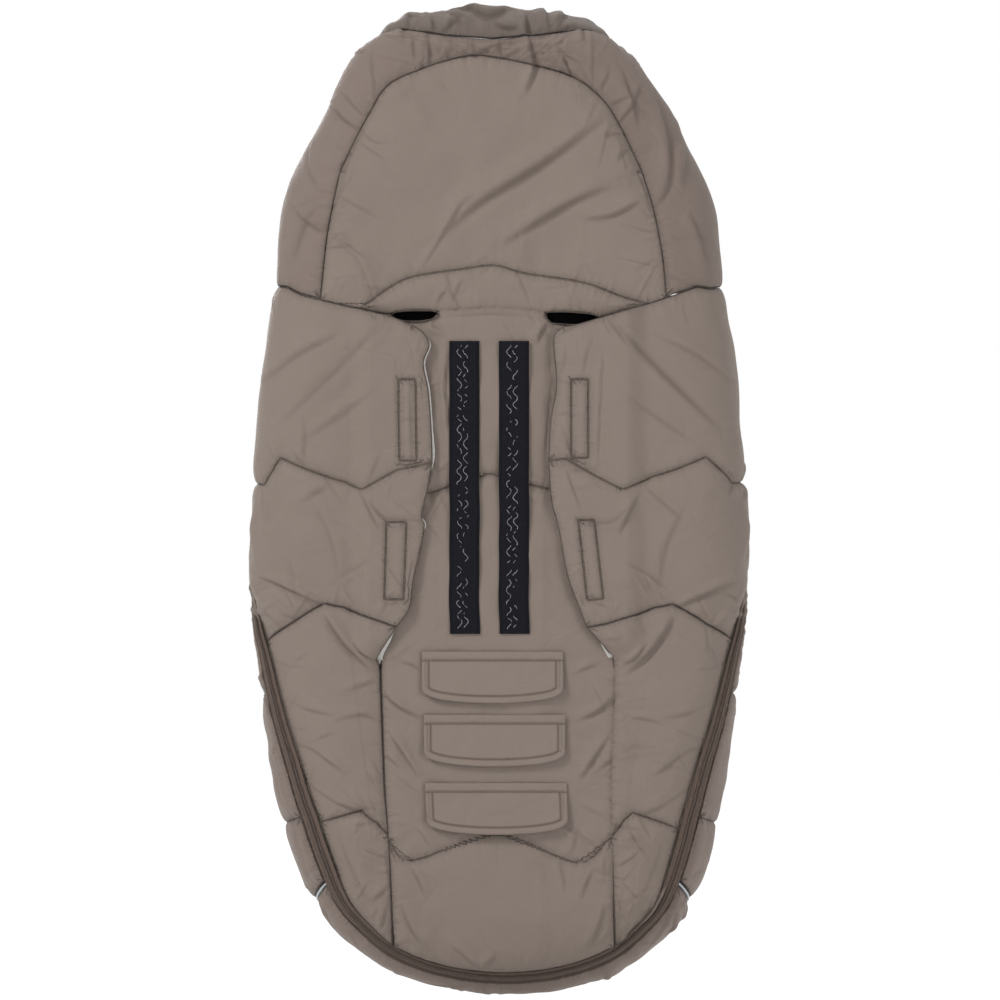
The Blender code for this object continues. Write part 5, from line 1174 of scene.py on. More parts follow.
def chest_panel(finish, lining_finish):
    """The upper cover panel, which folds down, with its lining."""
    places, normals, chains, side = front_plan(CHEST_LOW, CHEST_HIGH, [CHEST_SEAM], 130, 62)
    mesh = quilt("chest_cover", places, normals, chains, side, bpy.context.scene.footmuff_sizes.loft, 0.36, 82, (), 40)
    piece = add_piece("chest_cover", mesh, finish, "cover_upper", ("chest_panel",))
    places, normals, chains, _ = front_plan(CHEST_LOW, CHEST_HIGH, [CHEST_SEAM], 84, 40)
    lining("chest_lining_cloth", places, normals, lining_finish, "cover_upper", ("chest_lining",), 75,
           ["chest_cover"], seams=chains)
    return piece


def chest_hem(finish):
    """The bound top edge: a rounded fold |y / half|^p + |z / half|^p = 1 along X, with a soft ripple."""
    low, high = (np.array(corner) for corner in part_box("chest_hem"))
    middle, half = 0.5 * (low + high), 0.5 * (high - low)
    x = np.linspace(low[0] + 0.0003, high[0] - 0.0003, 190)
    turn = np.linspace(0.0, 2.0 * math.pi, 41)
    cosine, sine = np.cos(turn), np.sin(turn)
    power = 0.62
    y = np.sign(cosine) * np.abs(cosine) ** power * half[1] * 0.86
    z = np.sign(sine) * np.abs(sine) ** power * (half[2] - 0.0003)
    ripple = 1.0 + 0.06 * wave(x, (0.012, 0.019, 0.033), 91)[:, None]
    places = np.stack([np.broadcast_to(x[:, None], (len(x), len(turn))), middle[1] + y * ripple,
                       middle[2] + z + 0.0002 * wave(x, (0.04, 0.07), 92)[:, None]], axis=-1)
    return add_piece("chest_hem_fold", tube_mesh("chest_hem_fold", places), finish, "cover_upper",
                     ("chest_hem",))


def tube_mesh(name, rings):
    """A closed tube of rings, whose first and last points meet, with a fan at each end."""
    rings = rings[:, :-1]
    count, around = rings.shape[:2]
    number = np.arange(count * around).reshape(count, around)
    beside = np.roll(number, -1, axis=1)
    quads = np.stack([number[:-1], beside[:-1], beside[1:], number[1:]], axis=-1).reshape(-1, 4)
    points = np.concatenate([rings.reshape(-1, 3), rings[:1].mean(axis=1), rings[-1:].mean(axis=1)])
    ends = [(number[0, k], count * around, beside[0, k]) for k in range(around)]
    ends += [(number[-1, k], beside[-1, k], count * around + 1) for k in range(around)]
    mesh = bpy.data.meshes.new(name)
    mesh.from_pydata(sway(points).tolist(), [], quads.tolist() + ends)
    corner = points[quads[0]]
    ring = rings[0].mean(axis=0)
    if np.cross(corner[1] - corner[0], corner[3] - corner[0]) @ (corner[0] - ring) < 0.0:
        mesh.flip_normals()
    run = arc_lengths(rings[:, 0])
    flat = np.zeros((len(points), 2))
    flat[:count * around, 1] = np.repeat(run, around)
    flat[:count * around, 0] = np.tile(np.linspace(0.0, 1.0, around) * 0.02, count)
    layer = mesh.uv_layers.new(name="cloth")
    loops = np.zeros(len(mesh.loops), np.int32)
    mesh.loops.foreach_get("vertex_index", loops)
    layer.uv.foreach_set("vector", flat[loops].reshape(-1).astype(np.float32))
    mesh.validate()
    mesh.shade_smooth()
    return mesh


def cap_chart(shift):
    """Left half of the foot cap's seam: its end at the zip, round the side, to the middle of the front."""
    end = zip_path(ZIP_HALF_WIDTH + ZIP_EDGE_GAP)[PIPING_ROW * ZIP_STEPS][None, :]
    seam = np.array(CAP_SEAM)
    round_side = plan_chart(seam[:2], FRONT)
    flat = plan_chart(seam[2:] + (0.0, shift), FRONT)
    return np.vstack([np.vstack([end, round_side]) - (0.0, shift, 0.0), flat])


def band_edges():
    """A side band's edge at the zip, its edge at the front, the foot cap's seam, and its own last line there."""
    inner = plan_chart(np.stack([np.full(5, -CHEST_EDGE - 0.001), BAND_HEIGHTS], axis=1), FRONT)
    seam = cap_chart(PIPING_ROOM)
    last = seam[3::-1].copy()
    last[0] = inner[-1]
    return zip_path(ZIP_HALF_WIDTH + ZIP_EDGE_GAP), inner, seam, last


def cover_band(word, finish):
    """One side band of the lower cover, from the front seam round the side to the zip on the back."""
    edge, inner, seam, last = band_edges()
    lines = [np.vstack([inner[[k]], edge[[mark * ZIP_STEPS]]]) for k, mark in enumerate(BAND_MARKS[:-1])] + [last]
    outer = [edge[low * ZIP_STEPS:high * ZIP_STEPS + 1] for low, high in zip(BAND_MARKS[:-1], BAND_MARKS[1:])]
    outer[-1] = np.vstack([outer[-1][:-1], seam[:1]])
    inside = [inner[k:k + 2] for k in range(4)]
    grid = turned(patch(lines, inside, outer, 84, (46, 66, 52, 36)), word)
    seams = [chart_point(spread(turned(line, word), 50)) for line in lines[1:-1]]
    places, normals = chart_frame(grid)
    loft = bpy.context.scene.footmuff_sizes.loft
    height, groove, away, run = relief(places, normals, border(places) + seams, loft, 0.36,
                                       83 if word == "left" else 84, on_surface(COVER_FOLDS, back_places))
    beside, _ = nearest_line(places, [places[:, -1]])
    height = height + 0.0036 * zip_swell(places) * np.exp(-(beside / 0.010) ** 2)
    height = np.clip(height, LEAST_HEIGHT, 1.18 * loft)
    mesh = shell_mesh(f"side_cover_{word}", places + normals * height[..., None], places, groove, None, (away, run))
    return add_piece(f"side_cover_{word}", mesh, finish, "cover_lower", (f"cover_band_{word}",))


COVER_FOLDS = (
    (((300, 800), (306, 840), (318, 880)), 0.007, 0.0018),
    (((700, 790), (692, 840), (680, 880)), 0.007, 0.0018),
    (((668, 900), (664, 925), (652, 955)), 0.005, 0.0026),
    (((280, 740), (286, 780), (294, 810)), 0.006, 0.0014),
    (((336, 930), (350, 950), (372, 972)), 0.006, 0.0016),
)


def cap_grid(columns, rows, gap):
    """Chart grid of the foot cap: from the zip on the back, round the toe, to its seam on the front."""
    low = unfold(zip_path(ZIP_HALF_WIDTH + gap)[PIPING_ROW * ZIP_STEPS:], OUTLINE_END)
    seam = unfold(cap_chart(-PIPING_ROOM), OUTLINE_END)
    low[0] = seam[0]
    high = seam[1:]
    low[-1, 0] = high[-1, 0] = 0.0
    return refold(rectangle(both_sides(low), both_sides(high), columns, rows), OUTLINE_END)


def foot_cap(finish, lining_finish):
    """The padded foot end below the reflective piping, with its lining."""
    places, normals = chart_frame(cap_grid(220, 72, ZIP_EDGE_GAP))
    mesh = quilt("foot_end", places, normals, [], 1.0, bpy.context.scene.footmuff_sizes.loft, 0.40, 85,
                 on_surface(COVER_FOLDS, back_places), 60, 0.012, 0.040)
    piece = add_piece("foot_end", mesh, finish, "cover_lower", ("foot_cap",))
    places, normals = chart_frame(cap_grid(140, 48, ZIP_EDGE_GAP))
    lining("foot_end_lining", places, normals, lining_finish, "cover_lower", ("foot_cap_lining",), 76,
           ["foot_end"], gap=CAP_LINING_GAP)
    return piece


def cover_lining(finish):
    """The lining of the lower cover, in three parts: behind the middle panel and behind each side band."""
    low = cap_line() + (0.0, PIPING_ROOM)
    places, normals, chains, _ = front_plan(low, FRONT_TOP, FRONT_SEAMS, 84, 130)
    lining("cover_lining_middle", places, normals, finish, "cover_lower", ("cover_lining",), 77, ["front_cover"],
           COVER_LINING_GAP, chains)
    edge, inner, seam, last = band_edges()
    edge = edge[BAND_MARKS[0] * ZIP_STEPS:BAND_MARKS[-1] * ZIP_STEPS + 1]
    edge[-1] = seam[0]
    for word in SIDES:
        grid = turned(patch([np.vstack([inner[:1], edge[:1]]), last], [inner], [edge], 54, [140]), word)
        places, normals = chart_frame(grid)
        lining(f"cover_lining_{word}", places, normals, finish, "cover_lower", (), 78,
               [f"side_cover_{word}"], COVER_LINING_GAP)


def piping(finish):
    """The reflective piping: a round cord along the foot cap's seam, with its sewn flange hidden in it."""
    seam = unfold(cap_chart(0.0), OUTLINE_END)
    seam[-1, 0] = 0.0
    seam = both_sides(smooth(seam, 12))
    places, normals = chart_frame(refold(spread(seam, 420), OUTLINE_END))
    middle = places + normals * 2.6 * PIPING_RADIUS
    across = unit(np.cross(unit(np.gradient(middle, axis=0)), normals))
    turn = np.linspace(0.0, 2.0 * math.pi, 13)[None, :, None]
    rings = middle[:, None] + PIPING_RADIUS * (np.cos(turn) * normals[:, None] + np.sin(turn) * across[:, None])
    return add_piece("piping_cord", tube_mesh("piping_cord", rings), finish, "cover_lower",
                     ("reflective_piping",))


COIL_LIFT = 0.0034
TAPE_THICK = 0.0008
# Down the bag's sides the zip stands up from the base and leans out, so that the back shows it whole
ZIP_RISE, ZIP_TILT = 0.0040, 0.20
TOOTH_PITCH, TOOTH_HALF, TOOTH_HEIGHT, TOOTH_AT = 0.0016, 0.00118, 0.0015, 0.0013
FLAP_HALF, FLAP_DROP, FLAP_BOW, FLAP_ROUND = 0.0705, 0.0335, 0.018, 0.62
FLAP_BAND = 0.0092
FLAP_HEM, FLAP_HEM_WIDTH = 0.0070, 0.0011
TAPE_MIDDLES = {"left": -0.0345, "right": 0.0150}
GRIP_TOP, GRIP_LENGTH, GRIP_WIDTH = 0.1450, 0.2920, 0.0300
GRIP_THICK, BEAD_END, BEAD_STEP = 0.0012, 0.004, 0.0003
BEAD_OFFSETS, BEAD_PERIOD, BEAD_SWING, BEAD_RADIUS = (-0.0050, 0.0012), 0.0132, 0.0021, 0.00042
HINGE_X = 0.1275
LIP_LIFT, LIP_HALF_DEPTH = 0.0040, 0.0034
STITCH_LENGTH, STITCH_GAP, STITCH_WIDTH = 0.0026, 0.0011, 0.00032


def zip_run(offset, first, last, both, word):
    """A line beside the zip in unfolded values: one side, or both sides round the toe."""
    line = unfold(zip_path(offset)[first * ZIP_STEPS:None if last is None else last * ZIP_STEPS + 1], OUTLINE_END)
    if both:
        line[-1, 0] = 0.0
        return both_sides(line)
    return line if word == "left" else line * (-1.0, 1.0)


def zip_tape(name, direction, first, last, both, word, finish, body, nodes):
    """One half of the zip's woven tape: ridges along it, h = 0.00034 sin(2 pi w / 0.0023), and a soft ripple."""
    inner, outer = 0.00015 * direction, ZIP_HALF_WIDTH * direction
    low = zip_run(inner, first, last, both, word)
    high = zip_run(outer, first, last, both, word)
    count = 640 if both else 120
    flat = np.array([spread(low, count) * (1.0 - s) + spread(high, count) * s for s in np.linspace(0.0, 1.0, 17)])
    places, normals = chart_frame(refold(flat, OUTLINE_END))
    across = np.linspace(0.0, ZIP_HALF_WIDTH, 17)[:, None]
    run = np.broadcast_to(arc_lengths(places[8])[None, :], places.shape[:2])
    low_side = ZIP_LIFT - 0.0001 + 0.00045 * wave(run, (0.021, 0.034, 0.055), 101)
    low_side = low_side + zip_swell(places) * (ZIP_RISE + ZIP_TILT * direction * across)
    height = low_side + 0.0001 + TAPE_THICK + 0.00034 * np.sin(2.0 * math.pi * across / 0.0023)
    height = height + 0.0010 * smoothstep(across, 0.0054, 0.0066)
    # Painted shade: darker towards the tape's outer edge, beside the panel's edge, and along two narrow lines on the
    # tape.
    groove = np.maximum(smoothstep(across, 0.0060, 0.0070), 0.6 * np.exp(-((across - 0.0031) / 0.0004) ** 2))
    groove = np.broadcast_to(np.maximum(groove, 0.4 * np.exp(-((across - 0.0050) / 0.0003) ** 2)), height.shape)
    mesh = shell_mesh(name, places + normals * height[..., None], places + normals * low_side[..., None], groove)
    return add_piece(name, mesh, finish, body, nodes)


def bead_mesh(name, points):
    """Separate beads of four rings of six points each, closed at both ends."""
    number = np.arange(24).reshape(4, 6)
    beside = np.roll(number, -1, axis=1)
    quads = np.stack([number[:-1], beside[:-1], beside[1:], number[1:]], axis=-1).reshape(-1, 4)
    ends = np.stack([number[0, ::-1], number[3]])
    base = 24 * np.arange(len(points))[:, None, None]
    mesh = bpy.data.meshes.new(name)
    mesh.from_pydata(points.reshape(-1, 3).tolist(), [],
                     (quads + base).reshape(-1, 4).tolist() + (ends + base).reshape(-1, 6).tolist())
    corner = points[0].reshape(-1, 3)[quads[0]]
    if np.cross(corner[1] - corner[0], corner[3] - corner[0]) @ (corner[0] - points[0].mean(axis=(0, 1))) < 0.0:
        mesh.flip_normals()
    mesh.shade_smooth()
    return mesh


def zip_teeth(name, direction, first, last, both, word, finish, body, nodes):
    """The coil on one half of the zip: a rounded loop at every pitch, half a pitch apart on the two halves."""
    line = spread(zip_run(TOOTH_AT * direction, first, last, both, word), 4000)
    places, normals = chart_frame(refold(line, OUTLINE_END))
    run = arc_lengths(places)
    start = TOOTH_PITCH * (0.30 if direction > 0 else 0.80)
    at = np.arange(start, run[-1] - 0.0012, TOOTH_PITCH)
    middle = read_at(at, run, places)
    normal = unit(read_at(at, run, normals))
    along = unit(read_at(at, run, np.gradient(places, run, axis=0)))
    across = np.cross(along, normal)
    stand = COIL_LIFT + zip_swell(middle)[:, None] * (ZIP_RISE + ZIP_TILT * direction * TOOTH_AT)
    profile = np.array([(-1.0, 0.0), (-0.94, 0.62), (-0.55, 1.0), (0.55, 1.0), (0.94, 0.62), (1.0, 0.0)])
    points = []
    for width, shift in ((0.62, -1.0), (1.0, -0.45), (1.0, 0.45), (0.62, 1.0)):
        step = along * (shift * 0.30 * TOOTH_PITCH)
        side = across[:, None] * (profile[:, 0] * TOOTH_HALF * (0.9 + 0.1 * width))[None, :, None]
        rise = normal[:, None] * (stand + profile[:, 1] * TOOTH_HEIGHT * width)[..., None]
        points.append(middle[:, None] + step[:, None] + side + rise)
    return add_piece(name, bead_mesh(name, sway(np.stack(points, axis=1))), finish, body, nodes)


def zips(tape_finish, coil_finish):
    """Both halves of the zip: the bag's, the lower cover's round the toe, and the chest's two upright ones."""
    zip_tape("zip_tape_bag", -1.0, 0, None, True, "left", tape_finish, "bag", ("zip_tape_body",))
    zip_teeth("zip_teeth_bag", -1.0, 0, None, True, "left", coil_finish, "bag", ("zip_coil_body",))
    zip_tape("zip_tape_lower", 1.0, 4, None, True, "left", tape_finish, "cover_lower", ("zip_tape_cover",))
    zip_teeth("zip_teeth_lower", 1.0, 4, None, True, "left", coil_finish, "cover_lower", ("zip_coil_cover",))
    for word in SIDES:
        zip_tape(f"zip_tape_upper_{word}", 1.0, 0, 4, False, word, tape_finish, "cover_upper",
                 (f"zip_tape_chest_{word}",))
        zip_teeth(f"zip_teeth_upper_{word}", 1.0, 0, 4, False, word, coil_finish, "cover_upper",
                  (f"zip_coil_chest_{word}",))


def flap_lining(word, finish):
    """The pale lining of a harness flap, whose edge shows past the flap's own in places."""
    turn = TURN[word]
    edge = plan(smooth(LINING_EDGE[word], 6))
    hinge = np.stack([np.full(2, turn * HINGE_X), (edge[0, 1], edge[-1, 1])], axis=1)
    lines = [np.vstack([edge[:1], hinge[:1]]), np.vstack([edge[-1:], hinge[-1:]])]
    points = patch(lines, [edge], [hinge], 40, [230])
    places, normals = plan_frame(points, BACK)
    lift = FLAP_LIFT[word] * flap_share(places)
    run = arc_lengths(places[:, 0])[:, None]
    inward = np.linspace(0.0, 1.0, 40)[None, :]
    curl = np.exp(-inward / 0.10)
    top = np.maximum(lift - 0.0002 + curl * (0.0006 + 0.0008 * wave(run, (0.017, 0.029, 0.047), 111)), 0.0004)
    low = np.minimum(np.maximum(lift - 0.0011, -0.0006), top - 0.0007)
    mesh = shell_mesh(f"flap_lining_{word}", places + normals * top[..., None], places + normals * low[..., None])
    piece = add_piece(f"flap_lining_{word}", mesh, finish, f"harness_flap_{word}")
    return cut_sheet(piece)


def mouth_shade_sheet(word, finish):
    """A near-black sheet that hangs behind a slot's mouth from the yoke seam, open at its foot: painted shade for the
    dark inside of the slot.
    """
    turn = TURN[word]
    points = np.stack(np.meshgrid(np.linspace(*SHADE_SHEET_X, 46) * turn, np.linspace(*SHADE_SHEET_Z, 22)), axis=-1)
    places, normals = plan_frame(points, BACK)
    sag = 0.00015 * np.linspace(0.0, 1.0, 22)[:, None] - 0.0006 + 0.00012 * wave(points[..., 0], (0.02, 0.033), 113)
    mesh = shell_mesh(f"mouth_facing_{word}", places - normals * sag[..., None],
                      places - normals * (sag + 0.0007)[..., None])
    return cut_sheet(add_piece(f"mouth_facing_{word}", mesh, finish, "bag"))


def mouth_lip(word, finish):
    """The bound lips of a slot's mouth: a narrow rolled edge above it and one below it."""
    around = np.linspace(0.0, 2.0 * math.pi, 13)
    for part, chain in zip(("upper", "lower"), MOUTHS[word]):
        line = spread(smooth(plan(chain), 8), 90)
        middle = back_places(line) - (0.0, LIP_LIFT, 0.0)
        size = 0.0003 + 0.0004 * np.sin(math.pi * np.linspace(0.0, 1.0, 90)) ** 0.5
        ring = np.zeros((len(line), len(around), 3))
        ring[..., 1] = LIP_HALF_DEPTH * np.cos(around)
        ring[..., 2] = size[:, None] * np.sin(around)
        name = f"mouth_lip_{part}_{word}"
        add_piece(name, tube_mesh(name, middle[:, None] + ring), finish, "bag")


def crotch_flap(number, finish):
    """A crotch flap: a stitched band along its top, a topstitched border, and a bowed foot.

    Foot: z = top - drop - bow sin(t)^0.62 at x = middle - half cos(t). It bends away from the back
    towards its foot: y - 0.0034 v^2.
    """
    middle, top = SLITS[number - 1]
    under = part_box(f"crotch_flap_{number}")[1][1]
    t = np.linspace(0.0, math.pi, 150)
    x = middle - FLAP_HALF * np.cos(t)
    deep = FLAP_DROP + FLAP_BOW * np.sin(t) ** FLAP_ROUND
    share = np.linspace(0.0, 1.0, 64)[:, None]
    places = np.stack([np.broadcast_to(x, (64, 150)), np.full((64, 150), under), top - share * deep], axis=-1)
    flat = places * (1.0, 0.0, 1.0)
    chains = [np.vstack([side[::2], side[-1:]]) for side in (flat[:, 0], flat[-1], flat[:, -1])]
    away, run = nearest_line(flat, chains)
    upper = top - flat[..., 2]
    height = 0.0017 * puff(np.minimum(away, upper), 0.42, 0.0035, 0.020)
    height += 0.00055 * smoothstep(-upper, -FLAP_BAND, -FLAP_BAND + 0.0012)
    hem = np.exp(-((away - FLAP_HEM) / FLAP_HEM_WIDTH) ** 2)
    height -= 0.00045 * hem * (upper > FLAP_BAND)
    height -= 0.00050 * np.exp(-((upper - FLAP_BAND + 0.0014) / 0.0009) ** 2)
    height += (0.00022 * undulation(flat, 0.020, 120 + number)
               + 0.0002 * wave(run, (0.006, 0.010), 123) * np.exp(-away / 0.006))
    bend = 0.0034 * share ** 2 * (0.75 + 0.25 * wave(x[None, :], (0.060, 0.095), 126 + number))
    bend = bend + 0.0009 * np.exp(-(away / 0.006) ** 2) * share
    outer, inner = places.copy(), places.copy()
    outer[..., 1] -= bend + height
    inner[..., 1] -= bend
    # Painted shade along the topstitched hem and the band's stitched line, where the cloth dips.
    groove = np.maximum(hem * (upper > FLAP_BAND), np.exp(-((upper - FLAP_BAND) / 0.0009) ** 2))
    mesh = shell_mesh(f"slit_flap_{number}", outer, inner, groove)
    piece = add_piece(f"slit_flap_{number}", mesh, finish, f"crotch_flap_{number}", (f"crotch_flap_{number}",))
    return cut_sheet(piece)


def slit_binding(number, finish):
    """The bound edge round a slit: a rolled ring of two straight runs joined by half circles."""
    middle, top = SLITS[number - 1]
    centre = np.array([middle, BACK_BASE_Y - BINDING_LIFT, top - SLIT_DROP])
    half, rise = SLIT_HALF
    turn = np.linspace(0.0, 2.0 * math.pi, 241)
    x = np.sign(np.cos(turn)) * np.abs(np.cos(turn)) ** BINDING_ROUND * (half + BINDING_REACH)
    z = np.sign(np.sin(turn)) * np.abs(np.sin(turn)) ** BINDING_ROUND * (rise + BINDING_REACH)
    path = centre + np.stack([x, np.zeros_like(x), z], axis=1)
    out = unit(np.stack([x * rise / half, np.zeros_like(x), z], axis=1))
    around = np.linspace(0.0, 2.0 * math.pi, 15)[None, :, None]
    rings = path[:, None] + BINDING_WIDE * np.cos(around) * out[:, None]
    rings = rings + BINDING_THICK * np.sin(around) * np.array([0.0, -1.0, 0.0])
    return add_piece(f"slit_edge_{number}", tube_mesh(f"slit_edge_{number}", rings), finish, "bag",
                     (f"slit_binding_{number}",))


def tape_drift(height):
    """How far a grip tape strays to the side at a height."""
    return 0.0007 * wave(height, (0.060, 0.110), 131)


def tape_ripple(height):
    """How far a grip tape lifts off the panel at a height."""
    return 0.00035 * wave(height, (0.035, 0.052, 0.081), 132)


def grip_tape(word, tape_finish, silicone_finish):
    """A woven grip tape on the centre panel with two zigzag beads of silicone."""
    middle = TAPE_MIDDLES[word]
    x = np.linspace(-0.5, 0.5, 34) * GRIP_WIDTH
    z = GRIP_TOP - np.linspace(0.0, 1.0, 300) * GRIP_LENGTH
    grid = np.stack(np.meshgrid(x, z), axis=-1)
    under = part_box(f"grip_tape_{word}")[1][1]
    places = np.stack([middle + grid[..., 0] + tape_drift(grid[..., 1]), np.full(grid.shape[:2], under),
                       grid[..., 1]], axis=-1)
    edge = 0.5 * GRIP_WIDTH - np.abs(grid[..., 0])
    height = GRIP_THICK + 0.00018 * np.sin(2.0 * math.pi * grid[..., 0] / 0.0027) * smoothstep(edge, 0.0, 0.002)
    height = height - 0.0005 * np.exp(-edge / 0.0009) + tape_ripple(grid[..., 1])
    # Sewn lines 2.2 mm in from each edge: a shallow dent, with painted shade along it.
    sewn = np.exp(-((edge - 0.0022) / 0.0006) ** 2)
    height = height - 0.00030 * sewn
    outer = places - np.array([0.0, 1.0, 0.0]) * height[..., None]
    mesh = shell_mesh(f"grip_webbing_{word}", outer, places, sewn)
    piece = add_piece(f"grip_webbing_{word}", mesh, tape_finish, "bag", (f"grip_tape_{word}",))
    cut_sheet(piece)
    rng = np.random.default_rng(133 if word == "left" else 134)
    beads = []
    run = np.arange(BEAD_END, GRIP_LENGTH - BEAD_END, BEAD_STEP)
    for line, at in enumerate(BEAD_OFFSETS):
        phase = run / BEAD_PERIOD + 0.05 * line + 0.16 * wave(run, (0.05, 0.09), 135)
        corners = 2.0 * np.abs(2.0 * (phase - np.floor(phase + 0.5))) - 1.0
        zig = BEAD_SWING * np.sin(2.0 * math.pi * phase) + corners * 0.0009
        zig = zig + 0.00035 * wave(run, (0.0031, 0.0052), 139 + line)
        height = np.full_like(run, under - 0.0014) - tape_ripple(GRIP_TOP - run)
        path = np.stack([middle + at + zig + tape_drift(GRIP_TOP - run), height, GRIP_TOP - run], axis=1)
        size = BEAD_RADIUS * (0.45 + 0.85 * np.abs(wave(run, (0.0017, 0.0029, 0.0047), 137 + line)))
        across = np.cross(unit(np.gradient(path, axis=0)), (0.0, 1.0, 0.0))
        around = np.linspace(0.0, 2.0 * math.pi, 9)
        ring = path[:, None] + size[:, None, None] * (np.cos(around)[None, :, None] * across[:, None]
                                                      - np.sin(around)[None, :, None] * np.array([0.0, 1.0, 0.0]))
        cuts = np.sort(rng.integers(10, len(run) - 10, 70))
        start = 0
        for cut in [*cuts, len(run)]:
            if cut - start > 12:
                beads.append(ring[start:cut - rng.integers(2, 9)])
            start = cut
    meshes = [tube_mesh("bead", bead) for bead in beads]
    joined = join_meshes(f"grip_beads_{word}", meshes)
    add_piece(f"grip_beads_{word}", joined, silicone_finish, "bag")


def join_meshes(name, meshes):
    """One mesh out of several, as separate shells in it."""
    points, faces, start = [], [], 0
    for mesh in meshes:
        place = np.empty(len(mesh.vertices) * 3)
        mesh.vertices.foreach_get("co", place)
        points.append(place.reshape(-1, 3))
        faces += [[start + k for k in face.vertices] for face in mesh.polygons]
        start += len(mesh.vertices)
        bpy.data.meshes.remove(mesh)
    joined = bpy.data.meshes.new(name)
    joined.from_pydata(np.concatenate(points).tolist(), [], faces)
    joined.shade_smooth()
    return joined


def stitches(name, surface, paths, finish, body):
    """A row of thread stitches laid on a piece along paths in plan: a small bead for each, by a ray cast."""
    points = []
    ring = np.linspace(0.0, 2.0 * math.pi, 7)[:-1]
    for path in paths:
        path = np.asarray(path, float)
        run = arc_lengths(path)
        at = 0.5 * STITCH_GAP
        while at + STITCH_LENGTH < run[-1]:
            ends = []
            for place in (at, at + 0.5 * STITCH_LENGTH, at + STITCH_LENGTH):
                spot = [float(np.interp(place, run, path[:, k])) for k in range(2)]
                hit, where, normal, _ = surface.ray_cast(Vector((spot[0], -0.3, spot[1])), Vector((0.0, 1.0, 0.0)))
                if not hit:
                    break
                ends.append((np.array(where), np.array(normal)))
            if len(ends) == 3:
                low, high = ends[0][0], ends[2][0]
                along = high - low
                along /= max(np.linalg.norm(along), 1e-9)
                normal = ends[1][1]
                across = np.cross(along, normal)
                for share, size in ((0.0, 0.35), (0.2, 1.0), (0.8, 1.0), (1.0, 0.35)):
                    middle = low * (1.0 - share) + high * share + normal * (STITCH_WIDTH * (0.15 + 0.45 * size))
                    for angle in ring:
                        out = math.cos(angle) * across + math.sin(angle) * normal
                        points.append(middle + size * STITCH_WIDTH * out)
            at += STITCH_LENGTH + STITCH_GAP
    return add_piece(name, bead_mesh(name, np.array(points).reshape(-1, 4, 6, 3)), finish, body)


def rim_elastic(finish):
    """The flat elastic inside the rim channel, crimped by its own pull."""
    flat = rim_grid(RIM_STRIP_WIDTH * 0.36, RIM_STRIP_WIDTH * 0.64, 8, 360)
    places, normals = chart_frame(refold(flat))
    depth = 0.0005 + 0.0003 * wave(flat[..., 0], (0.006, 0.010), 64)
    mesh = shell_mesh("rim_elastic", places - normals * depth[..., None],
                      places - normals * (depth + 0.0010)[..., None])
    return add_piece("rim_elastic", mesh, finish, "bag", ("hood_elastic",))


def linear(red, green, blue):
    """Linear colour of an 8-bit screen one: ((c + 0.055) / 1.055)^2.4 above 0.04, else c / 12.92."""
    shares = [value / 255.0 for value in (red, green, blue)]
    return tuple(((c + 0.055) / 1.055) ** 2.4 if c > 0.04045 else c / 12.92 for c in shares)


def node(tree, kind, sockets=None, **settings):
    """Add a shader node: its settings, then its sockets by name or number, linked or set."""
    made = tree.nodes.new("ShaderNode" + kind)
    for key, value in settings.items():
        setattr(made, key, value)
    for key, value in (sockets or {}).items():
        if isinstance(value, bpy.types.NodeSocket):
            tree.links.new(value, made.inputs[key])
        else:
            made.inputs[key].default_value = value
    return made


def math_node(tree, operation, first, second=0.0, clamp=False):
    """Add a Math node and give its result."""
    return node(tree, "Math", {0: first, 1: second}, operation=operation, use_clamp=clamp).outputs[0]


def times(tree, first, second, clamp=False):
    """Add a Multiply node and give its result."""
    return math_node(tree, "MULTIPLY", first, second, clamp)


def mixed(tree, factor, first, second):
    """Add a colour Mix node and give its result."""
    return node(tree, "Mix", {0: factor, 6: first, 7: second}, data_type="RGBA").outputs[2]


def attribute(tree, name):
    """One of the values that shell_mesh keeps on the cloth."""
    return node(tree, "Attribute", attribute_name=name).outputs["Fac"]


def shaded(color, share):
    """A colour made lighter or darker, with full alpha."""
    return (*[channel * share for channel in color[:3]], 1.0)


def warm_shade(color, share):
    """A darker colour with more red and less blue, for painted shade inside folds and along seams."""
    return (color[0] * share * 1.16, color[1] * share, color[2] * share * 0.90, 1.0)


FINISH_PREFIX = "footmuff_"


def new_finish(name, roughness, specular=0.4, metallic=0.0, sheen=0.0, sheen_color=(1.0, 1.0, 1.0)):
    """An empty Principled material: the material, its tree, its shader and the object's own coordinates."""
    finish = bpy.data.materials.new(FINISH_PREFIX + name)
    finish.use_nodes = True
    tree = finish.node_tree
    shader = tree.nodes["Principled BSDF"]
    shader.inputs["Roughness"].default_value = roughness
    shader.inputs["Specular IOR Level"].default_value = specular
    shader.inputs["Metallic"].default_value = metallic
    shader.inputs["Sheen Weight"].default_value = sheen
    shader.inputs["Sheen Roughness"].default_value = 0.45
    shader.inputs["Sheen Tint"].default_value = (*sheen_color, 1.0)
    return finish, tree, shader, tree.nodes.new("ShaderNodeTexCoord").outputs["Object"]


def bumped(tree, shader, layers):
    """Chain Bump nodes of (height socket, distance) into a shader."""
    normal = None
    for height, distance in layers:
        sockets = {"Height": height, "Distance": distance, "Strength": 1.0}
        if normal is not None:
            sockets["Normal"] = normal
        normal = node(tree, "Bump", sockets).outputs[0]
    tree.links.new(normal, shader.inputs["Normal"])


def noise(tree, place, scale, detail=3.0, rough=0.5, twist=0.0):
    """Add a Noise texture and give its factor."""
    return node(tree, "TexNoise", {"Vector": place, "Scale": scale, "Detail": detail, "Roughness": rough,
                                   "Distortion": twist}).outputs["Fac"]


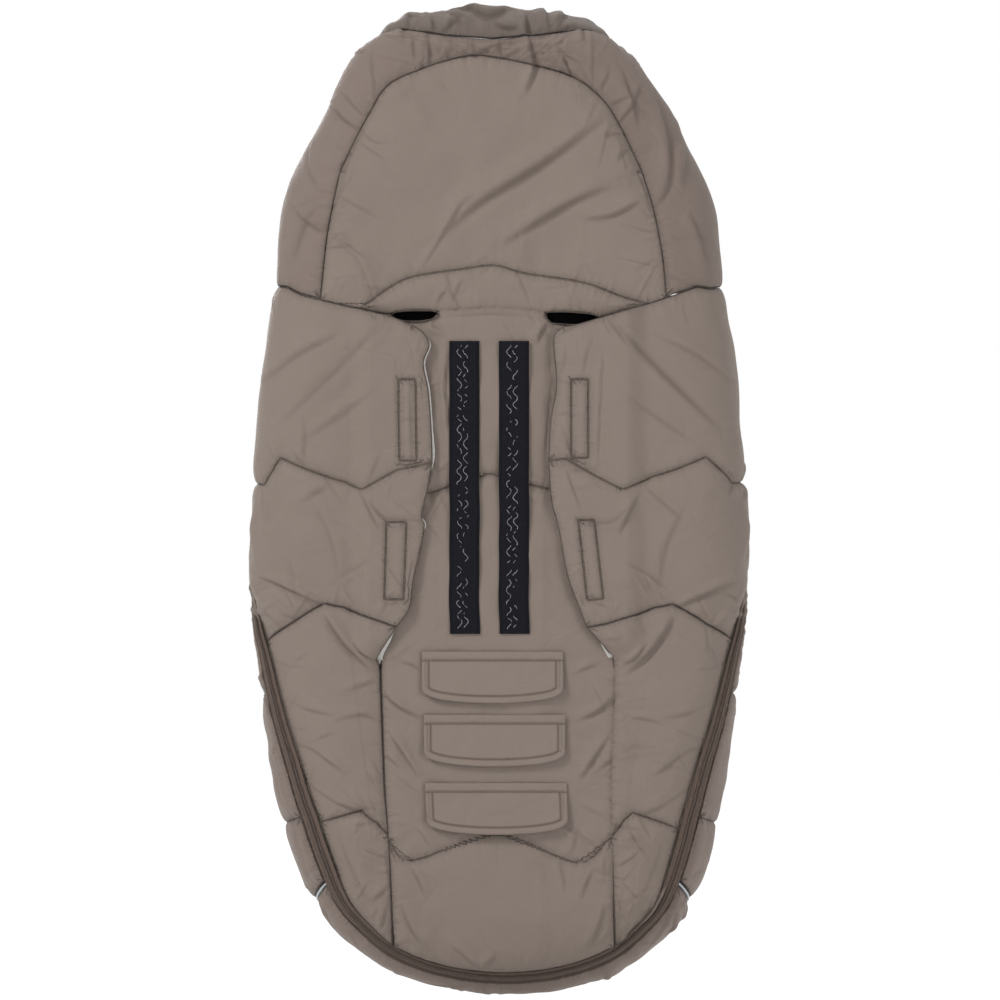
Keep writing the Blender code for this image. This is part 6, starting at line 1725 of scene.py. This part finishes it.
def weave(tree, pitch):
    """Plain weave from the cloth's own map: sin(2 pi u / pitch) sin(2 pi v / pitch)."""
    cloth = node(tree, "UVMap", uv_map="cloth").outputs[0]
    split = node(tree, "SeparateXYZ", {0: cloth})
    waves = [math_node(tree, "SINE", times(tree, split.outputs[k], 2.0 * math.pi / pitch)) for k in range(2)]
    return times(tree, *waves)


def ranged(tree, value, low, high, first, last):
    """Add a smooth Map Range node: first at low, last at high."""
    return node(tree, "MapRange", {0: value, 1: low, 2: high, 3: first, 4: last},
                interpolation_type="SMOOTHSTEP").outputs[0]


def seam_marks(tree):
    """From the cloth's attributes: its seam line, a bump dent that is also painted dark as shade, the painted shade
    beside it, and fine puckers that run off it.
    """
    away = math_node(tree, "ABSOLUTE", attribute(tree, "away"))
    # Masks of painted shade: a dark line on the seam, and softer shade beside it.
    line = ranged(tree, away, 0.0003, 0.0014, 1.0, 0.0)
    beside = ranged(tree, away, 0.0, 0.0085, 1.0, 0.0)
    place = node(tree, "CombineXYZ", {0: times(tree, attribute(tree, "along"), 210.0),
                                      1: times(tree, away, 42.0)}).outputs[0]
    pucker = math_node(tree, "SUBTRACT", noise(tree, place, 1.0, 2.0, 0.6, 0.3), 0.5)
    pucker = math_node(tree, "ABSOLUTE", pucker)
    fade = times(tree, ranged(tree, away, 0.0, 0.0012, 0.0, 1.0), ranged(tree, away, 0.001, 0.0072, 1.0, 0.0))
    return line, beside, times(tree, pucker, fade)


def shell_fabric(name, color, crease=0.0009):
    """Brushed polyester shell cloth: fine weave, small creases, puckers at its seams, dented seam lines, and painted
    shade: dark along the seam lines, beside the seams and in the creases.
    """
    finish, tree, shader, place = new_finish(name, 0.58, 0.34, 0.0, 0.12, (0.95, 0.90, 0.86))
    broad = noise(tree, place, 9.0, 3.0)
    base = mixed(tree, broad, shaded(color, 0.94), shaded(color, 1.06))
    thread = noise(tree, place, 900.0, 2.0)
    base = mixed(tree, thread, base, shaded(color, 0.92))
    line, beside, pucker = seam_marks(tree)
    # Painted shade: warm and dark in creases and seam dips, darker beside the seams, darkest along the seam lines.
    base = mixed(tree, times(tree, attribute(tree, "groove"), 0.80, True), base, warm_shade(color, 0.30))
    base = mixed(tree, times(tree, beside, 0.20), base, shaded(color, 0.45))
    base = mixed(tree, times(tree, line, 0.62), base, warm_shade(color, 0.22))
    tree.links.new(base, shader.inputs["Base Color"])
    ridge = math_node(tree, "SUBTRACT", noise(tree, place, 17.0, 3.0, 0.5, 0.8), 0.5)
    ridge = math_node(tree, "POWER", math_node(tree, "ABSOLUTE", ridge), 0.80)
    fine = math_node(tree, "SUBTRACT", noise(tree, place, 60.0, 3.0, 0.5, 0.5), 0.5)
    bumped(tree, shader, [(ridge, crease * 3.0), (fine, crease * 0.55), (pucker, 0.0046), (line, -0.0008),
                          (weave(tree, 0.0009), 0.00006)])
    return finish


def fleece(name, color):
    """Soft brushed lining: short pile, and shade that follows its clumps."""
    finish, tree, shader, place = new_finish(name, 0.9, 0.2, 0.0, 0.35, (1.0, 0.98, 0.95))
    clumps = noise(tree, place, 160.0, 4.0, 0.6)
    base = mixed(tree, clumps, shaded(color, 0.84), shaded(color, 1.04))
    # Painted shade near the lining's seams and edges, from the groove attribute.
    base = mixed(tree, times(tree, attribute(tree, "groove"), 0.45, True), base, shaded(color, 0.55))
    tree.links.new(base, shader.inputs["Base Color"])
    bumped(tree, shader, [(clumps, 0.0022), (noise(tree, place, 650.0, 2.0), 0.0008)])
    return finish


def webbing(name, color, pitch, across=1.0):
    """Woven tape: ribs across it, yarns along it, and pale lint, all in the object's own coordinates."""
    finish, tree, shader, place = new_finish(name, 0.92, 0.04, 0.0, 0.0)
    ribs = node(tree, "TexWave", {"Vector": place, "Scale": 1.0 / (pitch * 3.1), "Distortion": 1.2, "Detail": 1.0},
                wave_type="BANDS", bands_direction="Z").outputs["Fac"]
    yarns = node(tree, "TexWave", {"Vector": place, "Scale": 1.0 / (pitch * 6.2), "Distortion": 0.8, "Detail": 1.0},
                 wave_type="BANDS", bands_direction="X").outputs["Fac"]
    lint = noise(tree, place, 260.0, 4.0, 0.7)
    base = mixed(tree, ribs, shaded(color, 0.75), shaded(color, 1.35))
    lint = math_node(tree, "POWER", lint, 5.0)
    base = mixed(tree, times(tree, lint, 1.2, True), base, shaded(color, 2.6))
    # Painted shade from the groove attribute, along sewn lines and edges.
    base = mixed(tree, times(tree, attribute(tree, "groove"), 0.55, True), base, shaded(color, 0.4))
    tree.links.new(base, shader.inputs["Base Color"])
    bumped(tree, shader, [(ribs, 0.00030 * across), (yarns, 0.00022)])
    return finish


def moulded(name, color, roughness, metallic=0.0, grain=700.0, depth=0.00006, coat=0.0):
    """Hard or rubbery trim: faint mottling of its colour and gloss, and a fine surface grain."""
    finish, tree, shader, place = new_finish(name, roughness, 0.5, metallic)
    shader.inputs["Coat Weight"].default_value = coat
    mottle = noise(tree, place, 120.0, 4.0, 0.6)
    tree.links.new(mixed(tree, mottle, shaded(color, 0.82), shaded(color, 1.18)), shader.inputs["Base Color"])
    gloss = math_node(tree, "MULTIPLY_ADD", mottle, 0.25)
    gloss.node.inputs[2].default_value = roughness - 0.12
    tree.links.new(gloss, shader.inputs["Roughness"])
    bumped(tree, shader, [(noise(tree, place, grain, 3.0), depth)])
    return finish


def pile_pad(name, color, pitch, tall):
    """Hook or loop tape: rows of tiny hooks or a mat of loops, by a Voronoi pattern."""
    finish, tree, shader, place = new_finish(name, 0.8, 0.3, 0.0, 0.1)
    cells = node(tree, "TexVoronoi", {"Vector": place, "Scale": 1.0 / pitch, "Randomness": 0.55},
                 feature="F1").outputs["Distance"]
    tree.links.new(mixed(tree, cells, shaded(color, 1.4), shaded(color, 0.5)), shader.inputs["Base Color"])
    bumped(tree, shader, [(cells, -tall), (noise(tree, place, 1500.0, 2.0), 0.0002)])
    return finish


def reflective(name, color):
    """Reflective piping: a silver face with fine glass beads and a faint woven back."""
    finish, tree, shader, place = new_finish(name, 0.38, 0.6, 0.25)
    beads = noise(tree, place, 1400.0, 2.0)
    cracks = noise(tree, place, 90.0, 5.0, 0.7)
    base = mixed(tree, beads, shaded(color, 0.75), shaded(color, 1.15))
    base = mixed(tree, math_node(tree, "POWER", cracks, 4.0), base, shaded(color, 0.4))
    tree.links.new(base, shader.inputs["Base Color"])
    bumped(tree, shader, [(beads, 0.0001)])
    return finish


def straight_rays(tree):
    """1 where the camera, gloss or glass looks straight at the surface."""
    path = node(tree, "LightPath")
    seen = math_node(tree, "MAXIMUM", path.outputs["Is Camera Ray"], path.outputs["Is Glossy Ray"])
    return math_node(tree, "MAXIMUM", seen, path.outputs["Is Transmission Ray"])


def studio(name, color, share):
    """A pale stage that the camera, gloss and glass see as lit evenly, with the object's shadow left in."""
    finish = bpy.data.materials.new(name)
    finish.use_nodes = True
    tree = finish.node_tree
    tree.nodes.clear()
    seen = straight_rays(tree)
    mottle = noise(tree, node(tree, "TexCoord").outputs["Object"], 3.0)
    matte = node(tree, "BsdfDiffuse", {"Color": mixed(tree, mottle, shaded(color, 0.99), shaded(color, 1.0))})
    glow = node(tree, "Emission", {"Color": (*color, 1.0), "Strength": 1.10})
    mix = node(tree, "MixShader", {0: times(tree, seen, share), 1: matte.outputs[0], 2: glow.outputs[0]})
    tree.links.new(mix.outputs[0], node(tree, "OutputMaterial").inputs["Surface"])
    return finish


# Width of the picture at the depth of the grip tapes, and where the camera looks: X and Z
PICTURE_WIDTH, VIEW_DEPTH = 1.0, 0.02
VIEW_MIDDLE = (0.001, -0.0135)
FLOOR_HALF, FLOOR_GAP = 5, 0.012


def stage():
    """The camera square on to the back as in the photograph, soft lamps, and a pale floor and world."""
    scene = bpy.context.scene
    sizes = scene.footmuff_sizes
    camera = bpy.data.cameras.new("camera")
    camera.sensor_width = 36.0
    camera.lens = camera.sensor_width * (sizes.camera_distance + VIEW_DEPTH) / PICTURE_WIDTH
    camera.clip_end = 60.0
    view = bpy.data.objects.new("camera", camera)
    scene.collection.objects.link(view)
    view.location = (VIEW_MIDDLE[0], -sizes.camera_distance, VIEW_MIDDLE[1])
    view.rotation_euler = (0.5 * math.pi, 0.0, 0.0)
    scene.camera = view
    scene.view_settings.view_transform = "Standard"
    lamps = (("key", (-2.7, -2.4, 2.9), 1.3, sizes.key_light), ("fill", (2.8, -3.2, 0.6), 2.2, sizes.fill_light),
             ("top", (0.3, 1.2, 3.4), 2.0, sizes.top_light), ("front", (-0.8, 3.2, 1.2), 2.4, sizes.back_light))
    for name, place, size, power in lamps:
        light = bpy.data.lights.new(name, "AREA")
        light.shape = "DISK"
        light.size = size
        light.energy = power
        lamp = bpy.data.objects.new(name, light)
        scene.collection.objects.link(lamp)
        lamp.location = place
        lamp.rotation_euler = (Vector((0.0, 0.0, 0.0)) - Vector(place)).to_track_quat("-Z", "Y").to_euler()
    world = bpy.data.worlds.new("studio")
    scene.world = world
    world.use_nodes = True
    tree = world.node_tree
    tree.nodes.clear()
    seen = straight_rays(tree)
    soft = node(tree, "Background", {"Color": (0.97, 0.98, 1.0, 1.0), "Strength": sizes.world_light})
    white = node(tree, "Background", {"Color": (1.0, 1.0, 1.0, 1.0), "Strength": 1.0})
    mix = node(tree, "MixShader", {0: seen, 1: soft.outputs[0], 2: white.outputs[0]})
    tree.links.new(mix.outputs[0], node(tree, "OutputWorld").inputs["Surface"])
    mesh = bpy.data.meshes.new("floor")
    mesh.from_pydata([(x * FLOOR_HALF, y * FLOOR_HALF, 0) for x, y in ((-1, -1), (1, -1), (1, 1), (-1, 1))], [],
                     [(0, 1, 2, 3)])
    floor = bpy.data.objects.new("floor", mesh)
    scene.collection.objects.link(floor)
    floor.location = (0.0, 0.0, CAD_BOX[0][2] - FLOOR_GAP)
    mesh.materials.append(studio("pale_floor", (1.0, 1.0, 1.0), 0.90))


def colour_property(name, description, red, green, blue):
    """A colour property whose default is an 8-bit screen colour."""
    return bpy.props.FloatVectorProperty(name=name, description=description, subtype="COLOR", size=3, min=0.0,
                                         max=1.0, default=linear(red, green, blue))


def size_property(name, description, default, unit="LENGTH", high=10.0):
    """A size property with its unit."""
    return bpy.props.FloatProperty(name=name, description=description, default=default, min=0.0, max=high,
                                   unit=unit, precision=4)


class FootmuffSizes(bpy.types.PropertyGroup):
    """Sizes of the filling, the light and the camera."""

    loft: size_property("Loft", "Greatest thickness of the side, hood and cover quilts", 0.010)
    centre_loft: size_property("Centre loft", "Greatest thickness of the back's middle and head panels", 0.0086)
    pucker: size_property("Puckers", "How strongly the cloth puckers beside its seams, as a factor", 1.0, "NONE", 3.0)
    camera_distance: size_property("Camera distance", "Distance of the camera from the grip tapes", 6.0)
    key_light: size_property("Key lamp", "Power of the large lamp at the upper left, in watts", 97.0, "NONE", 2000.0)
    fill_light: size_property("Fill lamp", "Power of the lamp at the right, in watts", 36.0, "NONE", 2000.0)
    top_light: size_property("Top lamp", "Power of the lamp over the hood, in watts", 24.0, "NONE", 2000.0)
    back_light: size_property("Front lamp", "Power of the lamp before the cover, in watts", 62.0, "NONE", 2000.0)
    world_light: size_property("World light", "Strength of the even light from all round", 0.34, "NONE", 5.0)


class FootmuffColours(bpy.types.PropertyGroup):
    """Colours of the fabrics and the trim."""

    shell: colour_property("Shell", "Polyester of the back panels and flaps", 141, 127, 117)
    band: colour_property("Band", "Polyester of the hood band and the cover", 135, 120, 111)
    rim: colour_property("Rim", "Cloth of the strip round the face opening", 118, 106, 98)
    lining: colour_property("Lining", "Brushed lining inside the bag", 222, 219, 213)
    tape: colour_property("Grip tape", "Woven tapes that grip the seat", 33, 33, 38)
    silicone: colour_property("Silicone", "Zigzag beads on the grip tapes", 158, 158, 162)
    # The near-black colour of the sheets behind the slots' mouths, which paint the shade inside the slots.
    facing: colour_property("Facing", "Dark facing behind the slots' mouths", 10, 10, 11)
    zip_tape: colour_property("Zip tape", "Woven tape of the zips", 116, 102, 93)
    zip_coil: colour_property("Zip coil", "Teeth of the zips", 104, 90, 82)
    slider: colour_property("Slider", "Painted sliders and pulls of the zips", 82, 71, 64)
    piping: colour_property("Piping", "Reflective piping at the foot", 190, 194, 198)
    elastic: colour_property("Elastic", "Elastic inside the rim", 48, 46, 45)
    thread: colour_property("Thread", "Sewing thread of the topstitching", 118, 105, 97)


# Finishes: the maker, the colour's name, and what else the maker takes
FINISHES = {
    "shell": (shell_fabric, "shell"),
    "shell_band": (shell_fabric, "band", 0.0011),
    "rim_fabric": (shell_fabric, "rim", 0.0012),
    "lining": (fleece, "lining"),
    "grip_tape": (webbing, "tape", 0.0012),
    "silicone": (moulded, "silicone", 0.42, 0.0, 500.0, 0.00008),
    # Finish of the sheets behind the slots' mouths: painted shade for the dark inside of the slots.
    "facing": (webbing, "facing", 0.0010),
    "zip_tape": (webbing, "zip_tape", 0.0007, 0.5),
    "zip_coil": (moulded, "zip_coil", 0.42, 0.0, 900.0, 0.00004),
    "slider": (moulded, "slider", 0.34, 0.35, 800.0, 0.00005, 0.3),
    "piping": (reflective, "piping"),
    "elastic": (webbing, "elastic", 0.0009),
    "hook_tape": (pile_pad, "tape", 0.0016, 0.0007),
    "loop_tape": (pile_pad, "lining", 0.0011, 0.0005),
    "thread": (moulded, "thread", 0.6, 0.0, 1500.0, 0.00005),
}


def finish_named(name):
    """A finish of this footmuff, made the first time that it is asked for."""
    found = bpy.data.materials.get(FINISH_PREFIX + name)
    if found:
        return found
    maker, colour, *rest = FINISHES[name]
    return maker(name, getattr(bpy.context.scene.footmuff_colours, colour), *rest)


def dress_node(name, finish):
    """Give a CAD node that stays its finish."""
    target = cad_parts[name]
    target.data.materials.clear()
    target.data.materials.append(finish_named(finish))
    for face in target.data.polygons:
        face.material_index = 0


class FOOTMUFF_OT_stage(bpy.types.Operator):
    """Set up the camera, the lamps, the floor and the world"""

    bl_idname = "footmuff.stage"
    bl_label = "Stage"

    def execute(self, context):
        stage()
        return {"FINISHED"}


class FOOTMUFF_OT_back(bpy.types.Operator):
    """Make the back's middle panel and the bound edges of its slits"""

    bl_idname = "footmuff.back"
    bl_label = "Back panel"

    def execute(self, context):
        centre_panel(finish_named("shell"))
        for number in (1, 2, 3):
            slit_binding(number, finish_named("shell"))
        return {"FINISHED"}


class FOOTMUFF_OT_sides(bpy.types.Operator):
    """Make the sides of the back, whose upper cloth runs on into the harness flaps"""

    bl_idname = "footmuff.sides"
    bl_label = "Sides and harness flaps"

    def execute(self, context):
        for word, turn in TURN.items():
            upper = side_upper(word, finish_named("shell"))
            side_lower(word, finish_named("shell"))
            flap_lining(word, finish_named("lining"))
            mouth_shade_sheet(word, finish_named("facing"))
            mouth_lip(word, finish_named("shell"))
            boxes = [np.vstack([plan(box), plan(box[:1])]) for box in STITCH_BOXES[word]]
            bpy.context.view_layer.update()
            stitches(f"flap_stitches_{word}", upper, boxes, finish_named("thread"), f"harness_flap_{word}")
            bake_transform(upper)
            for place in ("upper", "lower"):
                dress_node(f"flap_pad_{word}_{place}", "hook_tape")
                dress_node(f"base_pad_{word}_{place}", "loop_tape")
        return {"FINISHED"}


class FOOTMUFF_OT_hood(bpy.types.Operator):
    """Make the hood's head panel and the band round it"""

    bl_idname = "footmuff.hood"
    bl_label = "Hood"

    def execute(self, context):
        crown_panel(finish_named("shell"))
        hood_band(finish_named("shell_band"))
        return {"FINISHED"}


class FOOTMUFF_OT_rim(bpy.types.Operator):
    """Make the gathered rim of the face opening with its elastic and facing"""

    bl_idname = "footmuff.rim"
    bl_label = "Hood rim"

    def execute(self, context):
        rim_strip(finish_named("rim_fabric"))
        rim_elastic(finish_named("elastic"))
        return {"FINISHED"}


class FOOTMUFF_OT_linings(bpy.types.Operator):
    """Make the brushed linings of the back, the sides, the hood and the cover"""

    bl_idname = "footmuff.linings"
    bl_label = "Linings"

    def execute(self, context):
        finish = finish_named("lining")
        centre_lining(finish)
        for word in SIDES:
            side_lining(word, finish)
        hood_lining(finish)
        cover_lining(finish)
        return {"FINISHED"}


class FOOTMUFF_OT_crotch_flaps(bpy.types.Operator):
    """Make the three crotch flaps with their topstitching"""

    bl_idname = "footmuff.crotch_flaps"
    bl_label = "Crotch flaps"

    def execute(self, context):
        for number in (1, 2, 3):
            flap = crotch_flap(number, finish_named("shell"))
            middle, top = SLITS[number - 1]
            turn = np.linspace(0.32, math.pi - 0.32, 90)
            foot = np.stack([middle - FLAP_HALF * np.cos(turn),
                             top - FLAP_DROP - FLAP_BOW * np.sin(turn) ** FLAP_ROUND + FLAP_HEM], axis=1)
            x = np.array([foot[0, 0], foot[-1, 0]])
            path = np.vstack([[x[0], top - FLAP_BAND], foot, [x[1], top - FLAP_BAND]])
            band = np.array([(middle - FLAP_HALF + 0.001, top - FLAP_BAND + 0.0014),
                             (middle + FLAP_HALF - 0.001, top - FLAP_BAND + 0.0014)])
            bpy.context.view_layer.update()
            stitches(f"slit_flap_stitches_{number}", flap, [path, band], finish_named("thread"),
                     f"crotch_flap_{number}")
        return {"FINISHED"}


class FOOTMUFF_OT_grip_tapes(bpy.types.Operator):
    """Make the two grip tapes with their beads of silicone"""

    bl_idname = "footmuff.grip_tapes"
    bl_label = "Grip tapes"

    def execute(self, context):
        for word in SIDES:
            grip_tape(word, finish_named("grip_tape"), finish_named("silicone"))
        return {"FINISHED"}


class FOOTMUFF_OT_cover(bpy.types.Operator):
    """Make the front cover: its middle, its side bands, the chest panel and its bound top"""

    bl_idname = "footmuff.cover"
    bl_label = "Cover"

    def execute(self, context):
        front_panel(finish_named("shell"))
        for word in SIDES:
            cover_band(word, finish_named("shell_band"))
        chest_panel(finish_named("shell"), finish_named("lining"))
        chest_hem(finish_named("shell_band"))
        return {"FINISHED"}


class FOOTMUFF_OT_foot(bpy.types.Operator):
    """Make the padded foot end and the reflective piping over it"""

    bl_idname = "footmuff.foot"
    bl_label = "Foot end"

    def execute(self, context):
        foot_cap(finish_named("shell_band"), finish_named("lining"))
        piping(finish_named("piping"))
        return {"FINISHED"}


class FOOTMUFF_OT_zips(bpy.types.Operator):
    """Make the zip's tapes and teeth, and finish its sliders and pulls"""

    bl_idname = "footmuff.zips"
    bl_label = "Zips"

    def execute(self, context):
        zips(finish_named("zip_tape"), finish_named("zip_coil"))
        for word in SIDES:
            dress_node(f"zip_slider_{word}", "slider")
            dress_node(f"zip_pull_{word}", "slider")
        return {"FINISHED"}


STEPS = (FOOTMUFF_OT_stage, FOOTMUFF_OT_back, FOOTMUFF_OT_sides, FOOTMUFF_OT_hood, FOOTMUFF_OT_rim,
         FOOTMUFF_OT_linings, FOOTMUFF_OT_crotch_flaps, FOOTMUFF_OT_grip_tapes, FOOTMUFF_OT_cover, FOOTMUFF_OT_foot,
         FOOTMUFF_OT_zips)


class FOOTMUFF_PT_panel(bpy.types.Panel):
    """Sizes, colours and steps of the footmuff"""

    bl_label = "Stroller footmuff"
    bl_idname = "FOOTMUFF_PT_panel"
    bl_space_type = "VIEW_3D"
    bl_region_type = "UI"
    bl_category = "Footmuff"

    def draw(self, context):
        layout = self.layout
        for group in (context.scene.footmuff_sizes, context.scene.footmuff_colours):
            box = layout.box()
            for name in group.__annotations__:
                box.prop(group, name)
        for step in STEPS:
            layout.operator(step.bl_idname)


CLASSES = (FootmuffSizes, FootmuffColours, *STEPS, FOOTMUFF_PT_panel)


def register():
    """Register the classes and put the sizes and colours on the scene."""
    for item in CLASSES:
        bpy.utils.register_class(item)
    bpy.types.Scene.footmuff_sizes = bpy.props.PointerProperty(type=FootmuffSizes)
    bpy.types.Scene.footmuff_colours = bpy.props.PointerProperty(type=FootmuffColours)


def unregister():
    """Take the sizes and colours off the scene and unregister the classes."""
    del bpy.types.Scene.footmuff_colours
    del bpy.types.Scene.footmuff_sizes
    for item in reversed(CLASSES):
        bpy.utils.unregister_class(item)


def main():
    """Dress the frame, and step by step."""
    register()
    for step in STEPS:
        group, name = step.bl_idname.split(".")
        getattr(getattr(bpy.ops, group), name)()


if __name__ == "__main__":
    main()
